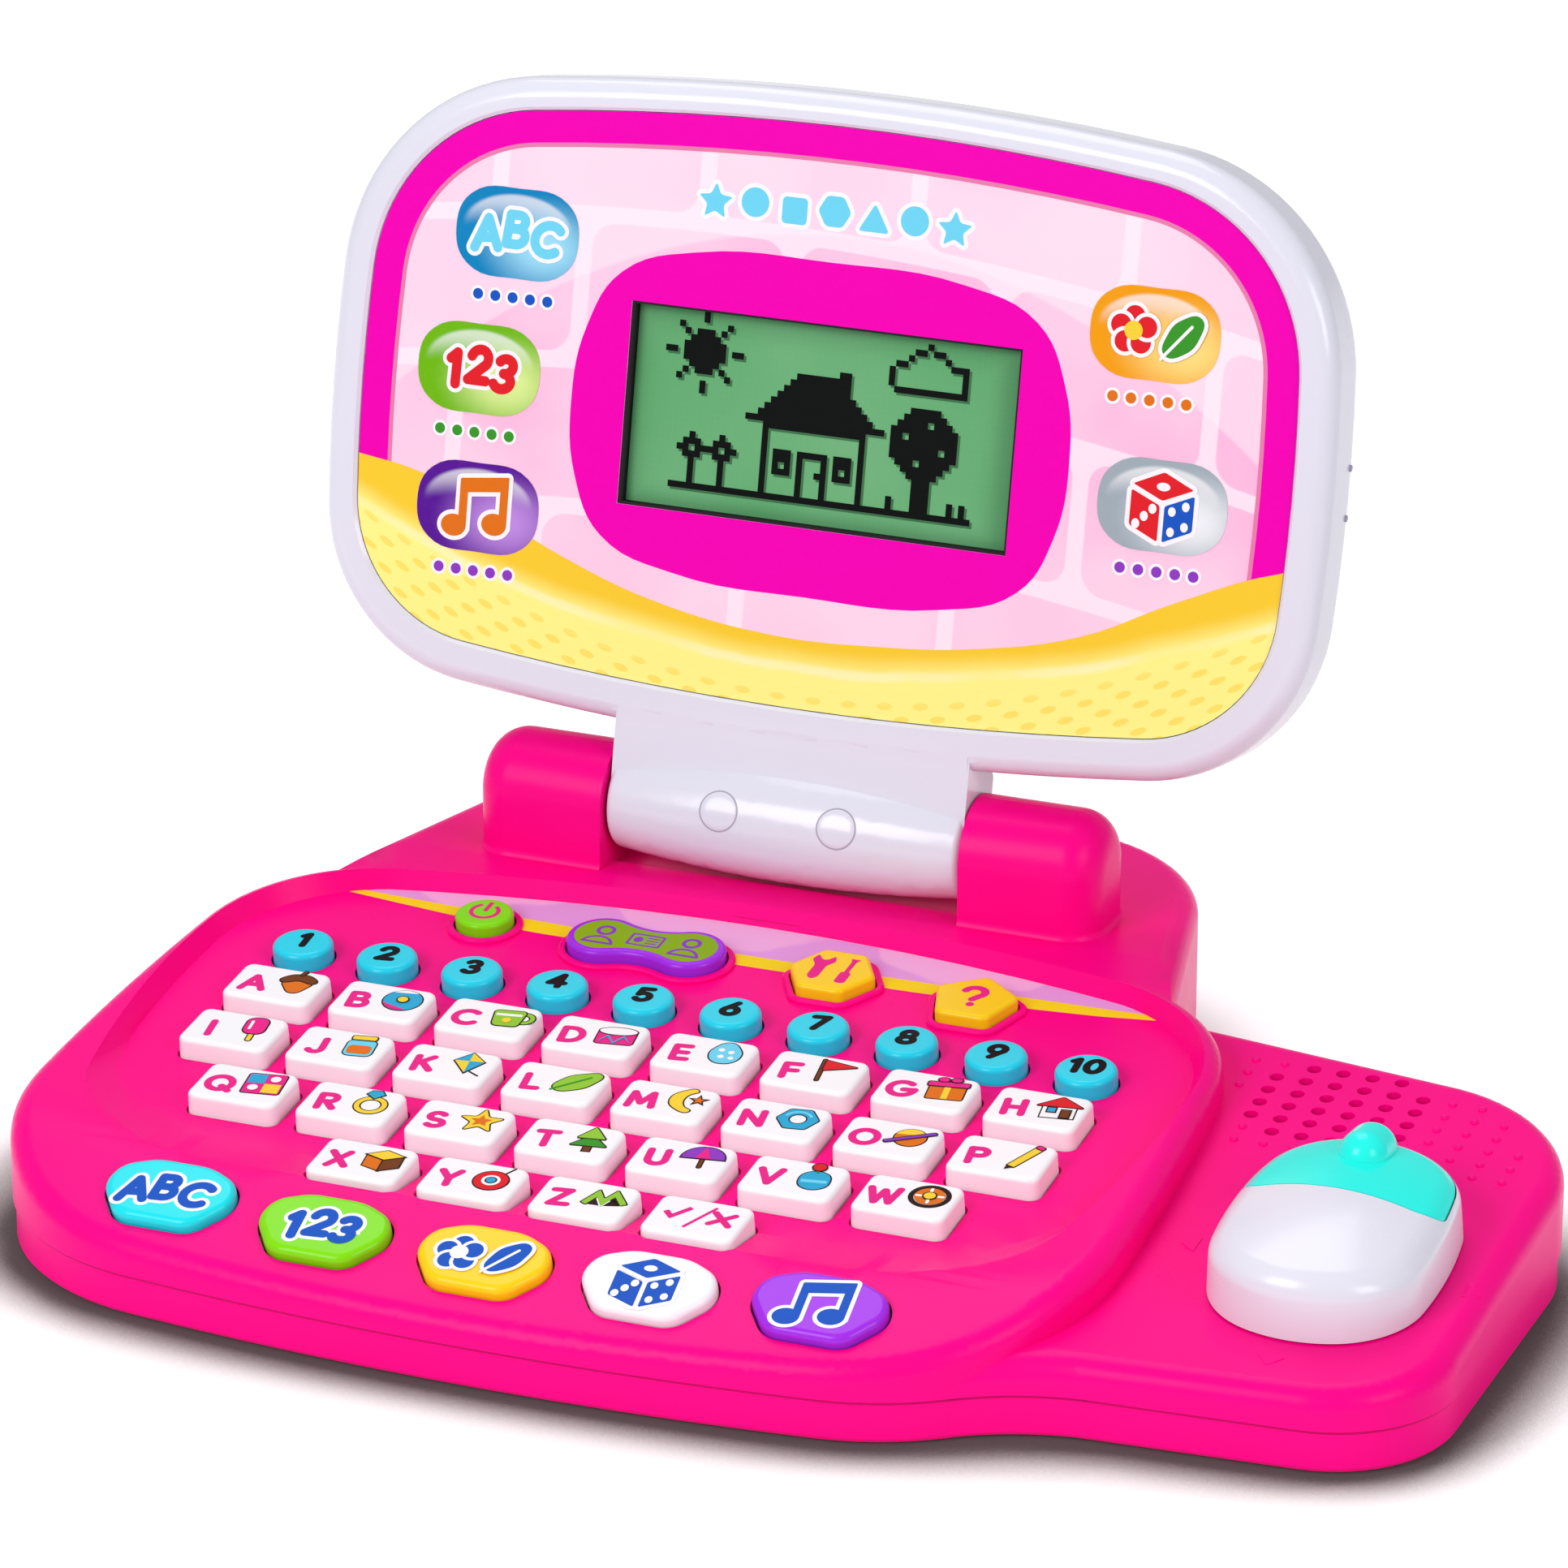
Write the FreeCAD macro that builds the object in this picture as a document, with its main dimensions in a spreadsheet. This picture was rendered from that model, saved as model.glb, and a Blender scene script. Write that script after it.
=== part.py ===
import FreeCAD, Part

import math
import os

import Sketcher
from FreeCAD import Placement, Rotation, Vector

# Toy laptop computer. Millimetres, +X right, +Y to the back, +Z up.
# The origin lies on the floor below the middle of the first row of letter keys.

SIZES = {
    # plan of the main housing
    "key_margin": 14.3,
    "tray_side": 8.7,
    "front_margin": 37.15,
    "rear_reach": 65.5,
    "waist_reach": 42.0,
    "side_bow": 600.0,
    "front_bow": 600.0,
    "rear_bow": 450.0,
    "front_corner": 50.0,
    "rear_corner": 37.5,
    "rim_round": 5.0,
    # heights and slopes of the main housing
    "rim_height": 33.0,
    "deck_tilt": 6.0,
    "deck_drop": 4.4,
    "apron_tilt": 18.5,
    "apron_set": 5.7,
    "apron_drop": 17.0,
    "apron_blend": 60.0,
    "seam_height": 9.0,
    "seam_gap": 0.6,
    "wall": 2.2,
    "foot_bevel": 1.0,
    # tray that holds the keys, measured on the deck
    "tray_tuck": 4.05,
    "tray_behind": 4.0,
    "tray_flare": 2.7,
    "tray_ramp": 19.0,
    "tray_front_corner": 40.0,
    "tray_rear_corner": 36.0,
    # mouse platform
    "platform_reach": 69.5,
    "platform_front": 69.5,
    "platform_rear": 48.5,
    "platform_height": 17.0,
    "platform_round": 5.0,
    # carry handle behind the hinge
    "handle_length": 67.5,
    "handle_half_width": 74.0,
    "handle_side": 22.0,
    "handle_corner": 43.0,
    "handle_step": 0.3843,
    "grip_half_width": 48.0,
    "grip_depth": 16.0,
    "grip_bar": 17.0,
    # hinge
    "hinge_set": 14.0,
    "tower_gap": 0.6,
    "tower_length": 29.9,
    "tower_radius": 12.0,
    "tower_round": 8.0,
    "tower_flare": 2.4,
    "barrel_half": 40.0,
    "barrel_radius": 13.2,
    "barrel_crown": 2.4,
    "barrel_sink": 0.7,
    "barrel_fit": 0.8,
    "pin_radius": 3.5,
    "pin_fit": 0.3,
    "pin_length": 7.0,
    # lid, measured from the hinge axis
    "lid_lean": 12.2,
    "lid_half_width": 112.3,
    "lid_foot": 16.1,
    "lid_top": 154.6,
    "lid_waist": 82.0,
    "lid_top_corner": 46.0,
    "lid_foot_corner": 38.0,
    "lid_front": 8.7,
    "lid_part": -1.3,
    "lid_back": -10.3,
    "lid_front_round": 4.5,
    "lid_back_round": 6.0,
    "neck_step": 0.5,
    "bezel_side": 8.1,
    "bezel_foot": 9.3,
    "bezel_top": 6.9,
    "bezel_soft": 0.7,
    "panel_sink": 1.0,
    "panel_thick": 1.6,
    "panel_fit": 0.2,
    "backing_thick": 2.0,
    "screen_centre": 85.0,
    "screen_width": 87.5,
    "screen_height": 43.1,
    "screen_border": 4.0,
    "screen_thick": 4.5,
    # keys and buttons
    "key_width": 20.0,
    "key_gap": 4.0,
    "key_depth": 14.4,
    "row_gap": 5.95,
    "key_corner": 2.4,
    "key_rise": 4.4,
    "key_draft": 2.0,
    "key_soft": 1.1,
    "key_fit": 0.45,
    "key_travel": 1.6,
    "flange_gap": 0.3,
    "flange_thick": 1.2,
    "flange_side": 1.3,
    "stem_width": 4.4,
    "stem_length": 2.5,
    "number_inset": 0.435,
    "number_row": 19.3,
    "number_radius": 6.4,
    "number_rise": 3.8,
    "number_soft": 1.3,
    "function_rise": 3.6,
    "function_soft": 1.1,
    "function_corner": 2.2,
    "power_across": 56.4,
    "power_row": 43.5,
    "power_radius": 6.2,
    "player_across": 18.8,
    "player_row": 42.1,
    "player_reach": 9.7,
    "player_radius": 7.8,
    "player_waist": 5.6,
    "tools_across": 22.9,
    "tools_row": 42.6,
    "tools_radius": 9.6,
    "help_across": 54.8,
    "help_row": 40.6,
    "help_radius": 9.6,
    "collar_wall": 1.4,
    "collar_rise": 1.0,
    "mode_margin": 47.8,
    "mode_set": 15.6,
    "mode_curve": 0.7,
    "mode_width": 28.4,
    "mode_depth": 17.4,
    "mode_rise": 2.6,
    "mode_soft": 1.6,
    "apron_wall": 2.6,
    "mode_stem": 1.0,
    # mouse
    "mouse_set": 37.8,
    "mouse_row": 25.0,
    "mouse_half_width": 22.2,
    "mouse_half_length": 30.0,
    "mouse_height": 17.2,
    "mouse_nose": 12.4,
    "mouse_tail": 12.0,
    "mouse_crown": 110.0,
    "mouse_round": 6.0,
    "mouse_lift": 0.4,
    "mouse_split": 0.5,
    "mouse_skirt": 6.2,
    "mouse_shell": 1.8,
    "mouse_play": 3.5,
    "button_margin": 1.7,
    "button_corner": 5.0,
    "button_gap": 0.3,
    "button_travel": 1.2,
    "wheel_radius": 5.2,
    "wheel_row": 17.5,
    "post_half": 5.0,
    "carriage_half_width": 16.0,
    "carriage_half_depth": 20.0,
    "carriage_thick": 2.0,
    # inside
    "press_clear": 0.3,
    "membrane_thick": 1.0,
    "membrane_pad": 0.5,
    "board_thick": 1.6,
    "board_inset": 8.0,
    "cell_radius": 7.25,
    "cell_length": 50.5,
    "cell_gap": 0.7,
    "cell_set": 25.5,
    "cell_end": 4.75,
    "cell_side": 4.2,
    "door_fit": 0.3,
    "speaker_set": 18.5,
    "speaker_row": 33.5,
    "speaker_radius": 18.0,
    "grille_pitch_across": 6.2,
    "grille_pitch_deep": 5.3,
    "grille_hole": 1.5,
}

LETTER_ROWS = (
    ("a", "b", "c", "d", "e", "f", "g", "h"),
    ("i", "j", "k", "l", "m", "n", "o", "p"),
    ("q", "r", "s", "t", "u", "v", "w"),
    ("x", "y", "z", "symbol"),
)
MODES = ("letters", "numbers", "nature", "games", "music")

doc = FreeCAD.newDocument("ToyLaptop")
sheet = doc.addObject("Spreadsheet::Sheet", "Sheet")
for line, (alias, value) in enumerate(SIZES.items(), start=1):
    sheet.set("A%d" % line, alias)
    sheet.set("B%d" % line, str(value))
    sheet.setAlias("B%d" % line, alias)
doc.recompute()


def size(alias):
    """Value of one size on the sheet."""
    return float(sheet.get(alias))


# Places that follow from the sizes

KEY_PITCH = size("key_width") + size("key_gap")
ROW_PITCH = size("key_depth") + size("row_gap")
KEYS_HALF = 3.5 * KEY_PITCH + size("key_width") / 2
TRAY_HALF = KEYS_HALF + size("key_margin")
BASE_HALF = TRAY_HALF + size("tray_side")
FRONT = 3 * ROW_PITCH + size("front_margin")
REAR = size("rear_reach")
MODE_ROW = FRONT - size("mode_set")
NUMBER_PITCH = (KEYS_HALF - size("number_inset") - size("number_radius")) / 4.5
MODE_PITCH = (BASE_HALF - size("mode_margin")) / 2
PLATFORM_RIGHT = BASE_HALF + size("platform_reach")
MOUSE_MIDDLE = BASE_HALF + size("mouse_set")
SPEAKER_MIDDLE = BASE_HALF + size("speaker_set")
HANDLE_REACH = REAR + size("handle_length")
HINGE_REACH = REAR + size("hinge_set")
TOWER_INNER = size("barrel_half") + size("tower_gap")
TOWER_OUTER = TOWER_INNER + size("tower_length")
PANEL_FACE = size("lid_front") - size("panel_sink")
PANEL_SEAT = PANEL_FACE - size("panel_thick")
PANEL_BACK = PANEL_SEAT - size("backing_thick")
KEY_FOOT = size("wall") + size("flange_gap") + size("flange_thick") + size("stem_length")
MEMBRANE_DROP = KEY_FOOT + size("key_travel") + size("press_clear") + size("membrane_pad")
CELL_ROW = REAR - size("cell_set")
CELL_PITCH = 2 * size("cell_radius") + size("cell_gap")
DOOR_HALF = size("cell_length") / 2 + size("cell_end")
DOOR_DEEP = 1.5 * CELL_PITCH + size("cell_side")


# Slopes of the housing in side view

def rim_z(y):
    return size("rim_height") + y * math.tan(math.radians(size("deck_tilt")))


def apron_z(y):
    start = FRONT - size("apron_set")
    rise = (y + start) * math.tan(math.radians(size("apron_tilt")))
    return size("rim_height") - size("apron_drop") + rise


def platform_z(y):
    return size("platform_height") + (y + size("platform_front")) * math.tan(math.radians(size("deck_tilt")))


HANDLE_HEIGHT = rim_z(REAR) - size("handle_step")
HINGE_HEIGHT = HANDLE_HEIGHT + size("barrel_radius") - size("barrel_sink")


def tilted(x, y, z, degrees):
    """Frame at a point, leaning back about X."""
    return Placement(Vector(x, y, z), Rotation(Vector(1, 0, 0), degrees))


DECK = tilted(0, 0, size("rim_height") - size("deck_drop"), size("deck_tilt"))
PLATFORM = tilted(MOUSE_MIDDLE, -size("mouse_row"), platform_z(-size("mouse_row")), size("deck_tilt"))
LID = tilted(0, HINGE_REACH, HINGE_HEIGHT, 90 - size("lid_lean"))


def on_apron(x, y):
    return tilted(x, y, apron_z(y), size("apron_tilt"))


# Outlines, as lists of lines and arcs in the XY plane

def circles_meet(first, first_radius, second, second_radius, toward):
    """The meeting point of two circles that lies further along a direction."""
    step = second - first
    gap = step.Length
    along = (first_radius ** 2 - second_radius ** 2 + gap ** 2) / (2 * gap)
    aside = math.sqrt(first_radius ** 2 - along ** 2)
    step.normalize()
    normal = Vector(-step.y, step.x, 0)
    one = first + step * along + normal * aside
    two = first + step * along - normal * aside
    return one if (one - two).dot(toward) > 0 else two


def arc(centre, radius, start, end):
    """Arc shorter than half a turn."""
    middle = (start - centre) + (end - centre)
    middle = centre + middle * (radius / middle.Length)
    return Part.Arc(start, middle, end)


def bulged_outline(half_width, front, rear, waist, bows, corners, inset=0.0):
    """Symmetrical outline of four bowed sides with round corners.

    bows are the radii of side, front and rear; corners those of the front and rear corners.
    """
    side_bow, front_bow, rear_bow = bows
    front_corner, rear_corner = corners
    side = Vector(half_width - side_bow, waist, 0)
    ahead = Vector(0, front + front_bow, 0)
    behind = Vector(0, rear - rear_bow, 0)
    near = circles_meet(side, side_bow - front_corner, ahead, front_bow - front_corner, Vector(1, -1, 0))
    far = circles_meet(side, side_bow - rear_corner, behind, rear_bow - rear_corner, Vector(1, 1, 0))

    def touch(corner, centre, bow):
        return centre + (corner - centre).normalize() * (bow - inset)

    def mirrored(point):
        return Vector(-point.x, point.y, 0)

    front_touch = touch(near, ahead, front_bow)
    low_touch = touch(near, side, side_bow)
    high_touch = touch(far, side, side_bow)
    rear_touch = touch(far, behind, rear_bow)
    right = (
        (near, front_corner, front_touch, low_touch),
        (side, side_bow, low_touch, high_touch),
        (far, rear_corner, high_touch, rear_touch),
    )
    pieces = [arc(ahead, front_bow - inset, mirrored(front_touch), front_touch)]
    for centre, radius, start, end in right:
        pieces.append(arc(centre, radius - inset, start, end))
    pieces.append(arc(behind, rear_bow - inset, rear_touch, mirrored(rear_touch)))
    for centre, radius, start, end in reversed(right):
        pieces.append(arc(mirrored(centre), radius - inset, mirrored(end), mirrored(start)))
    return pieces


def rounded_polygon(points, radii, inset=0.0):
    """Anticlockwise polygon with its corners rounded, drawn inward by the inset."""
    corners = [Vector(x, y, 0) for x, y in points]
    count = len(corners)
    steps = [(corners[(i + 1) % count] - corners[i]).normalize() for i in range(count)]
    inward = [Vector(-step.y, step.x, 0) for step in steps]
    tangents = []
    for i in range(count):
        before, after = steps[i - 1], steps[i]
        turn = before.cross(after).z
        cosine = max(-1.0, min(1.0, before.dot(after)))
        shift = (inward[i - 1] + inward[i]) * (inset / (1.0 + cosine))
        corner = corners[i] + shift
        if radii[i] <= 0:
            tangents.append((corner, None, corner))
            continue
        radius = radii[i] - inset if turn > 0 else radii[i] + inset
        reach = radius * math.tan(math.acos(cosine) / 2)
        start = corner - before * reach
        end = corner + after * reach
        centre = start + inward[i - 1] * (radius if turn > 0 else -radius)
        tangents.append((start, arc(centre, radius, start, end), end))
    pieces = []
    for i in range(count):
        if tangents[i][1] is not None:
            pieces.append(tangents[i][1])
        start, end = tangents[i][2], tangents[(i + 1) % count][0]
        if (end - start).Length > 1e-6:
            pieces.append(Part.LineSegment(start, end))
    return pieces


def rectangle(half_width, half_depth, corner=0.0, inset=0.0):
    points = (
        (-half_width, -half_depth),
        (half_width, -half_depth),
        (half_width, half_depth),
        (-half_width, half_depth),
    )
    return rounded_polygon(points, [corner] * 4, inset)


def disc(radius):
    return [Part.Circle(Vector(0, 0, 0), Vector(0, 0, 1), radius)]


def wire(pieces):
    return Part.Wire([piece.toShape() for piece in pieces])


def prism(pieces, low, high):
    """Upright solid between two heights."""
    face = Part.Face(wire(pieces))
    face.translate(Vector(0, 0, low))
    return face.extrude(Vector(0, 0, high - low))


def side_prism(points, radii, left, right):
    """Solid whose outline is drawn in side view, as (y, z) points."""
    solid = prism(rounded_polygon(points, radii), left, right)
    solid.Placement = Placement(Vector(0, 0, 0), Rotation(Vector(1, 1, 1), 120))
    return solid


def box(x, y, z):
    """Box from three (low, high) pairs."""
    return Part.makeBox(x[1] - x[0], y[1] - y[0], z[1] - z[0], Vector(x[0], y[0], z[0]))


def rod(radius, x, y, low, high):
    return Part.makeCylinder(radius, high - low, Vector(x, y, low))


def placed(shape, frame):
    """Copy of a shape moved into a frame."""
    moved = shape.copy()
    moved.Placement = frame.multiply(moved.Placement)
    return moved


def fused(shapes):
    return shapes[0].fuse(list(shapes[1:])).removeSplitter()


def brow(shape, keep=lambda point: True):
    """Edges between an upright wall and a face that looks up."""
    found = []
    for edge in shape.Edges:
        faces = shape.ancestorsOfType(edge, Part.Face)
        if len(faces) != 2:
            continue
        point = edge.valueAt((edge.FirstParameter + edge.LastParameter) / 2)
        heights = []
        for face in faces:
            heights.append(face.normalAt(*face.Surface.parameter(point)).z)
        if abs(min(heights, key=abs)) < 0.2 and max(heights) > 0.5 and keep(point):
            found.append(edge)
    return found


# Housing forms, drawn inward by an inset where they bound the inside

def base_outline(inset):
    return bulged_outline(
        BASE_HALF, -FRONT, REAR, -size("waist_reach"),
        (size("side_bow"), size("front_bow"), size("rear_bow")),
        (size("front_corner"), size("rear_corner")), inset)


def platform_outline(inset):
    front, rear = size("platform_front"), size("platform_rear")
    points = (
        (BASE_HALF - 67, 10.2 - FRONT),
        (BASE_HALF - 55, 4.2 - FRONT),
        (BASE_HALF - 11, -front - 6),
        (PLATFORM_RIGHT, -front),
        (PLATFORM_RIGHT, rear),
        (BASE_HALF - 67, REAR + 0.5),
    )
    return rounded_polygon(points, (0, 0, 40, 26, 36, 0), inset)


def handle_outline(inset):
    root, tip = BASE_HALF - size("handle_side"), size("handle_half_width")
    start, corner = REAR - 15.5, size("handle_corner")
    points = ((-root, start), (root, start), (tip, HANDLE_REACH), (-tip, HANDLE_REACH))
    return rounded_polygon(points, (0, 0, corner, corner), inset)


def housing():
    """Outside of the whole base, solid down to the floor."""
    far = 250.0
    slope = math.tan(math.radians(size("apron_tilt"))) - math.tan(math.radians(size("deck_tilt")))
    knee = (rim_z(0) - apron_z(0)) / slope
    main_side = ((-far, -1), (far, -1), (far, rim_z(far)), (knee, rim_z(knee)), (-far, apron_z(-far)))
    main = prism(base_outline(0), 0, 120).common(
        side_prism(main_side, (0, 0, 0, size("apron_blend"), 0), -300, 300))
    main = main.makeFillet(size("rim_round"), brow(main))
    flat_side = ((-far, -1), (far, -1), (far, platform_z(far)), (-far, platform_z(-far)))
    platform = prism(platform_outline(0), 0, 120).common(side_prism(flat_side, (0, 0, 0, 0), -300, 300))
    platform = platform.makeFillet(
        size("platform_round"), brow(platform, lambda p: p.x > BASE_HALF - 54.5 and p.y < REAR - 0.5))
    top = HANDLE_HEIGHT
    inner = REAR - 25.5
    handle_side = ((inner, -1), (far, -1), (far, top - 2.5), (REAR + 0.5, top), (inner, rim_z(inner) - 1))
    handle = prism(handle_outline(0), 0, 120).common(side_prism(handle_side, (0, 0, 0, 0, 0), -300, 300))
    handle = handle.makeFillet(size("rim_round"), brow(handle, lambda p: p.y > REAR + 2.5))
    return fused([main, platform, handle])


def tray_cutter():
    """Sloping walls of the key tray, wider above the rim."""
    wires = []
    for rise in (0.0, 10.0):
        part = rise / size("deck_drop")
        flare = size("tray_flare") * part
        outline = bulged_outline(
            TRAY_HALF + flare, size("tray_tuck") - 3 * ROW_PITCH - size("tray_ramp") * part,
            REAR - size("tray_behind") + 2.0 * part, 8.0, (300, 1200, 400),
            (size("tray_front_corner") + 2 * part, size("tray_rear_corner") + flare))
        loop = wire(outline)
        loop.translate(Vector(0, 0, rise))
        wires.append(loop)
    return placed(Part.makeLoft(wires, True, True), DECK)


def inside():
    """Hollow of the top cover above the seam, under its walls."""
    wall = size("wall")
    floor = size("seam_height") - 1
    far = 250.0
    under = size("deck_drop") + wall
    step = size("mode_depth") / 2 + 4 * size("mode_curve") + 1.1 - MODE_ROW
    lip = size("apron_wall") / math.cos(math.radians(size("apron_tilt")))
    side = (
        (-far, -40),
        (far, -40),
        (far, rim_z(far) - under),
        (step, rim_z(step) - under),
        (step, apron_z(step) - lip),
        (-far, apron_z(-far) - lip),
    )
    main = prism(base_outline(wall), floor, 120).common(side_prism(side, [0] * 6, -300, 300))
    flat = ((-far, -40), (far, -40), (far, platform_z(far) - wall), (-far, platform_z(-far) - wall))
    platform = prism(platform_outline(wall), floor, 120).common(side_prism(flat, [0] * 4, -300, 300))
    handle = prism(handle_outline(wall), floor, HANDLE_HEIGHT - 1 - wall)
    keep_deck = box((-BASE_HALF - 3, BASE_HALF + 3), (-20, REAR - size("tray_behind")), (0, 120))
    return fused([main, platform, handle.cut(keep_deck)])


# Key and button plans: label, outline, frame, rise above the surface

def letter_spots():
    for row, names in enumerate(LETTER_ROWS):
        for column, name in enumerate(names):
            x = (column - (len(names) - 1) / 2) * KEY_PITCH
            yield "key_" + name, x, -row * ROW_PITCH


def number_spots():
    for index in range(10):
        yield "number_key_%d" % (index + 1), (index - 4.5) * NUMBER_PITCH, size("number_row")


def mode_spots():
    for index, name in enumerate(MODES):
        step = index - 2
        yield "mode_button_" + name, step * MODE_PITCH, size("mode_curve") * step ** 2 - MODE_ROW


def mode_outline(grow=0.0):
    """Bowed rear edge, round ends and a narrower front edge."""
    half, depth = size("mode_width") / 2, size("mode_depth") / 2
    points = (
        (-half + 6.0, -depth),
        (half - 6.0, -depth),
        (half, -0.06 * depth),
        (half * 0.9, depth * 0.63),
        (half * 0.42, depth),
        (-half * 0.42, depth),
        (-half * 0.9, depth * 0.63),
        (-half, -0.06 * depth),
    )
    return rounded_polygon(points, (6, 6, 6, 6, 12, 12, 6, 6), -grow)


def player_outline(grow=0.0):
    """Two discs joined by a narrower waist."""
    reach, radius, waist = size("player_reach"), size("player_radius"), size("player_waist")
    blend = (reach ** 2 + waist ** 2 - radius ** 2) / (2 * (radius - waist))
    hub = Vector(0, waist + blend, 0)
    right = Vector(reach, 0, 0)
    toward = (right - hub).normalize()
    upper = hub + toward * (blend - grow)
    outer = radius + grow

    def at(x_sign, y_sign, point):
        return Vector(x_sign * point.x, y_sign * point.y, 0)

    tip = Vector(reach + outer, 0, 0)
    return [
        Part.Arc(at(1, -1, upper), tip, upper),
        arc(hub, blend - grow, upper, at(-1, 1, upper)),
        Part.Arc(at(-1, 1, upper), at(-1, 1, tip), at(-1, -1, upper)),
        arc(at(1, -1, hub), blend - grow, at(-1, -1, upper), at(1, -1, upper)),
    ]


def power_outline(grow=0.0):
    return disc(size("power_radius") + grow)


def polygon_outline(count, radius, turn, grow):
    points = []
    for index in range(count):
        angle = math.radians(turn + 360.0 * index / count)
        points.append((radius * math.cos(angle), radius * math.sin(angle)))
    return rounded_polygon(points, [size("function_corner")] * count, -grow)


def tools_outline(grow=0.0):
    return polygon_outline(6, size("tools_radius"), 0, grow)


def help_outline(grow=0.0):
    return polygon_outline(5, size("help_radius"), 90, grow)


FUNCTIONS = (
    ("power_button", -size("power_across"), size("power_row"), power_outline),
    ("player_button", -size("player_across"), size("player_row"), player_outline),
    ("tools_button", size("tools_across"), size("tools_row"), tools_outline),
    ("help_button", size("help_across"), size("help_row"), help_outline),
)


def letter_outline(grow=0.0):
    return rectangle(size("key_width") / 2, size("key_depth") / 2, size("key_corner"), -grow)


def at_deck(x, y):
    return DECK.multiply(Placement(Vector(x, y, 0), Rotation()))


def key_holes():
    """Holes in the deck and apron for every key and button."""
    fit = size("key_fit")
    holes = []
    for label, x, y in letter_spots():
        holes.append(placed(prism(letter_outline(fit), -9, 9), at_deck(x, y)))
    for label, x, y in number_spots():
        holes.append(placed(prism(disc(size("number_radius") + fit), -9, 9), at_deck(x, y)))
    for label, x, y, outline in FUNCTIONS:
        holes.append(placed(prism(outline(fit), -9, 9), at_deck(x, y)))
    for label, x, y in mode_spots():
        holes.append(placed(prism(mode_outline(fit), -5, 9), on_apron(x, y)))
    return holes


def collars():
    """Raised rings on the deck round the function buttons."""
    rings = []
    for label, x, y, outline in FUNCTIONS:
        ring = prism(outline(size("key_fit") + size("collar_wall")), -1, size("collar_rise"))
        ring = ring.makeChamfer(0.4 * size("collar_rise"), brow(ring))
        rings.append(placed(ring, at_deck(x, y)))
    return rings


def grille():
    """Round field of speaker holes in the platform."""
    holes = []
    for across in range(-3, 4):
        for deep in range(-3, 4):
            if (across + 0.5) ** 2 + (deep + 0.5) ** 2 > 8.6:
                continue
            x = SPEAKER_MIDDLE + (across + 0.5) * size("grille_pitch_across")
            y = size("speaker_row") + (deep + 0.5) * size("grille_pitch_deep")
            holes.append(rod(size("grille_hole"), x, y, 5, 60))
    return holes


# Screw columns of the base, and posts that carry the circuit board

def column_spots():
    for x, y in ((BASE_HALF - 9.5, -15), (BASE_HALF - 20, 38.2 - FRONT), (BASE_HALF - 25, REAR - 18.5)):
        yield x, y
        yield -x, y
    yield PLATFORM_RIGHT - 12.5, 14.5 - size("platform_front")
    yield PLATFORM_RIGHT - 14.5, size("platform_rear") - 14.5


def post_spots():
    third_row = KEYS_HALF - KEY_PITCH / 2 + 8.5
    last_row = KEYS_HALF - 2 * KEY_PITCH + 12
    spots = (
        (BASE_HALF - 15, 6),
        (third_row, -2 * ROW_PITCH - 2.3),
        (last_row, -3 * ROW_PITCH - 0.45),
        (BASE_HALF - 31, REAR - 24.5),
    )
    for x, y in spots:
        yield x, y
        yield -x, y


def tower(side):
    """One hinge tower with its outer end rounded and a foot that flares into the cover."""
    radius, top = size("tower_radius"), HINGE_HEIGHT
    reach = HINGE_REACH
    inner, outer = TOWER_INNER, TOWER_OUTER
    foot = HANDLE_HEIGHT - 3
    ground = HANDLE_HEIGHT - 0.9
    points = (
        (reach - radius, foot),
        (reach + radius, foot),
        (reach + radius, top + radius),
        (reach - radius, top + radius),
    )
    body = side_prism(points, (0, 0, radius - 0.01, radius - 0.01), inner, outer)
    ends = []
    for edge in body.Edges:
        if all(abs(v.X - outer) < 1e-6 for v in edge.Vertexes) and edge.BoundBox.ZMax > foot + 1:
            ends.append(edge)
    body = body.makeFillet(size("tower_round"), ends)
    flare = size("tower_flare")
    skirt = radius + 2 * flare
    slab = box((inner, outer + 2 * flare), (reach - skirt, reach + skirt), (foot, ground))
    solid = fused([body, slab])
    feet = []
    for edge in solid.Edges:
        middle = edge.valueAt((edge.FirstParameter + edge.LastParameter) / 2)
        level = abs(middle.z - ground) < 1e-3 and edge.BoundBox.ZLength < 1e-3
        inside_slab = inner + 0.1 < middle.x < outer + 0.1 and abs(middle.y - reach) < radius + 0.1
        if level and inside_slab:
            feet.append(edge)
    solid = solid.makeFillet(flare, feet)
    bore = Part.makeCylinder(size("pin_radius") + size("pin_fit"), size("pin_length") + 1.5,
                             Vector(inner - 0.5, reach, top), Vector(1, 0, 0))
    solid = solid.cut(bore)
    if side < 0:
        solid = solid.mirror(Vector(0, 0, 0), Vector(1, 0, 0))
    return solid


def mouse_rails():
    """Guides under the platform in front of and behind the mouse carriage."""
    wall, half = size("wall"), size("carriage_half_depth") + 0.3
    rails = []
    for side in (-1, 1):
        y = sorted((side * half, side * (half + 2)))
        rails.append(placed(box((-24, 24), y, (-wall - 3.2, -wall + 0.5)), PLATFORM))
    return rails


def mouse_well():
    """Opening in the platform through which the mouse post passes."""
    half = size("post_half") + size("mouse_play") + 0.5
    return placed(prism(rectangle(half, half, 2.0), -6, 6), PLATFORM)


def grip():
    """Finger slot of the carry handle."""
    half, radius = size("grip_half_width"), size("grip_depth") / 2
    middle = HANDLE_REACH - size("grip_bar") - radius
    outline = rectangle(half, radius, radius - 0.01)
    slot = prism(outline, -5, 60)
    sleeve = prism(rectangle(half, radius, radius - 0.01, -size("wall")), -5, 60)
    for shape in (slot, sleeve):
        shape.translate(Vector(0, middle, 0))
    return slot, sleeve


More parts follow.
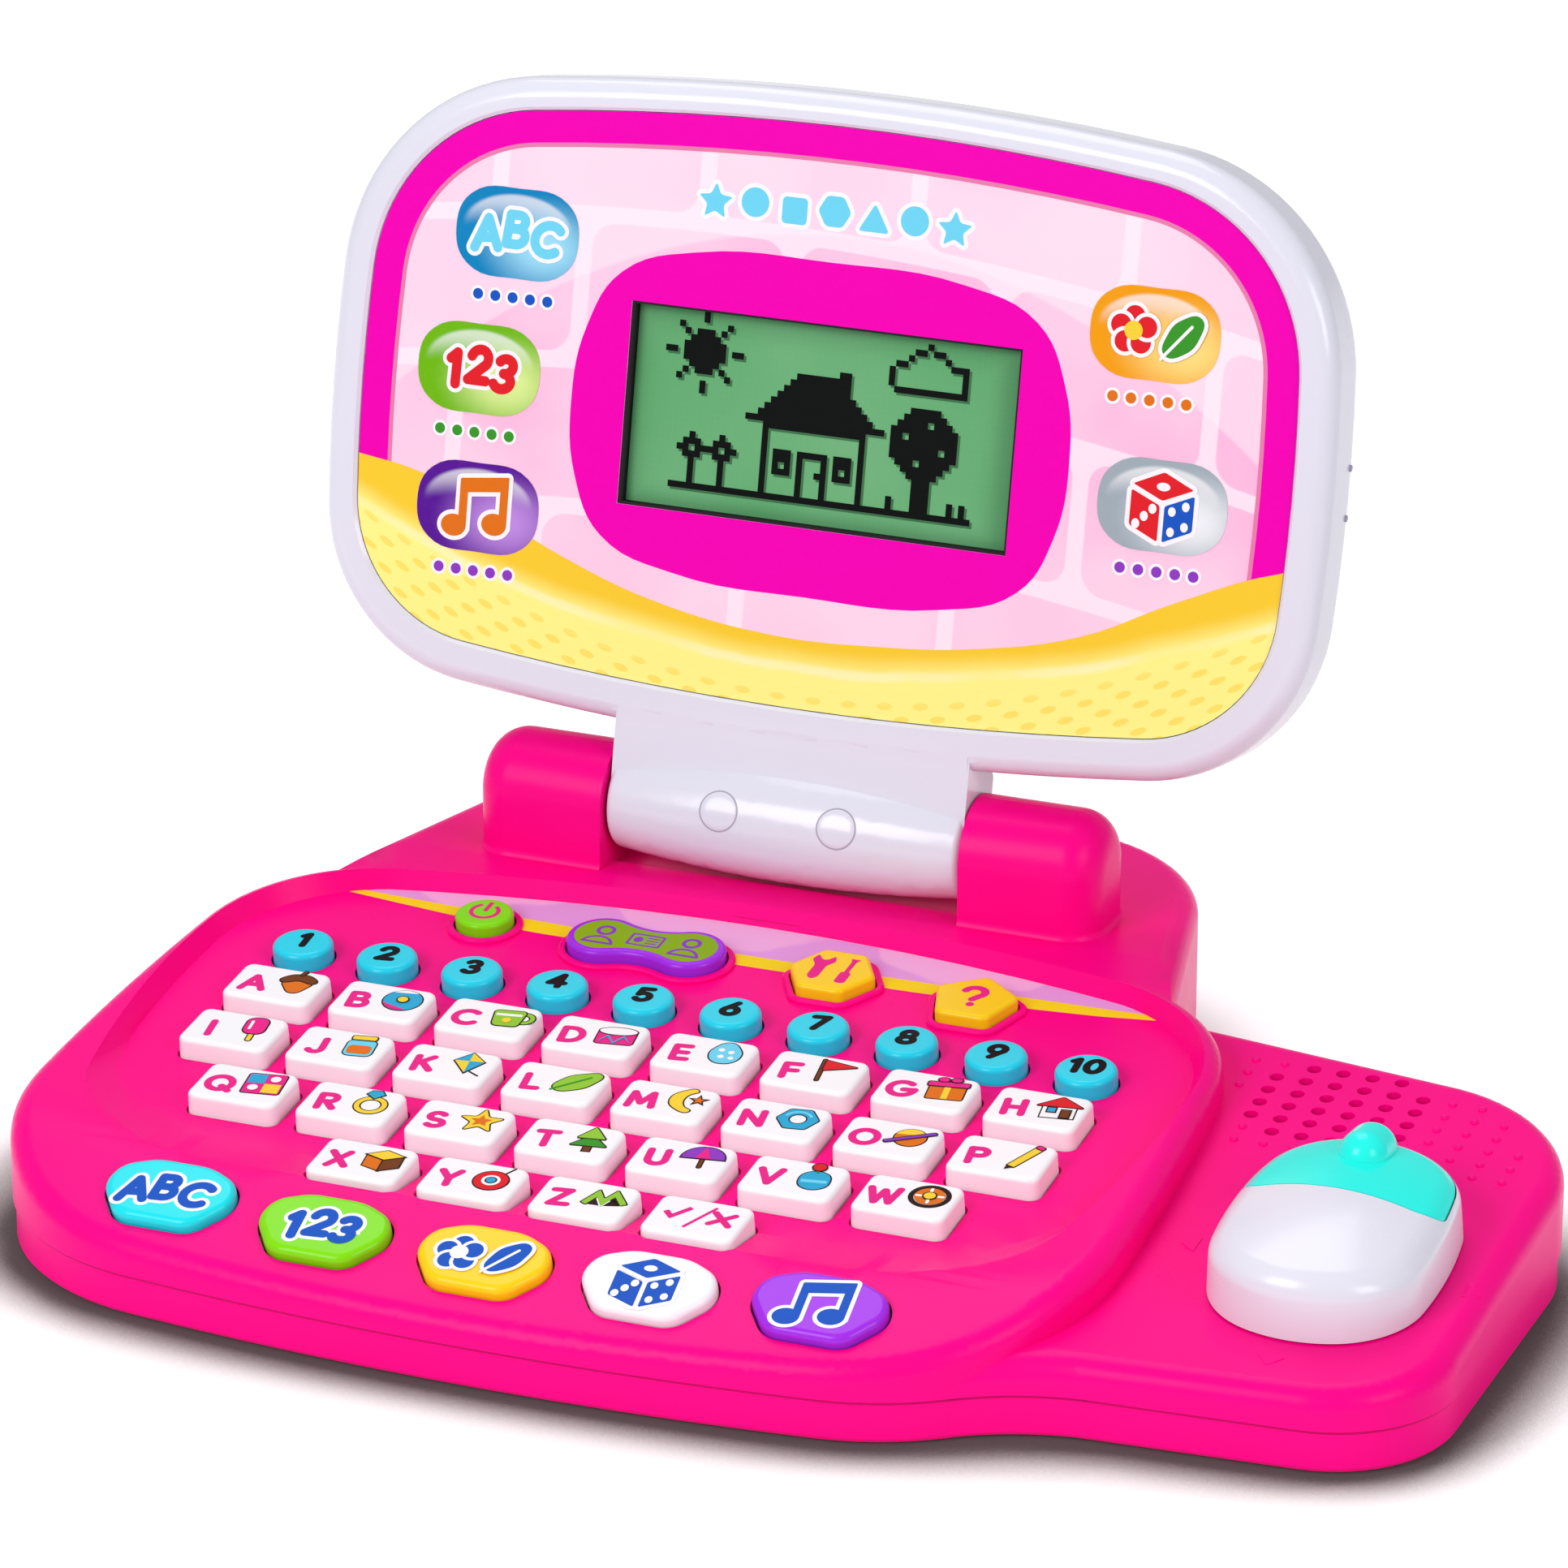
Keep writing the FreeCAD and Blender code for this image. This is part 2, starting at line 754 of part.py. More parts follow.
def base_top_cover():
    seam = size("seam_height")
    outside = housing()
    slot, sleeve = grip()
    cover = outside.cut(tray_cutter())
    cover = fused([cover] + collars())
    hollow = inside().cut(sleeve)
    cover = cover.cut(hollow)
    cover = cover.cut(box((-300, 300), (-200, 200), (-5, seam)))
    extras = [tower(1), tower(-1)]
    wall = size("wall")
    for x, y in column_spots():
        top = platform_z(y) - 0.5 if x > BASE_HALF else rim_z(y) - size("deck_drop") - 0.5
        extras.append(rod(4.2, x, y, seam + 0.3, top))
    for x, y in post_spots():
        low = -MEMBRANE_DROP - size("membrane_thick")
        extras.append(placed(rod(2.8, x, y, low, -wall + 0.5), DECK))
    cover = fused([cover] + extras + mouse_rails())
    scoop = Part.makeCylinder(size("barrel_radius") + size("barrel_fit"), 2 * TOWER_INNER,
                              Vector(-TOWER_INNER, HINGE_REACH, HINGE_HEIGHT), Vector(1, 0, 0))
    cutters = key_holes() + grille() + [mouse_well(), slot, scoop]
    for x, y in column_spots():
        cutters.append(rod(1.3, x, y, seam - 1, seam + 9))
    return cover.cut(cutters)


def bevelled_foot(solid):
    """Take the sharp edge off the floor side of a prism."""
    low = solid.BoundBox.ZMin
    return solid.makeChamfer(size("foot_bevel"), [e for e in solid.Edges if e.BoundBox.ZMax < low + 1e-3])


def battery_chest(grow):
    """Outside of the battery bay that stands on the pan."""
    side, deep = DOOR_HALF + 1.5 + grow, DOOR_DEEP + 1.5 + grow
    roof = 2 * size("cell_radius") + size("wall") + 1.6 + grow
    return box((-side, side), (CELL_ROW - deep, CELL_ROW + deep), (0.5, roof))


def base_bottom_cover():
    seam, wall = size("seam_height"), size("wall")
    inset = size("seam_gap")

    outlines = (base_outline, platform_outline, handle_outline)
    cover = fused([bevelled_foot(prism(outline(inset), 0, seam)) for outline in outlines])
    room = fused([prism(outline(inset + wall), wall, seam + 1) for outline in outlines])
    slot, sleeve = grip()
    cover = cover.cut(room.cut(sleeve)).cut(slot)
    columns = [rod(5.0, x, y, 0.5, seam) for x, y in column_spots()]
    row, half, deep = CELL_ROW, DOOR_HALF, DOOR_DEEP
    chest = battery_chest(0.0)
    room = box((-half + 2, half - 2), (row - deep + 2, row + deep - 2), (-1, chest.BoundBox.ZMax - 1.2))
    mouth = box((-half, half), (row - deep, row + deep), (-1, wall))
    cutters = [room, mouth]
    for x, y in column_spots():
        cutters.append(rod(3.2, x, y, -1, seam - 3))
        cutters.append(rod(1.6, x, y, -1, seam + 1))
    return fused([cover, chest] + columns).cut(cutters)


def battery_door():
    """Flush door with a finger groove and two tabs that reach over the pan."""
    wall, fit = size("wall"), size("door_fit")
    row = CELL_ROW
    half, deep = DOOR_HALF - fit, DOOR_DEEP - fit
    plate = prism(rectangle(half, deep, 0.5), 0, wall)
    ribs = [box((x - 3, x + 3), (-deep + 2.4, -deep + 4.0), (wall - 0.5, wall + 3)) for x in (-16, 16)]
    groove = box((-9, 9), (deep - 8, deep - 5), (-1, 0.9))
    door = fused([plate] + ribs).cut(groove)
    door.translate(Vector(0, row, 0))
    return door


def batteries():
    """Three cells lying side by side along X."""
    low = size("wall") + 0.3
    radius, length = size("cell_radius"), size("cell_length")
    cells = []
    for index in (-1, 0, 1):
        y = CELL_ROW + index * CELL_PITCH
        side = 1 if index % 2 else -1
        start = Vector(-side * length / 2, y, low + radius)
        can = Part.makeCylinder(radius, length - 1.2, start, Vector(side, 0, 0))
        can = can.makeChamfer(0.6, [e for e in can.Edges if e.Curve.TypeId == "Part::GeomCircle"])
        nub = Part.makeCylinder(2.7, 2.0, start + Vector(side * (length - 2.0), 0, 0), Vector(side, 0, 0))
        cells.append(can.fuse(nub).removeSplitter())
    return Part.makeCompound(cells)


def board_form(low, high, hole):
    """Sheet below the deck, with the holes for its posts and notches for the screw columns."""
    reach = BASE_HALF + 3
    form = prism(base_outline(size("board_inset")), low, high).common(
        box((-reach, reach), (7.7 - FRONT, REAR - 10.5), (low, high)))
    holes = [rod(hole, x, y, low - 1, high + 1) for x, y in post_spots()]
    lean = math.radians(size("deck_tilt"))
    for x, y in column_spots():
        if x < BASE_HALF:
            holes.append(rod(7.0, x, (y + low * math.sin(lean)) / math.cos(lean), low - 1, high + 1))
    return form, holes


def clear_of_cells(form):
    """Place a sheet below the deck, clear of the battery bay."""
    return placed(form, DECK).cut(battery_chest(0.2))


def circuit_board():
    top = -MEMBRANE_DROP - size("membrane_thick")
    form, holes = board_form(top - size("board_thick"), top, 1.2)
    return clear_of_cells(form.cut(holes))


def keypad_membrane():
    """Rubber sheet with a raised pad under every key."""
    top = -MEMBRANE_DROP
    form, holes = board_form(top - size("membrane_thick"), top, 3.3)
    pads = []
    for label, x, y in list(letter_spots()) + list(number_spots()):
        pads.append(box((x - 3, x + 3), (y - 3, y + 3), (top - 0.5, top + size("membrane_pad"))))
    for label, x, y, outline in FUNCTIONS:
        pads.append(box((x - 3, x + 3), (y - 3, y + 3), (top - 0.5, top + size("membrane_pad"))))
    return clear_of_cells(fused([form] + pads).cut(holes))


def speaker():
    """Round speaker under the grille: rim, basket cone and magnet."""
    radius = size("speaker_radius")
    top = -size("wall")
    profile = (
        (0, 0),
        (radius, 0),
        (radius, -2.0),
        (radius - 2.5, -2.0),
        (radius * 0.62, -7.5),
        (radius * 0.62, -12.0),
        (0, -12.0),
    )
    points = [Vector(x, 0, z + top) for x, z in profile]
    face = Part.Face(Part.makePolygon(points + points[:1]))
    body = face.revolve(Vector(0, 0, 0), Vector(0, 0, 1), 360)
    y = size("speaker_row")
    return placed(body, tilted(SPEAKER_MIDDLE, y, platform_z(y), size("deck_tilt")))


# Lid, drawn in its own frame: x right, y up the lid, z out of its front

def lid_outline(inset=0.0):
    return bulged_outline(
        size("lid_half_width"), size("lid_foot"), size("lid_top"), size("lid_waist"),
        (420, 700, 640), (size("lid_foot_corner"), size("lid_top_corner")), inset)


def panel_outline(inset=0.0):
    return bulged_outline(
        size("lid_half_width") - size("bezel_side"), size("lid_foot") + size("bezel_foot"),
        size("lid_top") - size("bezel_top"), size("lid_waist"),
        (420, 700, 600), (size("lid_foot_corner") - 8, size("lid_top_corner") - 7), inset)


def screen_box(half_grow, low, high):
    half = size("screen_width") / 2 + half_grow
    tall = size("screen_height") / 2 + half_grow
    return box((-half, half), (size("screen_centre") - tall, size("screen_centre") + tall), (low, high))


def barrel():
    """Crowned hinge barrel with a pin at each end."""
    half, radius = size("barrel_half"), size("barrel_radius")
    end = radius - size("barrel_crown")
    soft = 1.6
    a = Vector(-half, 0, 0)
    b = Vector(half, 0, 0)
    c = Vector(half, end - soft, 0)
    d = Vector(half - soft, end, 0)
    bend = Vector(half - soft * 0.3, end - soft * 0.3, 0)
    crown = Vector(0, radius, 0)

    def flipped(point):
        return Vector(-point.x, point.y, 0)

    edges = [
        Part.LineSegment(a, b),
        Part.LineSegment(b, c),
        Part.Arc(c, bend, d),
        Part.Arc(d, crown, flipped(d)),
        Part.Arc(flipped(d), flipped(bend), flipped(c)),
        Part.LineSegment(flipped(c), a),
    ]
    body = Part.Face(wire(edges)).revolve(Vector(0, 0, 0), Vector(1, 0, 0), 360)
    reach = half + size("pin_length")
    pin = Part.makeCylinder(size("pin_radius"), 2 * reach, Vector(-reach, 0, 0), Vector(1, 0, 0))
    return body.fuse(pin)


def lid_front_frame():
    front, part = size("lid_front"), size("lid_part")
    frame = prism(lid_outline(), part, front)
    frame = frame.makeFillet(size("lid_front_round"), brow(frame))
    frame = frame.cut([
        prism(panel_outline(-size("panel_fit")), PANEL_SEAT, front + 1),
        prism(lid_outline(size("wall")), part - 1, PANEL_BACK),
        screen_box(0.6, PANEL_BACK - 1, front),
    ])
    frame = frame.makeChamfer(size("bezel_soft"), brow(frame, lambda p: p.z > front - 1e-3))
    half, face = size("barrel_half"), front - size("neck_step")
    foot = size("lid_foot")
    neck = side_prism(((0, -7.5), (foot - 0.4, -7.5), (foot - 0.4, part), (foot + 4, part),
                       (foot + 4, face), (0, face)), (0, 2.0, 0, 0, 0, 0), -half, half)
    return fused([frame, neck, barrel()])


def lid_rear_shell():
    """Back of the lid, with a rib that presses on the display."""
    part, back = size("lid_part"), size("lid_back")
    shell = prism(lid_outline(), back, part)
    rear_edges = []
    for edge in shell.Edges:
        if all(abs(v.Z - back) < 1e-6 for v in edge.Vertexes):
            rear_edges.append(edge)
    shell = shell.makeFillet(size("lid_back_round"), rear_edges)
    shell = shell.cut(prism(lid_outline(size("lid_back_round")), back + size("wall"), part + 1))
    low = PANEL_BACK - size("screen_thick")
    rib = screen_box(0, back + 1, low).cut(screen_box(-1.8, back, low + 1))
    return fused([shell, rib])


def screen_panel():
    """Printed sheet with the window of the display cut out."""
    return prism(panel_outline(), PANEL_SEAT, PANEL_FACE).cut(screen_box(0, PANEL_SEAT - 1, PANEL_FACE + 1))


def lcd_display():
    return screen_box(size("screen_border"), PANEL_BACK - size("screen_thick"), PANEL_BACK)


# Mouse, drawn in the platform frame

def mouse_plan(inset):
    """Plan of the mouse, nearly round at both ends."""
    half, reach = size("mouse_half_width"), size("mouse_half_length")
    return bulged_outline(half, -reach, reach, -2.0, (110, 28, 30), (19, 17), inset)


def mouse_form():
    """Drafted plan under a shallow dome that is turned about a lengthwise axis."""
    reach, height = size("mouse_half_length"), size("mouse_height")
    foot, head = wire(mouse_plan(0.0)), wire(mouse_plan(1.2))
    foot.translate(Vector(0, 0, -1))
    head.translate(Vector(0, 0, height + 5))
    walls = Part.makeLoft([foot, head], True, True)
    axis = height - size("mouse_crown")
    front = Vector(0, -reach - 1, size("mouse_nose"))
    crest = Vector(0, 2, height)
    rear = Vector(0, reach + 1, size("mouse_tail"))
    low_front = Vector(0, -reach - 1, axis)
    low_rear = Vector(0, reach + 1, axis)
    edges = [
        Part.Arc(front, crest, rear),
        Part.LineSegment(rear, low_rear),
        Part.LineSegment(low_rear, low_front),
        Part.LineSegment(low_front, front),
    ]
    dome = Part.Face(wire(edges)).revolve(low_front, Vector(0, 1, 0), 360)
    dome.rotate(low_front, Vector(0, 1, 0), 180)
    return walls.common(dome)


def mouse_outside():
    form = mouse_form()
    soft = form.makeFillet(size("mouse_round"), brow(form))
    return soft.cut(box((-60, 60), (-60, 60), (-5, size("mouse_lift"))))


def wheel_bump():
    """Moulded wheel on the far end of the button."""
    radius, reach = size("wheel_radius"), 4.5
    ends = [Part.makeSphere(radius), Part.makeSphere(radius, Vector(0, reach, 0))]
    shape = Part.makeCylinder(radius, reach, Vector(0, 0, 0), Vector(0, 1, 0)).fuse(ends).removeSplitter()
    place = Vector(0, size("wheel_row"), size("mouse_height") - 2.2)
    shape.Placement = Placement(place, Rotation(Vector(1, 0, 0), -12))
    return shape


def button_room(grow, low):
    """Space of the mouse button: behind the split and inside the shoulders."""
    split = size("mouse_split") - grow
    room = prism(mouse_plan(size("button_margin") - grow), low, 60).common(
        box((-60, 60), (split, 60), (low, 60)))
    corners = []
    for edge in room.Edges:
        if edge.BoundBox.ZLength > 1 and abs(edge.BoundBox.YMax - split) < 1e-3:
            corners.append(edge)
    return room.makeFillet(size("button_corner") + grow, corners)


def mouse_button():
    low, wall = size("mouse_skirt"), size("mouse_shell")
    whole = fused([mouse_outside(), wheel_bump()])
    cap = whole.common(button_room(0.0, low))
    roof = min(size("mouse_nose"), size("mouse_tail")) - size("mouse_shell")
    hollow = button_room(-wall, low - 1).common(box((-60, 60), (-60, 60), (0, roof)))
    return cap.cut(hollow)


def mouse_shell():
    """Body of the mouse with the button's well, and the post that goes through the platform."""
    lift = size("mouse_lift")
    floor = size("mouse_skirt") - size("button_travel") - size("press_clear")
    body = mouse_outside().cut(button_room(size("button_gap"), floor))
    half = size("post_half")
    under = size("wall") + 0.3 + size("carriage_thick") + 0.3
    post = prism(rectangle(half, half, 1.0), -under - 1.6, lift + 1)
    washer = prism(rectangle(half + 4, half + 2, 2.0), -under - 1.6, -under)
    return fused([body, post, washer])


def mouse_carriage():
    """Plate under the platform that slides left and right, slotted for the post."""
    top = -size("wall") - 0.3
    plate = prism(rectangle(size("carriage_half_width"), size("carriage_half_depth"), 2.0),
                  top - size("carriage_thick"), top)
    half = size("post_half")
    slot = prism(rectangle(half + 0.3, half + size("mouse_play") + 0.5, 1.0), top - 5, top + 1)
    return plate.cut(slot)


# Keys and buttons as sketched bodies

def sketch_on(body, name, lift):
    """Sketch on the body's XY plane, raised by an expression."""
    plane = [item for item in body.Origin.OriginFeatures if item.Role == "XY_Plane"][0]
    sketch = body.newObject("Sketcher::SketchObject", name)
    sketch.AttachmentSupport = [(plane, "")]
    sketch.MapMode = "FlatFace"
    sketch.setExpression("AttachmentOffset.Base.z", lift)
    return sketch


def bind(sketch, name, constraint, expression):
    index = sketch.addConstraint(constraint)
    sketch.renameConstraint(index, name)
    sketch.setExpression("Constraints." + name, expression)


def sketch_rounded(sketch, width, depth, corner):
    """Round-cornered rectangle about the origin; each size is an expression."""
    sketch.addGeometry(rectangle(10, 8, 2), False)
    rules = [Sketcher.Constraint("Tangent", i, 2, (i + 1) % 8, 1) for i in range(8)]
    for index in (1, 5):
        rules.append(Sketcher.Constraint("Horizontal", index))
        rules.append(Sketcher.Constraint("Vertical", index + 2))
    for index in (2, 4, 6):
        rules.append(Sketcher.Constraint("Equal", 0, index))
    rules.append(Sketcher.Constraint("Symmetric", 0, 3, 4, 3, -1, 1))
    sketch.addConstraint(rules)
    bind(sketch, "width", Sketcher.Constraint("DistanceX", 7, 1, 3, 1, 20), width)
    bind(sketch, "depth", Sketcher.Constraint("DistanceY", 1, 1, 5, 1, 16), depth)
    bind(sketch, "corner", Sketcher.Constraint("Radius", 0, 2), corner)


def sketch_square(sketch, width, depth):
    """Plain rectangle about the origin."""
    sketch.addGeometry(rectangle(10, 8), False)
    rules = [Sketcher.Constraint("Coincident", i, 2, (i + 1) % 4, 1) for i in range(4)]
    for index in (0, 2):
        rules.append(Sketcher.Constraint("Horizontal", index))
        rules.append(Sketcher.Constraint("Vertical", index + 1))
    rules.append(Sketcher.Constraint("Symmetric", 0, 1, 2, 1, -1, 1))
    sketch.addConstraint(rules)
    bind(sketch, "width", Sketcher.Constraint("DistanceX", 0, 1, 0, 2, 20), width)
    bind(sketch, "depth", Sketcher.Constraint("DistanceY", 1, 1, 1, 2, 16), depth)


def sketch_disc(sketch, radius):
    sketch.addGeometry(Part.Circle(Vector(0, 0, 0), Vector(0, 0, 1), 3), False)
    sketch.addConstraint(Sketcher.Constraint("Coincident", 0, 3, -1, 1))
    bind(sketch, "radius", Sketcher.Constraint("Radius", 0, 3), radius)


def pad(body, name, sketch, length, down=False, draft=None):
    feature = body.newObject("PartDesign::Pad", name)
    feature.Profile = sketch
    feature.setExpression("Length", length)
    feature.Reversed = down
    if draft:
        feature.setExpression("TaperAngle", draft)
    return feature


def soften_top(body, base, amount):
    """Round the rim of the highest face."""
    doc.recompute()
    top = base.Shape.BoundBox.ZMax
    names = []
    for index, edge in enumerate(base.Shape.Edges, start=1):
        if edge.BoundBox.ZMin > top - 1e-4:
            names.append("Edge%d" % index)
    feature = body.newObject("PartDesign::Fillet", "SoftTop")
    feature.Base = (base, names)
    feature.setExpression("Radius", amount)


def pressed_body(label, frame, draw_cap, flange_size, rise, wall, stem, soft, draft=None):
    """Cap through the cover, a flange below it and a square stem down to the switch."""
    body = doc.addObject("PartDesign::Body", label)
    body.Label = label
    shelf = "-(Sheet.%s + Sheet.flange_gap)" % wall
    cap = sketch_on(body, "CapSketch", shelf)
    draw_cap(cap)
    pad(body, "Cap", cap, "Sheet.%s + Sheet.%s + Sheet.flange_gap" % (rise, wall), draft=draft)
    flange = sketch_on(body, "FlangeSketch", shelf)
    sketch_square(flange, *flange_size)
    pad(body, "Flange", flange, "Sheet.flange_thick", down=True)
    foot = sketch_on(body, "StemSketch", shelf + " - Sheet.flange_thick")
    sketch_square(foot, "Sheet.stem_width", "Sheet.stem_width")
    last = pad(body, "Stem", foot, "Sheet.%s" % stem, down=True)
    soften_top(body, last, "Sheet.%s" % soft)
    body.Placement = frame
    return body


def build_keys():
    side = " + 2 * Sheet.flange_side"
    bodies = []
    for label, x, y in letter_spots():
        bodies.append(pressed_body(
            label, at_deck(x, y),
            lambda s: sketch_rounded(s, "Sheet.key_width", "Sheet.key_depth", "Sheet.key_corner"),
            ("Sheet.key_width" + side, "Sheet.key_depth" + side),
            "key_rise", "wall", "stem_length", "key_soft", "-Sheet.key_draft"))
    for label, x, y in number_spots():
        bodies.append(pressed_body(
            label, at_deck(x, y),
            lambda s: sketch_disc(s, "Sheet.number_radius"),
            ("2 * Sheet.number_radius" + side,) * 2,
            "number_rise", "wall", "stem_length", "number_soft"))
    for label, x, y, outline in FUNCTIONS:
        span = wire(outline()).BoundBox
        bodies.append(pressed_body(
            label, at_deck(x, y),
            lambda s, draw=outline: s.addGeometry(draw(), False),
            ("%.3f" % span.XLength + side, "%.3f" % span.YLength + side),
            "function_rise", "wall", "stem_length", "function_soft"))
    for label, x, y in mode_spots():
        bodies.append(pressed_body(
            label, on_apron(x, y),
            lambda s: s.addGeometry(mode_outline(), False),
            ("Sheet.mode_width + 2", "Sheet.mode_depth - 9"),
            "mode_rise", "apron_wall", "mode_stem", "mode_soft"))
    return bodies


FORMS = (
    ("base_top_cover", base_top_cover, Placement()),
    ("base_bottom_cover", base_bottom_cover, Placement()),
    ("battery_door", battery_door, Placement()),
    ("batteries", batteries, Placement()),
    ("circuit_board", circuit_board, Placement()),
    ("keypad_membrane", keypad_membrane, Placement()),
    ("speaker", speaker, Placement()),
    ("lid_front_frame", lid_front_frame, LID),
    ("lid_rear_shell", lid_rear_shell, LID),
    ("screen_panel", screen_panel, LID),
    ("lcd_display", lcd_display, LID),
    ("mouse_carriage", mouse_carriage, PLATFORM),
    ("mouse_shell", mouse_shell, PLATFORM),
    ("mouse_button", mouse_button, PLATFORM),
)


def build_forms():
    made = []
    for label, maker, frame in FORMS:
        feature = doc.addObject("Part::Feature", label)
        feature.Label = label
        shape = maker()
        feature.Shape = shape
        feature.Placement = frame.multiply(shape.Placement)
        made.append(feature)
    return made


def write_parts(made):
    """Check every piece and write it."""
    os.makedirs("parts", exist_ok=True)
    for item in made:
        if "Invalid" in item.State or "Error" in item.State:
            raise RuntimeError("%s did not build" % item.Label)
        if item.Shape.isNull() or not item.Shape.isValid():
            raise RuntimeError("%s is not a valid solid" % item.Label)
        item.Shape.exportStep("parts/%s.step" % item.Label)


pieces_made = build_keys() + build_forms()
doc.recompute()
write_parts(pieces_made)
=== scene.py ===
"""Looks of a toy laptop computer with a mouse platform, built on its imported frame."""
import logging
import math
from dataclasses import dataclass, field
from enum import Enum
from functools import reduce
from itertools import product
from typing import Any, Iterable, Sequence

import bmesh
import bpy
from mathutils import Matrix, Vector
from mathutils.bvhtree import BVHTree


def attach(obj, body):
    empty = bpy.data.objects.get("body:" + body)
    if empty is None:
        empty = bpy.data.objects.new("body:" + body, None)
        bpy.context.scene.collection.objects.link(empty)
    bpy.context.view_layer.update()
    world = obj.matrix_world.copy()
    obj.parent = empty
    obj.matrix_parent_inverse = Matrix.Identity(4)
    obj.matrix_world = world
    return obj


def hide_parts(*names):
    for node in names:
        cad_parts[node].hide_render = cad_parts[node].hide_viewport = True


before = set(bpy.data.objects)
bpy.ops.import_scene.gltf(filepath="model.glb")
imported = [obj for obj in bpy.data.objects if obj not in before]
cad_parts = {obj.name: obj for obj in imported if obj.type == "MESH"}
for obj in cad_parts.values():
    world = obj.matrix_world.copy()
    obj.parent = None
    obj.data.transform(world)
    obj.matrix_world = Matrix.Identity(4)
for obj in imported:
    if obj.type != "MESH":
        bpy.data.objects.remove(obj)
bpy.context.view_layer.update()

MM = 0.001
LOG = logging.getLogger("toy_laptop")

Colour = tuple[float, float, float]
Point = tuple[float, float]
Spot = tuple[float, float, float]
Knot = tuple[Point, Point, Point]
Shape = bmesh.types.BMesh
Mesh = bpy.types.Mesh
Material = bpy.types.Material
Piece = bpy.types.Object

BLACK: Colour = (0.0, 0.0, 0.0)
WHITE: Colour = (1.0, 1.0, 1.0)
DOWN = Vector((0.0, 0.0, -1.0))

# Sizes in millimetres that a finish shares with the piece it lies on
PIXEL = 1.36
WINDOW_MIDDLE = 85.0
BADGE_HALF: Point = (14.1, 9.5)

# Mirror of most surfaces
WEAK_MIRROR = 0.06
# What the printed finishes share: their lacquer, and the scale and strength of their fine grain
PRINT_COAT = {"Coat Weight": 0.05, "Coat Roughness": 0.06}
GRAIN_SCALE = 900.0
GRAIN_GAIN = 0.08

# Edges that turn by fewer degrees than this are shaded smoothly
CREASE = 40.0
# Points nearer than this many metres are one point
MERGE = 1e-7
# Millimetres that a flat cutting shape is deep
CUT_DEEP = 2.0


def screen_colour(red: int, green: int, blue: int) -> Colour:
    """Turn a screen colour into scene light.

    Args:
        red: Red from 0 to 255.
        green: Green from 0 to 255.
        blue: Blue from 0 to 255.

    Returns:
        The linear colour.
    """
    parts = []
    for level in (red, green, blue):
        share = level / 255
        parts.append(share / 12.92 if share <= 0.04045 else ((share + 0.055) / 1.055) ** 2.4)
    return parts[0], parts[1], parts[2]


def blended(first: Colour, second: Colour, share: float) -> Colour:
    """Mix two colours."""
    mixed = [a + (b - a) * share for a, b in zip(first, second)]
    return mixed[0], mixed[1], mixed[2]


class Value:
    """A shader socket that takes part in Python expressions."""

    def __init__(self, graph: "Graph", socket: bpy.types.NodeSocket) -> None:
        """Keep the socket with the graph it belongs to."""
        self.graph = graph
        self.socket = socket

    def __add__(self, other: "Value | float") -> "Value":
        """Sum."""
        return self.graph.math("ADD", self, other)

    __radd__ = __add__

    def __sub__(self, other: "Value | float") -> "Value":
        """Difference."""
        return self.graph.math("SUBTRACT", self, other)

    def __rsub__(self, other: float) -> "Value":
        """Difference from a number."""
        return self.graph.math("SUBTRACT", other, self)

    def __mul__(self, other: "Value | float") -> "Value":
        """Product."""
        return self.graph.math("MULTIPLY", self, other)

    __rmul__ = __mul__

    def __truediv__(self, other: "Value | float") -> "Value":
        """Quotient."""
        return self.graph.math("DIVIDE", self, other)

    def __rtruediv__(self, other: float) -> "Value":
        """Quotient of a number."""
        return self.graph.math("DIVIDE", other, self)

    def __abs__(self) -> "Value":
        """Size without sign."""
        return self.graph.math("ABSOLUTE", self)

    def wave(self) -> "Value":
        """Sine."""
        return self.graph.math("SINE", self)

    def floor(self) -> "Value":
        """Largest whole number below."""
        return self.graph.math("FLOOR", self)

    def repeat(self, period: float) -> "Value":
        """Distance from the middle of a repeating cell, from minus half a period to half of one."""
        return self.graph.math("WRAP", self, period / 2, -period / 2)

    def about(self, level: float, gain: float) -> "Value":
        """Swing about a level, by a gain, with a noise from 0 to 1."""
        return (self - 0.5) * gain + level

    def step(self, low: float, high: float) -> "Value":
        """Smooth ramp from 0 at low to 1 at high.

        Args:
            low: Value that gives 0.
            high: Value that gives 1; it may be the smaller one.

        Returns:
            The ramp.
        """
        ends = (0.0, 1.0) if low < high else (1.0, 0.0)
        made = self.graph.node("ShaderNodeMapRange", {"interpolation_type": "SMOOTHSTEP"}, {
            "Value": self, "From Min": min(low, high), "From Max": max(low, high),
            "To Min": ends[0], "To Max": ends[1]})
        return Value(self.graph, made.outputs["Result"])


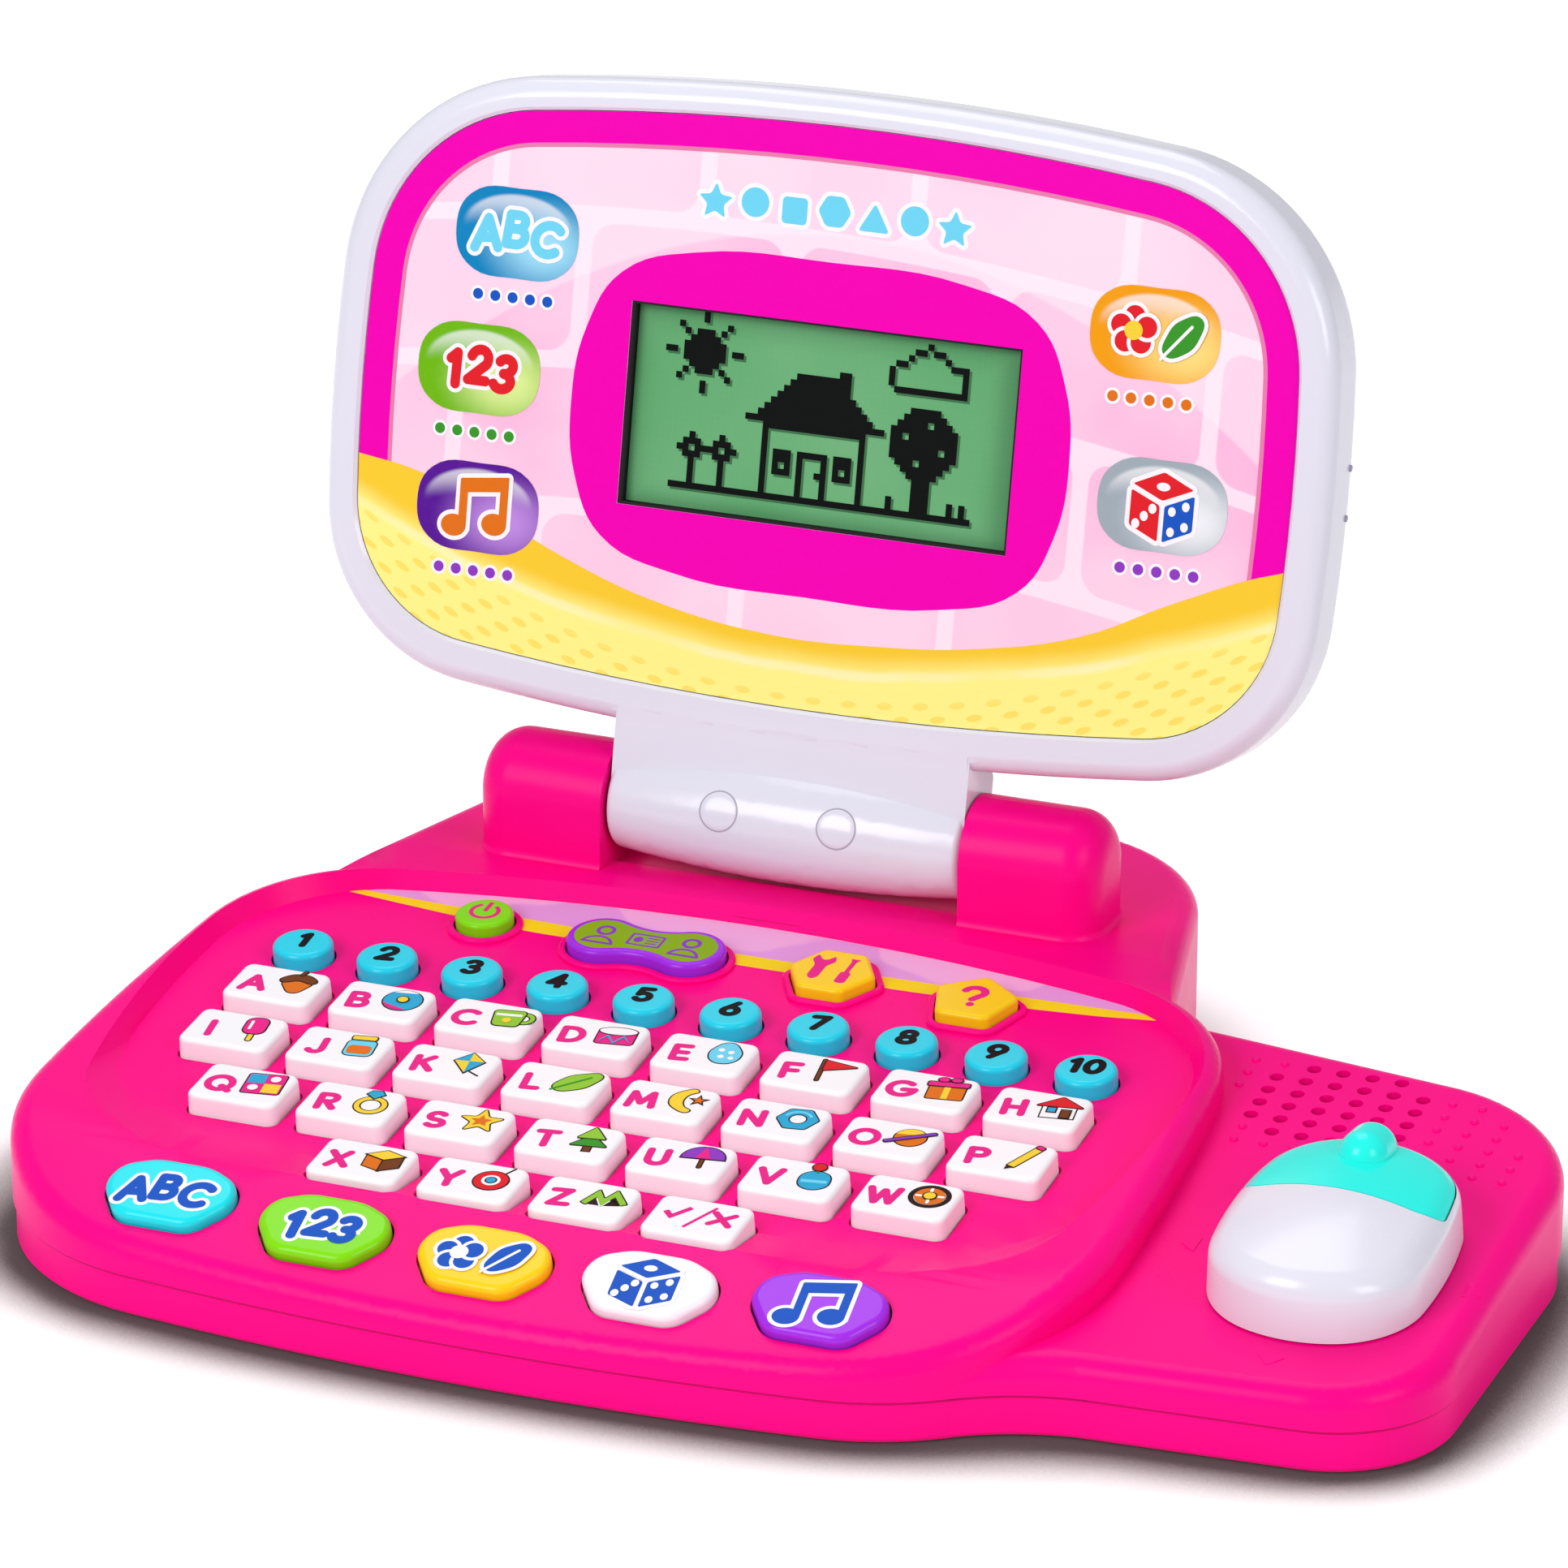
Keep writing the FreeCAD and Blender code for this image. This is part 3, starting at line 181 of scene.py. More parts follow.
class Graph:
    """Node tree of one material or of the world."""

    def __init__(self, owner: "Material | bpy.types.World") -> None:
        """Start an empty tree.

        Args:
            owner: The material or world that the tree belongs to.
        """
        owner.use_nodes = True
        self.tree = owner.node_tree
        self.tree.nodes.clear()

    def node(self, kind: str, settings: dict[str, Any] | None = None,
             inputs: dict[str | int, Any] | None = None) -> bpy.types.Node:
        """Add one node.

        Args:
            kind: Type of the node.
            settings: Options that are set before the sockets.
            inputs: Values or links of its sockets.

        Returns:
            The node.
        """
        made = self.tree.nodes.new(kind)
        for option, value in (settings or {}).items():
            setattr(made, option, value)
        for key, value in (inputs or {}).items():
            if isinstance(value, Value):
                self.tree.links.new(value.socket, made.inputs[key])
            else:
                made.inputs[key].default_value = value
        return made

    def math(self, operation: str, *values: "Value | float") -> Value:
        """Math node on values."""
        made = self.node("ShaderNodeMath", {"operation": operation}, dict(enumerate(values)))
        return Value(self, made.outputs[0])

    def most(self, first: "Value | float", second: "Value | float") -> Value:
        """Larger of two values."""
        return self.math("MAXIMUM", first, second)

    def reach(self, across: Value, along: Value) -> Value:
        """Length of a step across and along."""
        return self.math("SQRT", across * across + along * along)

    def mix(self, share: "Value | float", first: "Value | Colour", second: "Value | Colour") -> Value:
        """Mix two colours.

        Args:
            share: How much of the second colour shows.
            first: Colour at share 0.
            second: Colour at share 1.

        Returns:
            The mixed colour.
        """
        ends = [item if isinstance(item, Value) else (*item, 1.0) for item in (first, second)]
        made = self.node("ShaderNodeMix", {"data_type": "RGBA"}, {0: share, 6: ends[0], 7: ends[1]})
        return Value(self, made.outputs[2])

    def place(self, seat: "Seat | None" = None) -> Value:
        """Object coordinates, seen from a leaning frame if one is given.

        Args:
            seat: The frame, or None for the row frame.

        Returns:
            The coordinates in metres.
        """
        source = Value(self, self.node("ShaderNodeTexCoord").outputs["Object"])
        if seat is None:
            return source
        moved = self.node("ShaderNodeMapping", {"vector_type": "TEXTURE"}, {
            "Vector": source,
            "Location": [part * MM for part in seat.origin],
            "Rotation": (math.radians(seat.lean), 0, 0)})
        return Value(self, moved.outputs["Vector"])

    def parts(self, vector: Value) -> tuple[Value, ...]:
        """Split coordinates into x, y and z in millimetres."""
        made = self.node("ShaderNodeSeparateXYZ", None, {0: vector})
        return tuple(Value(self, output) * (1.0 / MM) for output in made.outputs)

    def noise(self, vector: Value, scale: float, detail: float = 2.0, rough: float = 0.5) -> Value:
        """Noise from 0 to 1.

        Args:
            vector: Where it is read.
            scale: Features per metre.
            detail: Octaves.
            rough: Strength of the finer octaves.

        Returns:
            The noise.
        """
        made = self.node("ShaderNodeTexNoise", None, {
            "Vector": vector, "Scale": scale, "Detail": detail, "Roughness": rough})
        return Value(self, made.outputs[0])

    def bump(self, height: Value, strength: float, distance: float) -> Value:
        """Normal of a relief.

        Args:
            height: Relief from 0 to 1.
            strength: How strongly it shows.
            distance: Its depth in millimetres.

        Returns:
            The normal.
        """
        made = self.node("ShaderNodeBump", None, {
            "Height": height, "Strength": strength, "Distance": distance * MM})
        return Value(self, made.outputs[0])

    def shader(self, inputs: dict[str | int, Any]) -> Value:
        """Principled surface with the given values or links, and a weak mirror unless they say otherwise."""
        made = self.node("ShaderNodeBsdfPrincipled", None, {"Specular IOR Level": WEAK_MIRROR} | inputs)
        return Value(self, made.outputs[0])

    def close(self, shader: Value, kind: str = "ShaderNodeOutputMaterial") -> None:
        """Join a shader to the tree's output."""
        self.node(kind, None, {0: shader})


@dataclass(frozen=True)
class Seat:
    """A frame that leans back about X, such as the deck, the apron or the lid."""

    origin: Spot
    lean: float

    def matrix(self, x: float = 0.0, y: float = 0.0, z: float = 0.0) -> Matrix:
        """Place of a point of this frame.

        Args:
            x: Millimetres to the right.
            y: Millimetres up the surface.
            z: Millimetres out of the surface.

        Returns:
            The matrix from millimetres about that point into the row frame, in metres.
        """
        base = Matrix.Translation(Vector(self.origin) * MM)
        lean = Matrix.Rotation(math.radians(self.lean), 4, "X")
        return base @ lean @ Matrix.Translation(Vector((x, y, z)) * MM) @ Matrix.Scale(MM, 4)


DECK = Seat((0.0, 0.0, 28.6), 6.0)
LID = Seat((0.0, 79.5, 52.0), 77.8)
PLATFORM = Seat((154.8, -25.0, 21.68), 6.0)
ROW = Seat((0.0, 0.0, 0.0), 0.0)


@dataclass(frozen=True)
class Finish:
    """A named surface, whose material is made once."""

    name: str

    def paint(self, graph: Graph) -> Value:
        """Shader of this finish."""
        raise NotImplementedError

    def material(self) -> Material:
        """Material of this finish, made at its first use.

        Returns:
            The material, the same one at each call.
        """
        title = self.name + "_finish"
        found = bpy.data.materials.get(title)
        if found is None:
            found = bpy.data.materials.new(title)
            graph = Graph(found)
            graph.close(self.paint(graph))
        return found


@dataclass(frozen=True)
class Plastic(Finish):
    """Moulded plastic with a faint drift of tone, fine scuffs and a fine moulded skin."""

    colour: Colour
    roughness: float = 0.30
    drift: float = 0.05
    skin: float = 0.05
    coat: float = 0.0
    metal: float = 0.0
    mirror: float = WEAK_MIRROR

    # Features per metre of each noise, and how far it moves the roughness
    DRIFT_SCALE, SCUFF_SCALE, PEEL_SCALE, GRIT_SCALE = 11.0, 70.0, 640.0, 2600.0
    SCUFF_GAIN, GRIT_GAIN = 0.12, 0.05
    PEEL_SHARE, GRIT_SHARE, SKIN_DEPTH = 0.7, 0.3, 0.15
    COAT_ROUGHNESS = 0.08

    def paint(self, graph: Graph) -> Value:
        """Shader of this plastic.

        Args:
            graph: Node tree of the material.

        Returns:
            The shader.
        """
        place = graph.place()
        scuffs = graph.noise(place, self.SCUFF_SCALE, 6.0, 0.65)
        peel = graph.noise(place, self.PEEL_SCALE)
        grit = graph.noise(place, self.GRIT_SCALE, 1.0)
        relief = peel * self.PEEL_SHARE + grit * self.GRIT_SHARE
        return graph.shader({
            "Base Color": self.tone(graph, place),
            "Roughness": scuffs.about(self.roughness, self.SCUFF_GAIN) + (grit - 0.5) * self.GRIT_GAIN,
            "Normal": graph.bump(relief, self.skin, self.SKIN_DEPTH),
            "Coat Weight": self.coat,
            "Coat Roughness": self.COAT_ROUGHNESS,
            "Metallic": self.metal,
            "Specular IOR Level": self.mirror,
        })

    def tone(self, graph: Graph, place: Value) -> Value:
        """Base colour with its drift, at a place in object coordinates."""
        drift = graph.noise(place, self.DRIFT_SCALE, 3.0).step(0.3, 0.7)
        return graph.mix(drift, blended(self.colour, BLACK, self.drift), self.colour)


@dataclass(frozen=True)
class SeamShaded(Plastic):
    """Moulded plastic with painted shade in a dark line along a seam at one height."""

    # Height of the seam, then the half width, fade and darkness of the painted shade along it
    seam: float = 8.7
    half: float = 0.4
    fade: float = 0.15
    dark: float = 0.38

    def tone(self, graph: Graph, place: Value) -> Value:
        """Base colour with its drift and the painted shade along the seam, at a place in object coordinates.
        """
        near = (abs(graph.parts(place)[2] - self.seam) - self.half).step(self.fade, 0.0)
        return graph.mix(near, super().tone(graph, place), blended(self.colour, BLACK, self.dark))


@dataclass(frozen=True)
class Ink(Finish):
    """Printed ink: an even colour with a fine screen of dots and a soft sheen."""

    colour: Colour
    roughness: float = 0.35
    screen: float = 0.06

    def paint(self, graph: Graph) -> Value:
        """Shader of this ink.

        Args:
            graph: Node tree of the material.

        Returns:
            The shader.
        """
        place = graph.place()
        mottle = graph.noise(place, GRAIN_SCALE)
        drift = graph.noise(place, 60.0)
        deep = blended(self.colour, BLACK, self.screen)
        return graph.shader({
            "Base Color": graph.mix(mottle * 0.5 + drift * 0.5, deep, self.colour),
            "Roughness": mottle.about(self.roughness, 0.1),
            "Normal": graph.bump(mottle, 0.04, 0.05),
        })


@dataclass(frozen=True)
class Tiles(Finish):
    """Printed panel ground: pink tiles in bond, with pale joints and a pale arch along the top."""

    tile: Colour
    joint: Colour
    wide: float = 47.0
    high: float = 31.0
    gap: float = 3.6
    corner: float = 5.0
    soft: float = 0.25

    # How the courses bend and lean, how far each is shifted, and a count that keeps them above 0
    BEND, LEAN, BOND, START, COURSES = 0.0009, 0.04, 0.43, 9.0, 40.0
    # Height, bend and lean of the pale arch, then height and bend of the pale ground below
    ARCH, ARCH_BEND, ARCH_LEAN = 125.0, 0.0042, 0.03
    LOW, LOW_BEND = 62.0, 0.0012
    ARCH_SHARE, LOW_SHARE = 0.42, 0.30

    def paint(self, graph: Graph) -> Value:
        """Shader of the tiled ground, in the frame of the lid.

        Args:
            graph: Node tree of the material.

        Returns:
            The shader.
        """
        place = graph.place(LID)
        x, y, _ = graph.parts(place)
        ground = graph.mix(self.inside(graph, x, y), self.joint, self.fired(graph, place))
        arch = (y - self.ARCH + x * x * self.ARCH_BEND - x * self.ARCH_LEAN).step(-0.6, 0.6)
        lower = (y - self.LOW + x * x * self.LOW_BEND).step(26.0, -8.0)
        wash = arch * self.ARCH_SHARE + lower * self.LOW_SHARE
        grain = graph.noise(place, GRAIN_SCALE)
        return graph.shader(PRINT_COAT | {
            "Base Color": graph.mix(wash, ground, blended(self.joint, WHITE, 0.5)),
            "Roughness": grain.about(0.24, GRAIN_GAIN),
            "Normal": graph.bump(grain, 0.03, 0.04),
        })

    def inside(self, graph: Graph, x: Value, y: Value) -> Value:
        """Mask of the tiles, 0 in the joints between them.

        Args:
            graph: Node tree of the material.
            x: Place from side to side.
            y: Place up the lid.

        Returns:
            The mask.
        """
        sag = y + x * x * self.BEND + x * self.LEAN
        course = (sag / self.high + self.COURSES).floor()
        across = (x + course * (self.wide * self.BOND) + self.START).repeat(self.wide)
        along = sag + self.COURSES * self.high - (course + 0.5) * self.high
        left = graph.most(abs(across) - (self.wide / 2 - self.gap / 2 - self.corner), 0.0)
        up = graph.most(abs(along) - (self.high / 2 - self.gap / 2 - self.corner), 0.0)
        return (graph.reach(left, up) - self.corner).step(self.soft, -self.soft)

    def fired(self, graph: Graph, place: Value) -> Value:
        """Uneven colour of the tiles themselves."""
        shade = graph.noise(place, 26.0).step(0.35, 0.65)
        return graph.mix(shade, self.tile, blended(self.tile, WHITE, 0.22))


@dataclass(frozen=True)
class Sand(Finish):
    """Printed yellow band: golden along its crest, then a light streak, then paler with rows of spots."""

    colour: Colour
    pale: Colour
    spot: Colour
    row: float = 2.9
    pitch: float = 8.0
    half_wide: float = 2.1
    half_high: float = 0.95

    # How the rows and the crest bend, a count that keeps the rows above 0, and the two heights
    ROW_BEND, CREST_BEND, ROWS, SPOTS_TOP, CREST = 0.0026, 0.0021, 40.0, 29.0, 36.6

    def paint(self, graph: Graph) -> Value:
        """Shader of the yellow band, in the frame of the lid.

        Args:
            graph: Node tree of the material.

        Returns:
            The shader.
        """
        place = graph.place(LID)
        x, y, _ = graph.parts(place)
        streak = graph.noise(place, 34.0, 3.0)
        flow = y - x * x * self.CREST_BEND - self.CREST + (streak - 0.5) * 3.0
        glint = (abs(flow + 2.4) - 0.3).step(1.3, 0.0) * (streak.step(0.35, 0.6) * 0.35 + 0.1)
        ground = graph.mix(flow.step(-3.5, 3.0), self.pale, self.colour)
        lit = graph.mix(glint, ground, blended(self.pale, WHITE, 0.6))
        grain = graph.noise(place, GRAIN_SCALE)
        return graph.shader(PRINT_COAT | {
            "Base Color": graph.mix(self.spots(graph, x, y), lit, self.spot),
            "Roughness": grain.about(0.26, GRAIN_GAIN),
        })

    def spots(self, graph: Graph, x: Value, y: Value) -> Value:
        """Mask of the rows of spots, every other row shifted by half a pitch.

        Args:
            graph: Node tree of the material.
            x: Place from side to side.
            y: Place up the lid.

        Returns:
            The mask.
        """
        depth = y - x * x * self.ROW_BEND
        row = (depth / self.row + self.ROWS).floor()
        across = (x + (row * 0.5 - (row * 0.5).floor()) * self.pitch).repeat(self.pitch)
        along = depth + self.ROWS * self.row - (row + 0.5) * self.row
        spots = (graph.reach(across / self.half_wide, along / self.half_high) - 0.8).step(0.12, -0.12)
        return spots * (depth - self.SPOTS_TOP).step(2.0, -3.0) * 0.7


@dataclass(frozen=True)
class Gloss(Finish):
    """Printed badge, deep at its rim and pale at one side, with a light upper edge, as if it were a dome."""

    deep: Colour
    pale: Colour
    x: float
    y: float

    def paint(self, graph: Graph) -> Value:
        """Shader of the badge, in the frame of the lid.

        Args:
            graph: Node tree of the material.

        Returns:
            The shader.
        """
        place = graph.place(LID)
        x, y, _ = graph.parts(place)
        across, along = (x - self.x) / BADGE_HALF[0], (y - self.y) / BADGE_HALF[1]
        lit = graph.reach(across - 0.45, along + 0.25).step(1.25, 0.1)
        grain = graph.noise(place, 700.0)
        ground = graph.mix(lit + (grain - 0.5) * 0.06, self.deep, self.pale)
        window = (graph.reach(across * 0.92, along * 1.05 - 0.1) - 0.8).step(0.05, -0.05)
        shine = window * (along - 0.3 + across * across * 0.25).step(-0.1, 0.5) * 0.55
        return graph.shader(PRINT_COAT | {
            "Base Color": graph.mix(shine, ground, WHITE),
            "Roughness": grain.about(0.25, GRAIN_GAIN),
        })


@dataclass(frozen=True)
class Haze(Finish):
    """Printed lavender strip with soft pink patches."""

    colour: Colour
    patch: Colour

    def paint(self, graph: Graph) -> Value:
        """Shader of the strip, in the frame of the deck.

        Args:
            graph: Node tree of the material.

        Returns:
            The shader.
        """
        place = graph.place(DECK)
        x, y, _ = graph.parts(place)
        drift = graph.noise(place, 42.0, 1.0)
        patch = ((x * 0.11 + drift * 5.0).wave() + (y - 54.0) * 0.14).step(0.15, 0.45)
        return graph.shader({
            "Base Color": graph.mix(patch * 0.75, self.colour, self.patch),
            "Roughness": graph.noise(place, GRAIN_SCALE).about(0.3, 0.1),
        })


@dataclass(frozen=True)
class Crystal(Finish):
    """Grey-green display glass with its faint grid of cells, and painted shade towards its rim."""

    colour: Colour
    # Middle, half size and width of the painted shade towards the glass's rim
    painted_shade_middle: Point = (-1.5, 84.0)
    painted_shade_half: Point = (36.0, 14.5)
    painted_shade_wide: float = 9.0

    def paint(self, graph: Graph) -> Value:
        """Shader of the display, in the frame of the lid.

        Args:
            graph: Node tree of the material.

        Returns:
            The shader.
        """
        place = graph.place(LID)
        x, y, _ = graph.parts(place)
        lines = graph.most(abs((x + PIXEL / 2).repeat(PIXEL)), abs((y - WINDOW_MIDDLE).repeat(PIXEL)))
        grid = lines.step(PIXEL * 0.44, PIXEL * 0.5)
        # Painted shade of the window's walls, growing towards the rim of the glass
        sides = zip((x, y), self.painted_shade_middle, self.painted_shade_half)
        past = (abs(value - middle) - half for value, middle, half in sides)
        rim = graph.most(*past).step(0.0, self.painted_shade_wide)
        drift = graph.noise(place, 18.0)
        dim, lit = blended(self.colour, BLACK, 0.05), blended(self.colour, WHITE, 0.05)
        glass = graph.mix(drift.step(0.3, 0.7), dim, lit)
        shaded = graph.mix(rim * 0.30, glass, blended(self.colour, BLACK, 0.7))
        return graph.shader(PRINT_COAT | {
            "Base Color": graph.mix(grid * 0.05, shaded, blended(self.colour, WHITE, 0.3)),
            "Roughness": drift.about(0.22, 0.06),
            "Coat Roughness": 0.05,
        })


@dataclass(frozen=True)
class Resist(Finish):
    """Circuit board lacquer with copper tracks under it."""

    colour: Colour
    track: Colour
    lane: float = 4.0
    post: float = 12.0

    def paint(self, graph: Graph) -> Value:
        """Shader of the board, in the frame of the deck.

        Args:
            graph: Node tree of the material.

        Returns:
            The shader.
        """
        place = graph.place(DECK)
        x, y, _ = graph.parts(place)
        jog = graph.noise(place, 30.0, 1.0)
        lanes = abs((y + (jog * 6.0).floor() * 2.0).repeat(self.lane)).step(0.75, 0.55)
        posts = abs((x + (jog * 5.0).floor() * 3.0).repeat(self.post)).step(0.75, 0.55)
        copper = graph.most(lanes * jog.step(0.42, 0.46), posts * jog.step(0.58, 0.54))
        return graph.shader({
            "Base Color": graph.mix(copper, self.colour, self.track),
            "Roughness": jog.about(0.38, 0.1),
            "Normal": graph.bump(copper, 0.2, 0.05),
        })


@dataclass(frozen=True)
class Wrap(Finish):
    """Printed foil wrap of a cell, with a band at its button end."""

    body: Colour
    band: Colour
    band_start: float = 9.0

    def paint(self, graph: Graph) -> Value:
        """Shader of the wrap, banded along the cell.

        Args:
            graph: Node tree of the material.

        Returns:
            The shader.
        """
        place = graph.place()
        x, _, _ = graph.parts(place)
        scuff = graph.noise(place, 220.0, 4.0)
        edge = (x - self.band_start + (scuff - 0.5) * 0.2).step(-0.2, 0.2)
        return graph.shader({
            "Base Color": graph.mix(edge, self.body, self.band),
            "Roughness": scuff.about(0.3, 0.2),
            "Metallic": 0.6,
        })


def coloured(name: str, red: int, green: int, blue: int) -> Plastic:
    """Glossy plastic of a coloured button."""
    return Plastic("button_" + name, screen_colour(red, green, blue), 0.22, 0.04, 0.04, mirror=0.2)


def printed(name: str, red: int, green: int, blue: int, roughness: float = 0.35) -> Ink:
    """Ink of one colour."""
    return Ink("ink_" + name, screen_colour(red, green, blue), roughness)


HOUSING = screen_colour(255, 3, 138)
PINK = Plastic("housing_pink", HOUSING, 0.30, 0.04, mirror=0.07)
# Pink of the bottom cover, with painted shade along its seam with the top cover
SEAM_SHADED_PINK = SeamShaded("seam_shaded_pink", HOUSING, 0.30, 0.04, mirror=0.07)
LID_WHITE = Plastic("lid_white", screen_colour(227, 226, 240), 0.20, 0.02, 0.03, 0.1, mirror=0.4)
KEY_WHITE = Plastic("key_white", screen_colour(249, 248, 253), 0.30, 0.02, 0.04, mirror=0.25)
KEY_BLUE = Plastic("key_blue", screen_colour(34, 214, 240), 0.24, 0.04, 0.04, mirror=0.25)
BUTTON_CYAN = coloured("cyan", 28, 228, 238)
BUTTON_GREEN = coloured("green", 132, 226, 6)
BUTTON_ORANGE = coloured("orange", 255, 210, 16)
BUTTON_PURPLE = coloured("purple", 164, 44, 232)
BUTTON_WHITE = Plastic("button_white", screen_colour(246, 244, 251), 0.24, 0.02, 0.04, mirror=0.25)
MOUSE_WHITE = Plastic("mouse_white", screen_colour(228, 226, 240), 0.25, 0.02, 0.03, 0.10, mirror=0.45)
MOUSE_TURQUOISE = Plastic("mouse_turquoise", screen_colour(34, 246, 234), 0.2, 0.03, 0.03, 0.05, mirror=0.25)
INNER_GREY = Plastic("inner_grey", screen_colour(205, 205, 208), 0.5, 0.08, 0.08)
RUBBER_GREY = Plastic("membrane_grey", screen_colour(188, 188, 192), 0.7, 0.08, 0.12)
# Dark grey sheet of painted shade on the walls of the display window
WINDOW_SHADE = Plastic("window_shade_dark", screen_colour(44, 40, 44), 0.6, 0.1, 0.1)
# Grey of painted shade in grooves and recesses: round the barrel plugs and in the lid's side marks
RECESS_SHADE = Plastic("recess_shade_grey", screen_colour(176, 168, 186), 0.5)
SPEAKER_BLACK = Plastic("speaker_black", screen_colour(28, 28, 30), 0.55, 0.1, 0.1)
STEEL = Plastic("screw_steel", screen_colour(168, 168, 172), 0.32, 0.1, 0.06, metal=1.0)
BOARD = Resist("board_green", screen_colour(24, 92, 50), screen_colour(70, 132, 70))
CELLS = Wrap("cell_wrap", screen_colour(40, 40, 46), screen_colour(196, 150, 70))

PANEL_GROUND = Tiles("panel_tiles", screen_colour(253, 186, 222), screen_colour(255, 226, 242))
PANEL_BAND = Sand("panel_band", screen_colour(246, 205, 52), screen_colour(253, 245, 140),
                  screen_colour(247, 220, 84))
DISPLAY = Crystal("display_green", screen_colour(98, 174, 114))
STRIP = Haze("strip_lavender", screen_colour(226, 158, 226), screen_colour(246, 184, 230))
STRIP_YELLOW = Ink("strip_yellow", screen_colour(250, 218, 28))
PIXEL_BLACK = Ink("pixel_black", screen_colour(14, 16, 16), 0.3)
PIXEL_SHADE = Ink("pixel_shade", screen_colour(66, 118, 78), 0.3)

INK_MAGENTA = printed("magenta", 244, 0, 182, 0.24)
INK_ROSE = printed("rose", 232, 128, 176, 0.26)
INK_WHITE = printed("white", 250, 248, 252)
INK_DARK = printed("dark", 40, 26, 22)
INK_BLACK = printed("black", 14, 14, 18)
INK_PINK = printed("pink", 236, 38, 140)
INK_ORANGE = printed("orange", 226, 116, 28)
INK_BLUE = printed("blue", 46, 170, 216)
INK_NAVY = printed("navy", 28, 88, 196)
INK_GREEN = printed("green", 146, 202, 58)
INK_LEAF = printed("leaf", 58, 152, 44)
INK_YELLOW = printed("yellow", 250, 212, 60)
INK_BROWN = printed("brown", 116, 62, 28)
INK_VIOLET = printed("violet", 142, 62, 196)
INK_RED = printed("red", 226, 34, 44)
INK_SKY = printed("sky", 112, 214, 244)
INK_LIME = printed("lime", 138, 176, 18)


# Degrees of an arc between two knots of an outline, and between two points of a letter's stroke
ARC_STEP = 60.0
BOW_STEP = 15.0


def around(x: float, y: float, radius: float, start: float, end: float) -> list[Knot]:
    """Knots along an arc.

    Args:
        x: Middle of the arc, in millimetres to the right.
        y: The same, upwards.
        radius: Its radius.
        start: First angle in degrees.
        end: Last angle in degrees.

    Returns:
        The knots, with the handles that a circle needs.
    """
    count = max(1, math.ceil(abs(end - start) / ARC_STEP))
    sweep = math.radians(end - start) / count
    pull = radius * 4.0 / 3.0 * math.tan(sweep / 4.0)
    knots = []
    for index in range(count + 1):
        angle = math.radians(start) + sweep * index
        cos, sin = math.cos(angle), math.sin(angle)
        px, py = x + radius * cos, y + radius * sin
        back = (px + pull * sin, py - pull * cos) if index > 0 else (px, py)
        ahead = (px - pull * sin, py + pull * cos) if index < count else (px, py)
        knots.append((back, (px, py), ahead))
    return knots


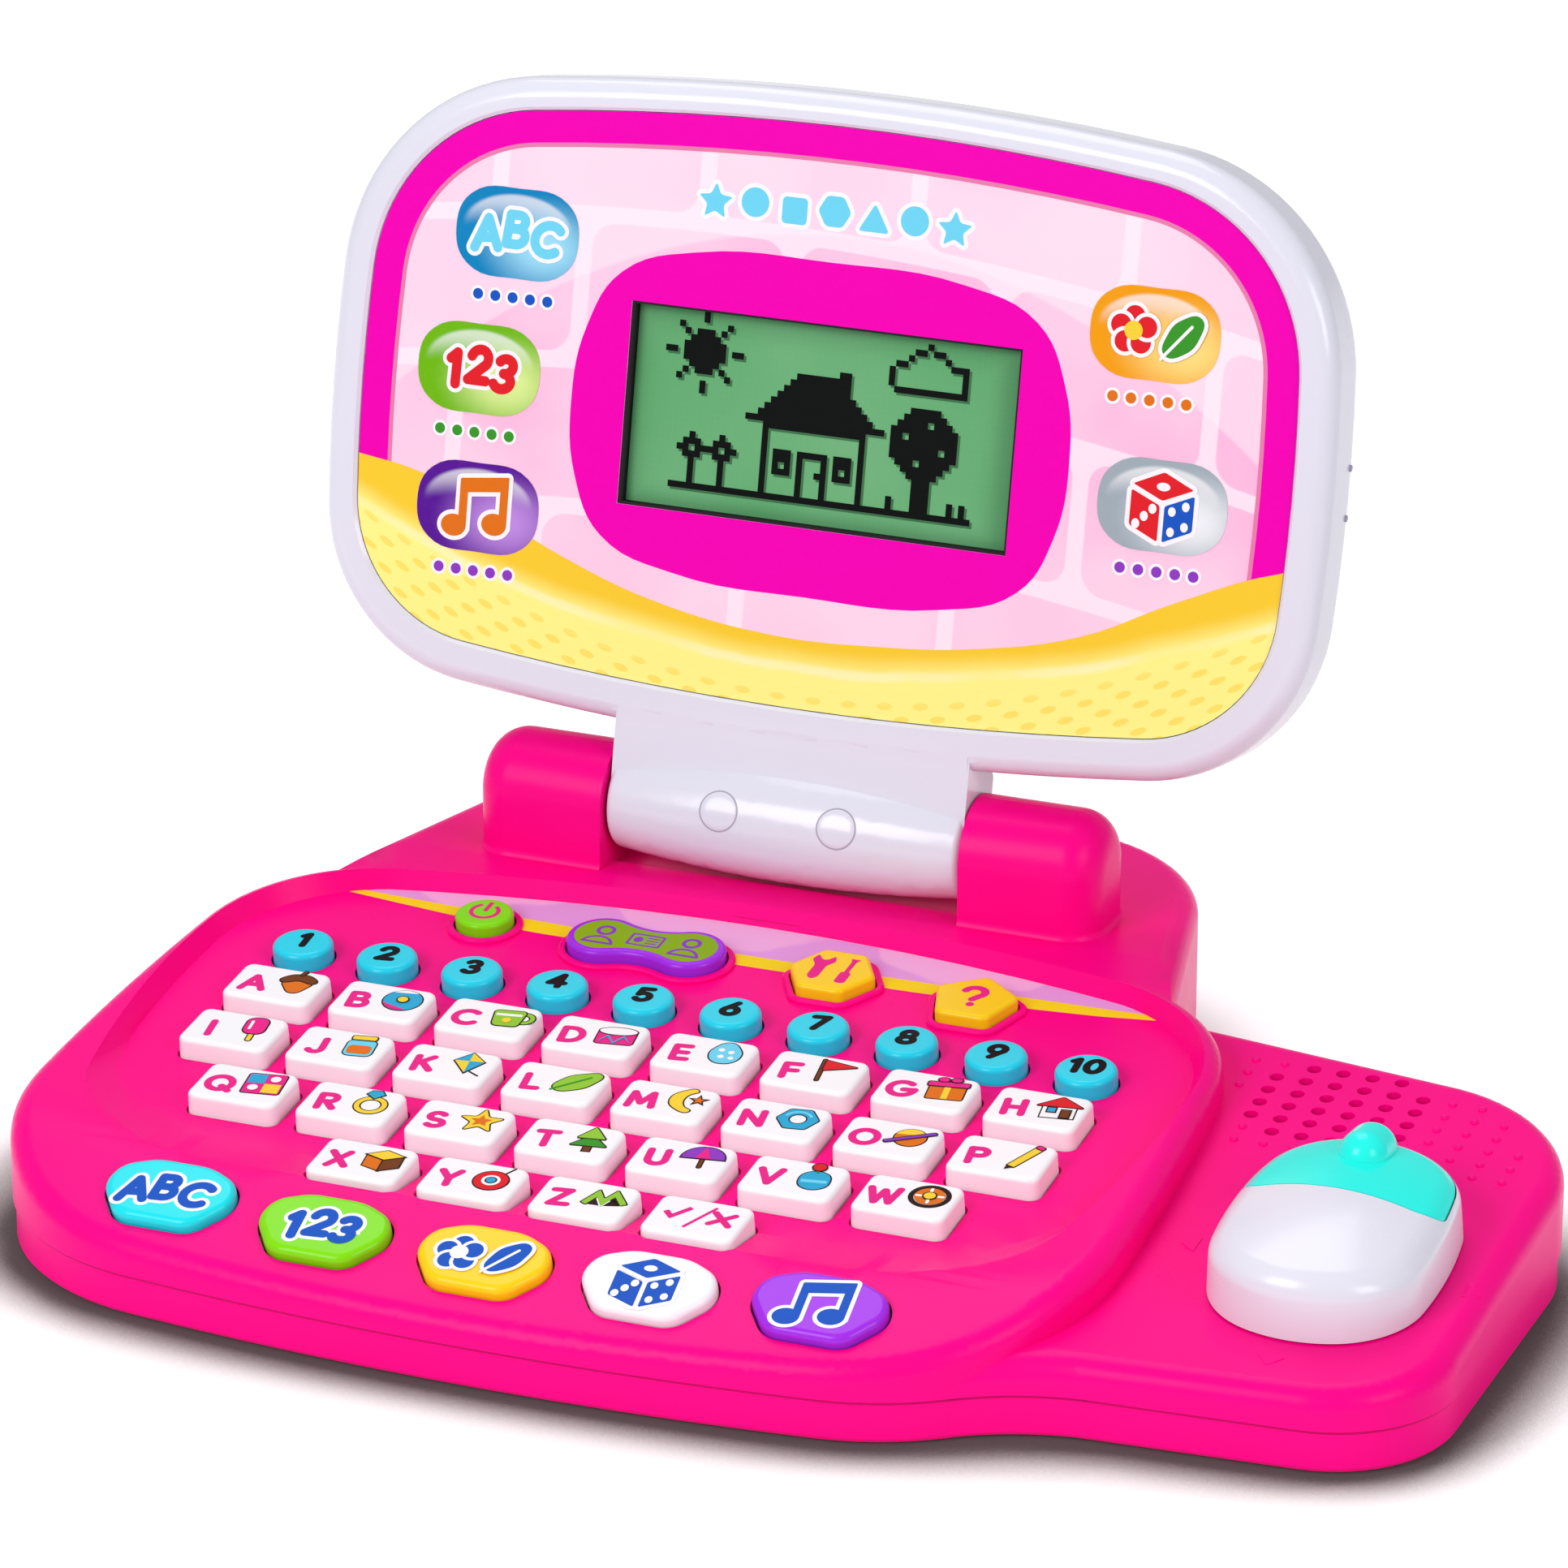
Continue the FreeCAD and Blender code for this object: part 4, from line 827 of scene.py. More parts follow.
@dataclass(frozen=True)
class Loop:
    """Closed outline in millimetres: knots of a handle, a point and a handle."""

    knots: tuple[Knot, ...]
    flowing: bool = False

    # Most of a straight run that a rounded corner takes, and how far its handles reach to the corner
    RUN_SHARE = 0.49
    HANDLE_SHARE = 0.6

    @staticmethod
    def corners(points: Sequence[Point], rounding: float = 0.0) -> "Loop":
        """Outline of straight runs.

        Args:
            points: Its corners.
            rounding: How far from a corner its round begins.

        Returns:
            The outline.
        """
        knots: list[Knot] = []
        for index, point in enumerate(points):
            here = Vector(point)
            if not rounding:
                knots.append((point, point, point))
                continue
            ends = []
            for other in (points[index - 1], points[(index + 1) % len(points)]):
                run = Vector(other) - here
                ends.append(here + run.normalized() * min(rounding, run.length * Loop.RUN_SHARE))
            first, last = ends
            into, out = (end.lerp(here, Loop.HANDLE_SHARE) for end in ends)
            knots.append((tuple(first), tuple(first), tuple(into)))
            knots.append((tuple(out), tuple(last), tuple(last)))
        return Loop(tuple(knots))

    @staticmethod
    def box(x: float, y: float, wide: float, high: float, rounding: float = 0.0) -> "Loop":
        """Rectangle about a point, with rounded corners."""
        a, b = wide / 2, high / 2
        return Loop.corners([(x - a, y - b), (x + a, y - b), (x + a, y + b), (x - a, y + b)], rounding)

    @staticmethod
    def disc(x: float, y: float, radius: float, tall: float = 1.0) -> "Loop":
        """Circle about a point, stretched upwards by tall.

        Args:
            x: Middle, from side to side.
            y: Middle, upwards.
            radius: Half of its width.
            tall: Height as a share of the width.

        Returns:
            The closed outline.
        """
        ring = around(0.0, 0.0, radius, 0.0, 360.0)
        ring = [(ring[-1][0], ring[0][1], ring[0][2])] + ring[1:-1]
        return Loop(tuple(tuple((x + px, y + py * tall) for px, py in knot) for knot in ring))

    @staticmethod
    def arc(x: float, y: float, radius: float, width: float, start: float, end: float) -> "Loop":
        """Band that follows an arc, with square ends.

        Args:
            x: Middle, from side to side.
            y: Middle, upwards.
            radius: Radius of its middle line.
            width: Width of the band.
            start: Angle of its first end, in degrees.
            end: Angle of its last end, in degrees.

        Returns:
            The closed outline.
        """
        outer = around(x, y, radius + width / 2, start, end)
        inner = around(x, y, radius - width / 2, end, start)
        return Loop(tuple(outer + inner))

    @staticmethod
    def slice(x: float, y: float, radius: float, start: float, end: float) -> "Loop":
        """Part of a disc cut off by the line between two angles."""
        return Loop(tuple(around(x, y, radius, start, end)))

    @staticmethod
    def bar(start: Point, end: Point, width: float) -> "Loop":
        """Straight stroke with round ends.

        Args:
            start: Middle of the first end.
            end: Middle of the last end.
            width: Width of the stroke.

        Returns:
            The closed outline.
        """
        run = Vector(end) - Vector(start)
        turn = math.degrees(math.atan2(run.y, run.x))
        first = around(*start, width / 2, turn + 90.0, turn + 270.0)
        last = around(*end, width / 2, turn - 90.0, turn + 90.0)
        return Loop(tuple(first + last))

    @staticmethod
    def stroke(points: Sequence[Point], width: float) -> "Loop":
        """Stroke along a smooth run of points, with round ends.

        Args:
            points: Points of its middle line.
            width: Width of the stroke.

        Returns:
            The closed outline.
        """
        spots = [Vector(point) for point in points]
        sides: list[list[Knot]] = [[], []]
        turns = []
        for index, spot in enumerate(spots):
            run = spots[min(index + 1, len(spots) - 1)] - spots[max(index - 1, 0)]
            turns.append(math.degrees(math.atan2(run.y, run.x)))
            aside = Vector((-run.y, run.x)).normalized() * width / 2
            for side, edge in zip(sides, (spot + aside, spot - aside)):
                side.append((tuple(edge),) * 3)
        last = around(*points[-1], width / 2, turns[-1] + 90.0, turns[-1] - 90.0)
        first = around(*points[0], width / 2, turns[0] - 90.0, turns[0] - 270.0)
        return Loop(tuple(sides[0][1:-1] + last + sides[1][-2:0:-1] + first))

    @staticmethod
    def flow(points: Sequence[Point]) -> "Loop":
        """Smooth outline through points."""
        return Loop(tuple((point, point, point) for point in points), True)

    @staticmethod
    def star(x: float, y: float, outer: float, inner: float, points: int, turn: float = 90.0,
             rounding: float = 0.0) -> "Loop":
        """Star, or an even polygon where inner is 0.

        Args:
            x: Its middle.
            y: Its middle.
            outer: Radius of its points.
            inner: Radius of its hollows, or 0.
            points: How many points it has.
            turn: Angle of the first point in degrees.
            rounding: Rounding of its corners.

        Returns:
            The outline.
        """
        radii = [outer, inner] if inner else [outer]
        steps = points * len(radii)
        ring = []
        for index in range(steps):
            angle = math.radians(turn + 360.0 / steps * index)
            radius = radii[index % len(radii)]
            ring.append((x + radius * math.cos(angle), y + radius * math.sin(angle)))
        return Loop.corners(ring, rounding)


# Straight pieces between two knots of an outline
KNOT_STEPS = 6


def flat_mesh(loops: Sequence[Loop], thick: float, grow: float = 0.0) -> Mesh:
    """Thin plate with the outline of loops; a loop inside another is a hole.

    Args:
        loops: The outlines, in millimetres.
        thick: Thickness of the plate.
        grow: How far its edges move out.

    Returns:
        The mesh in millimetres, with its middle height at 0.
    """
    curve = bpy.data.curves.new("outline", "CURVE")
    curve.dimensions = "2D"
    curve.fill_mode = "BOTH"
    curve.extrude = thick / 2
    curve.offset = grow
    curve.resolution_u = KNOT_STEPS
    for loop in loops:
        spline = curve.splines.new("BEZIER")
        spline.bezier_points.add(len(loop.knots) - 1)
        for target, (back, point, ahead) in zip(spline.bezier_points, loop.knots):
            target.co = (*point, 0.0)
            for side, handle in (("left", back), ("right", ahead)):
                kind = "AUTO" if loop.flowing else "VECTOR" if handle == point else "FREE"
                setattr(target, "handle_%s_type" % side, kind)
                setattr(target, "handle_%s" % side, (*handle, 0.0))
        spline.use_cyclic_u = True
    holder = bpy.data.objects.new("outline", curve)
    mesh = bpy.data.meshes.new_from_object(holder)
    bpy.data.objects.remove(holder)
    bpy.data.curves.remove(curve)
    return mesh


def bow(x: float, y: float, wide: float, high: float, start: float, end: float) -> list[Point]:
    """Points along part of an ellipse.

    Args:
        x: Its middle.
        y: Its middle.
        wide: Half its width.
        high: Half its height.
        start: First angle in degrees.
        end: Last angle in degrees.

    Returns:
        The points.
    """
    count = math.ceil(abs(end - start) / BOW_STEP)
    turns = [math.radians(start + (end - start) * index / count) for index in range(count + 1)]
    return [(x + wide * math.cos(turn), y + high * math.sin(turn)) for turn in turns]


def ring(x: float, y: float, wide: float, high: float) -> list[list[Point]]:
    """Ellipse as two strokes."""
    return [bow(x, y, wide, high, 90.0, 270.0), bow(x, y, wide, high, -90.0, 90.0)]


def alphabet() -> dict[str, list[list[Point]]]:
    """Centre lines of plain capitals and figures, one unit high.

    Returns:
        The strokes of each character, as runs of points.
    """
    stem = [(0.0, 0.0), (0.0, 1.0)]
    head = [(0.0, 1.0), *bow(0.34, 0.74, 0.27, 0.26, 90.0, -90.0), (0.0, 0.48)]
    round_letter = ring(0.48, 0.5, 0.48, 0.5)
    return {
        "A": [[(0.0, 0.0), (0.43, 1.0)], [(0.43, 1.0), (0.86, 0.0)], [(0.16, 0.34), (0.7, 0.34)]],
        "B": [stem, [(0.0, 1.0), *bow(0.32, 0.765, 0.25, 0.235, 90.0, -90.0), (0.0, 0.53)],
              [(0.0, 0.53), *bow(0.36, 0.265, 0.29, 0.265, 90.0, -90.0), (0.0, 0.0)]],
        "C": [bow(0.5, 0.5, 0.5, 0.5, 48.0, 312.0)],
        "D": [stem, [(0.0, 1.0), *bow(0.28, 0.5, 0.48, 0.5, 90.0, -90.0), (0.0, 0.0)]],
        "E": [stem, [(0.0, 1.0), (0.54, 1.0)], [(0.0, 0.5), (0.48, 0.5)], [(0.0, 0.0), (0.54, 0.0)]],
        "F": [stem, [(0.0, 1.0), (0.54, 1.0)], [(0.0, 0.5), (0.46, 0.5)]],
        "G": [bow(0.5, 0.5, 0.5, 0.5, 48.0, 355.0), [(0.98, 0.44), (0.58, 0.44)]],
        "H": [stem, [(0.68, 0.0), (0.68, 1.0)], [(0.0, 0.5), (0.68, 0.5)]],
        "I": [stem],
        "J": [[(0.5, 1.0), *bow(0.22, 0.28, 0.28, 0.28, 0.0, -150.0)]],
        "K": [stem, [(0.6, 1.0), (0.04, 0.44)], [(0.2, 0.6), (0.64, 0.0)]],
        "L": [stem, [(0.0, 0.0), (0.52, 0.0)]],
        "M": [[(0.0, 0.0), (0.1, 1.0)], [(0.1, 1.0), (0.47, 0.24)], [(0.47, 0.24), (0.84, 1.0)],
              [(0.84, 1.0), (0.94, 0.0)]],
        "N": [stem, [(0.0, 1.0), (0.72, 0.0)], [(0.72, 0.0), (0.72, 1.0)]],
        "O": round_letter,
        "P": [stem, head],
        "Q": round_letter + [[(0.6, 0.28), (0.92, -0.04)]],
        "R": [stem, head, [(0.26, 0.48), (0.6, 0.0)]],
        "S": [bow(0.31, 0.745, 0.29, 0.255, 35.0, 270.0)
              + bow(0.31, 0.245, 0.31, 0.245, 90.0, -145.0)[1:]],
        "T": [[(0.36, 0.0), (0.36, 1.0)], [(0.0, 1.0), (0.72, 1.0)]],
        "U": [[(0.0, 1.0), *bow(0.34, 0.34, 0.34, 0.34, 180.0, 360.0), (0.68, 1.0)]],
        "V": [[(0.0, 1.0), (0.4, 0.0)], [(0.4, 0.0), (0.8, 1.0)]],
        "W": [[(0.0, 1.0), (0.27, 0.0)], [(0.27, 0.0), (0.55, 0.86)], [(0.55, 0.86), (0.83, 0.0)],
              [(0.83, 0.0), (1.1, 1.0)]],
        "X": [[(0.0, 0.0), (0.68, 1.0)], [(0.0, 1.0), (0.68, 0.0)]],
        "Y": [[(0.0, 1.0), (0.36, 0.46)], [(0.72, 1.0), (0.36, 0.46)], [(0.36, 0.46), (0.36, 0.0)]],
        "Z": [[(0.0, 1.0), (0.64, 1.0)], [(0.64, 1.0), (0.0, 0.0)], [(0.0, 0.0), (0.66, 0.0)]],
        "0": ring(0.32, 0.5, 0.32, 0.5),
        "1": [[(0.22, 0.0), (0.22, 1.0)], [(0.22, 1.0), (0.0, 0.82)]],
        "2": [bow(0.3, 0.69, 0.3, 0.31, 165.0, -30.0), [(0.56, 0.535), (0.0, 0.0)],
              [(0.0, 0.0), (0.62, 0.0)]],
        "3": [bow(0.28, 0.755, 0.26, 0.245, 150.0, -90.0), bow(0.28, 0.255, 0.3, 0.255, 90.0, -150.0)],
        "4": [[(0.46, 1.0), (0.0, 0.3)], [(0.0, 0.3), (0.66, 0.3)], [(0.46, 1.0), (0.46, 0.0)]],
        "5": [[(0.54, 1.0), (0.1, 1.0)], [(0.1, 1.0), (0.06, 0.52)],
              bow(0.27, 0.31, 0.31, 0.31, 135.0, -150.0)],
        "6": [[(0.48, 1.0), (0.05, 0.46)], *ring(0.31, 0.31, 0.31, 0.31)],
        "7": [[(0.0, 1.0), (0.6, 1.0)], [(0.6, 1.0), (0.2, 0.0)]],
        "8": [*ring(0.31, 0.76, 0.26, 0.24), *ring(0.31, 0.26, 0.31, 0.26)],
        "9": [[(0.57, 0.54), (0.14, 0.0)], *ring(0.31, 0.69, 0.31, 0.31)],
        "?": [bow(0.3, 0.73, 0.3, 0.27, 165.0, -55.0), [(0.47, 0.51), (0.3, 0.3)],
              [(0.3, 0.0), (0.301, 0.0)]],
    }


ALPHABET = alphabet()


@dataclass(frozen=True)
class Shade:
    """One flat colour of a drawing, with or without a dark line round it."""

    ink: Finish
    loops: tuple[Loop, ...]
    lined: bool = True


class Print:
    """Thin layers of ink on one surface, gathered into one piece."""

    STEP = 0.03
    THICK = 0.06
    # Gap between letters in strokes, and the part of a layer between two strokes of one text
    LETTER_GAP = 1.7
    STROKE_STEP = 0.12

    def __init__(self, name: str, body: str, place: Matrix) -> None:
        """Start an empty print.

        Args:
            name: Name of the piece.
            body: Body that carries it.
            place: Matrix from millimetres on the surface into the row frame.
        """
        self.name = name
        self.body = body
        self.place = place
        self.shape = bmesh.new()
        self.finishes: list[Finish] = []

    def lay(self, mesh: Mesh, finish: Finish, level: float, at: Point = (0.0, 0.0),
            turn: float = 0.0, size: float = 1.0) -> None:
        """Add one thin plate.

        Args:
            mesh: The plate in millimetres about height 0, which is used up.
            finish: Its ink.
            level: Which layer it is, from 0 at the surface.
            at: Where its origin goes.
            turn: Turn in degrees.
            size: Scale.
        """
        if finish not in self.finishes:
            self.finishes.append(finish)
        lift = self.STEP * (level + 1) - self.THICK / 2
        placed = Matrix.Translation((*at, lift)) @ Matrix.Rotation(math.radians(turn), 4, "Z")
        stretch = Matrix.Diagonal((size, size, 1.0, 1.0))
        mesh.transform(self.place @ placed @ stretch)
        first = len(self.shape.faces)
        self.shape.from_mesh(mesh)
        self.shape.faces.ensure_lookup_table()
        slot = self.finishes.index(finish)
        for face in self.shape.faces[first:]:
            face.material_index = slot
        bpy.data.meshes.remove(mesh)

    def flat(self, loops: Sequence[Loop], finish: Finish, level: float, at: Point = (0.0, 0.0),
             turn: float = 0.0, size: float = 1.0, grow: float = 0.0) -> None:
        """Add a plate with the outline of loops, widened by grow; the other arguments are those of lay."""
        self.lay(flat_mesh(loops, self.THICK, grow), finish, level, at, turn, size)

    def text(self, words: str, finish: Finish, level: float, height: float, at: Point = (0.0, 0.0),
             turn: float = 0.0, weight: float = 0.24, lean: float = 0.0, grow: float = 0.0) -> None:
        """Add plain lettering in round strokes.

        Args:
            words: Capitals and figures.
            finish: Its ink.
            level: Its lowest layer.
            height: Height of a capital.
            at: Where its middle goes.
            turn: Turn in degrees.
            weight: Width of a stroke as a share of the height.
            lean: Lean of the letters.
            grow: How far each stroke is widened on each side.
        """
        runs: list[list[Point]] = []
        left = 0.0
        for word in words:
            runs += [[(left + x, y) for x, y in stroke] for stroke in ALPHABET[word]]
            left = max(x for run in runs for x, _ in run) + self.LETTER_GAP * weight
        spread = [x for run in runs for x, _ in run]
        middle = (min(spread) + max(spread)) / 2
        unit = height * (1.0 - weight)
        for index, run in enumerate(runs):
            points = [((x - middle + lean * (y - 0.5)) * unit, (y - 0.5) * unit) for x, y in run]
            stroke = Loop.stroke(points, height * weight + 2.0 * grow)
            self.flat([stroke], finish, level + self.STROKE_STEP * index, at, turn)

    def draw(self, shades: Iterable[Shade], level: float, at: Point, turn: float = 0.0, size: float = 1.0,
             line: Finish = INK_DARK, width: float = 0.34) -> None:
        """Add a small drawing, with a line round the shades that have one.

        Args:
            shades: Its flat colours, from the lowest to the highest.
            level: Layer of the lines.
            at: Where its origin goes.
            turn: Turn in degrees.
            size: Scale.
            line: Ink of the lines.
            width: Width of the lines.
        """
        for index, shade in enumerate(shades):
            if shade.lined:
                self.flat(shade.loops, line, level + 2 * index, at, turn, size, width)
            self.flat(shade.loops, shade.ink, level + 2 * index + 1, at, turn, size)

    def finish(self) -> Piece:
        """Close the print as one piece that rides on its body.

        Returns:
            The piece.
        """
        bmesh.ops.remove_doubles(self.shape, verts=self.shape.verts, dist=MERGE)
        bmesh.ops.recalc_face_normals(self.shape, faces=self.shape.faces)
        return finished(self.name, self.shape, self.finishes, self.body, 0.0)


def finished(name: str, shape: Shape, finishes: Sequence[Finish], body: str,
             crease: float = CREASE) -> Piece:
    """Turn a bmesh in metres into a piece that rides on a body.

    Args:
        name: Name of the piece.
        shape: Its shape, which is used up.
        finishes: Finishes of its material slots.
        body: Body that carries it.
        crease: Angle in degrees below which edges are shaded smoothly, or 0 for flat faces.

    Returns:
        The piece.
    """
    if crease:
        for face in shape.faces:
            face.smooth = True
        for line in shape.edges:
            line.smooth = line.calc_face_angle(0.0) < math.radians(crease)
    mesh = bpy.data.meshes.new(name)
    shape.to_mesh(mesh)
    shape.free()
    for finish in finishes:
        mesh.materials.append(finish.material())
    piece = bpy.data.objects.new(name, mesh)
    bpy.context.scene.collection.objects.link(piece)
    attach(piece, body)
    LOG.info("made %s", name)
    return piece


# Shading limit and merging distance of a node's own triangles
NODE_CREASE = 32.0
NODE_MERGE = 2e-6


def soft_copy(node: str, finish: Finish, body: str) -> Piece:
    """Smoothly shaded copy of a node of the frame, which it replaces.

    Args:
        node: Name of the node.
        finish: Its finish.
        body: Body that carries it.

    Returns:
        The new piece.
    """
    shape = bmesh.new()
    shape.from_mesh(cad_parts[node].data)
    for face in shape.faces:
        face.material_index = 0
    bmesh.ops.remove_doubles(shape, verts=shape.verts, dist=NODE_MERGE)
    bmesh.ops.dissolve_degenerate(shape, edges=shape.edges, dist=MERGE)
    piece = finished(node + "_moulding", shape, [finish], body, NODE_CREASE)
    soften = piece.modifiers.new("even_shading", "WEIGHTED_NORMAL")
    soften.keep_sharp = True
    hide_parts(node)
    return piece


def carved(base: Mesh, tool: Mesh, operation: str) -> Mesh:
    """Cut one closed mesh by another.

    Args:
        base: Mesh that is cut, which is used up.
        tool: Mesh that cuts, which is used up.
        operation: Blender's name of the operation.

    Returns:
        The result.
    """
    holders = [bpy.data.objects.new("carving", mesh) for mesh in (base, tool)]
    for holder in holders:
        bpy.context.scene.collection.objects.link(holder)
    cut = holders[0].modifiers.new("cut", "BOOLEAN")
    cut.operation = operation
    cut.solver = "EXACT"
    cut.object = holders[1]
    mesh = bpy.data.meshes.new_from_object(holders[0].evaluated_get(bpy.context.evaluated_depsgraph_get()))
    for holder in holders:
        bpy.data.objects.remove(holder)
    for used in (base, tool):
        bpy.data.meshes.remove(used)
    return mesh


def shades(*entries: tuple) -> tuple[Shade, ...]:
    """Shades from pairs of ink and outlines; an entry that ends with False has no line round it.

    Args:
        entries: Ink and outlines of each shade, with or without the False.

    Returns:
        The shades, in the same order.
    """
    made = []
    for entry in entries:
        lined = not isinstance(entry[-1], bool)
        made.append(Shade(entry[0], tuple(item for item in entry[1:] if isinstance(item, Loop)), lined))
    return tuple(made)


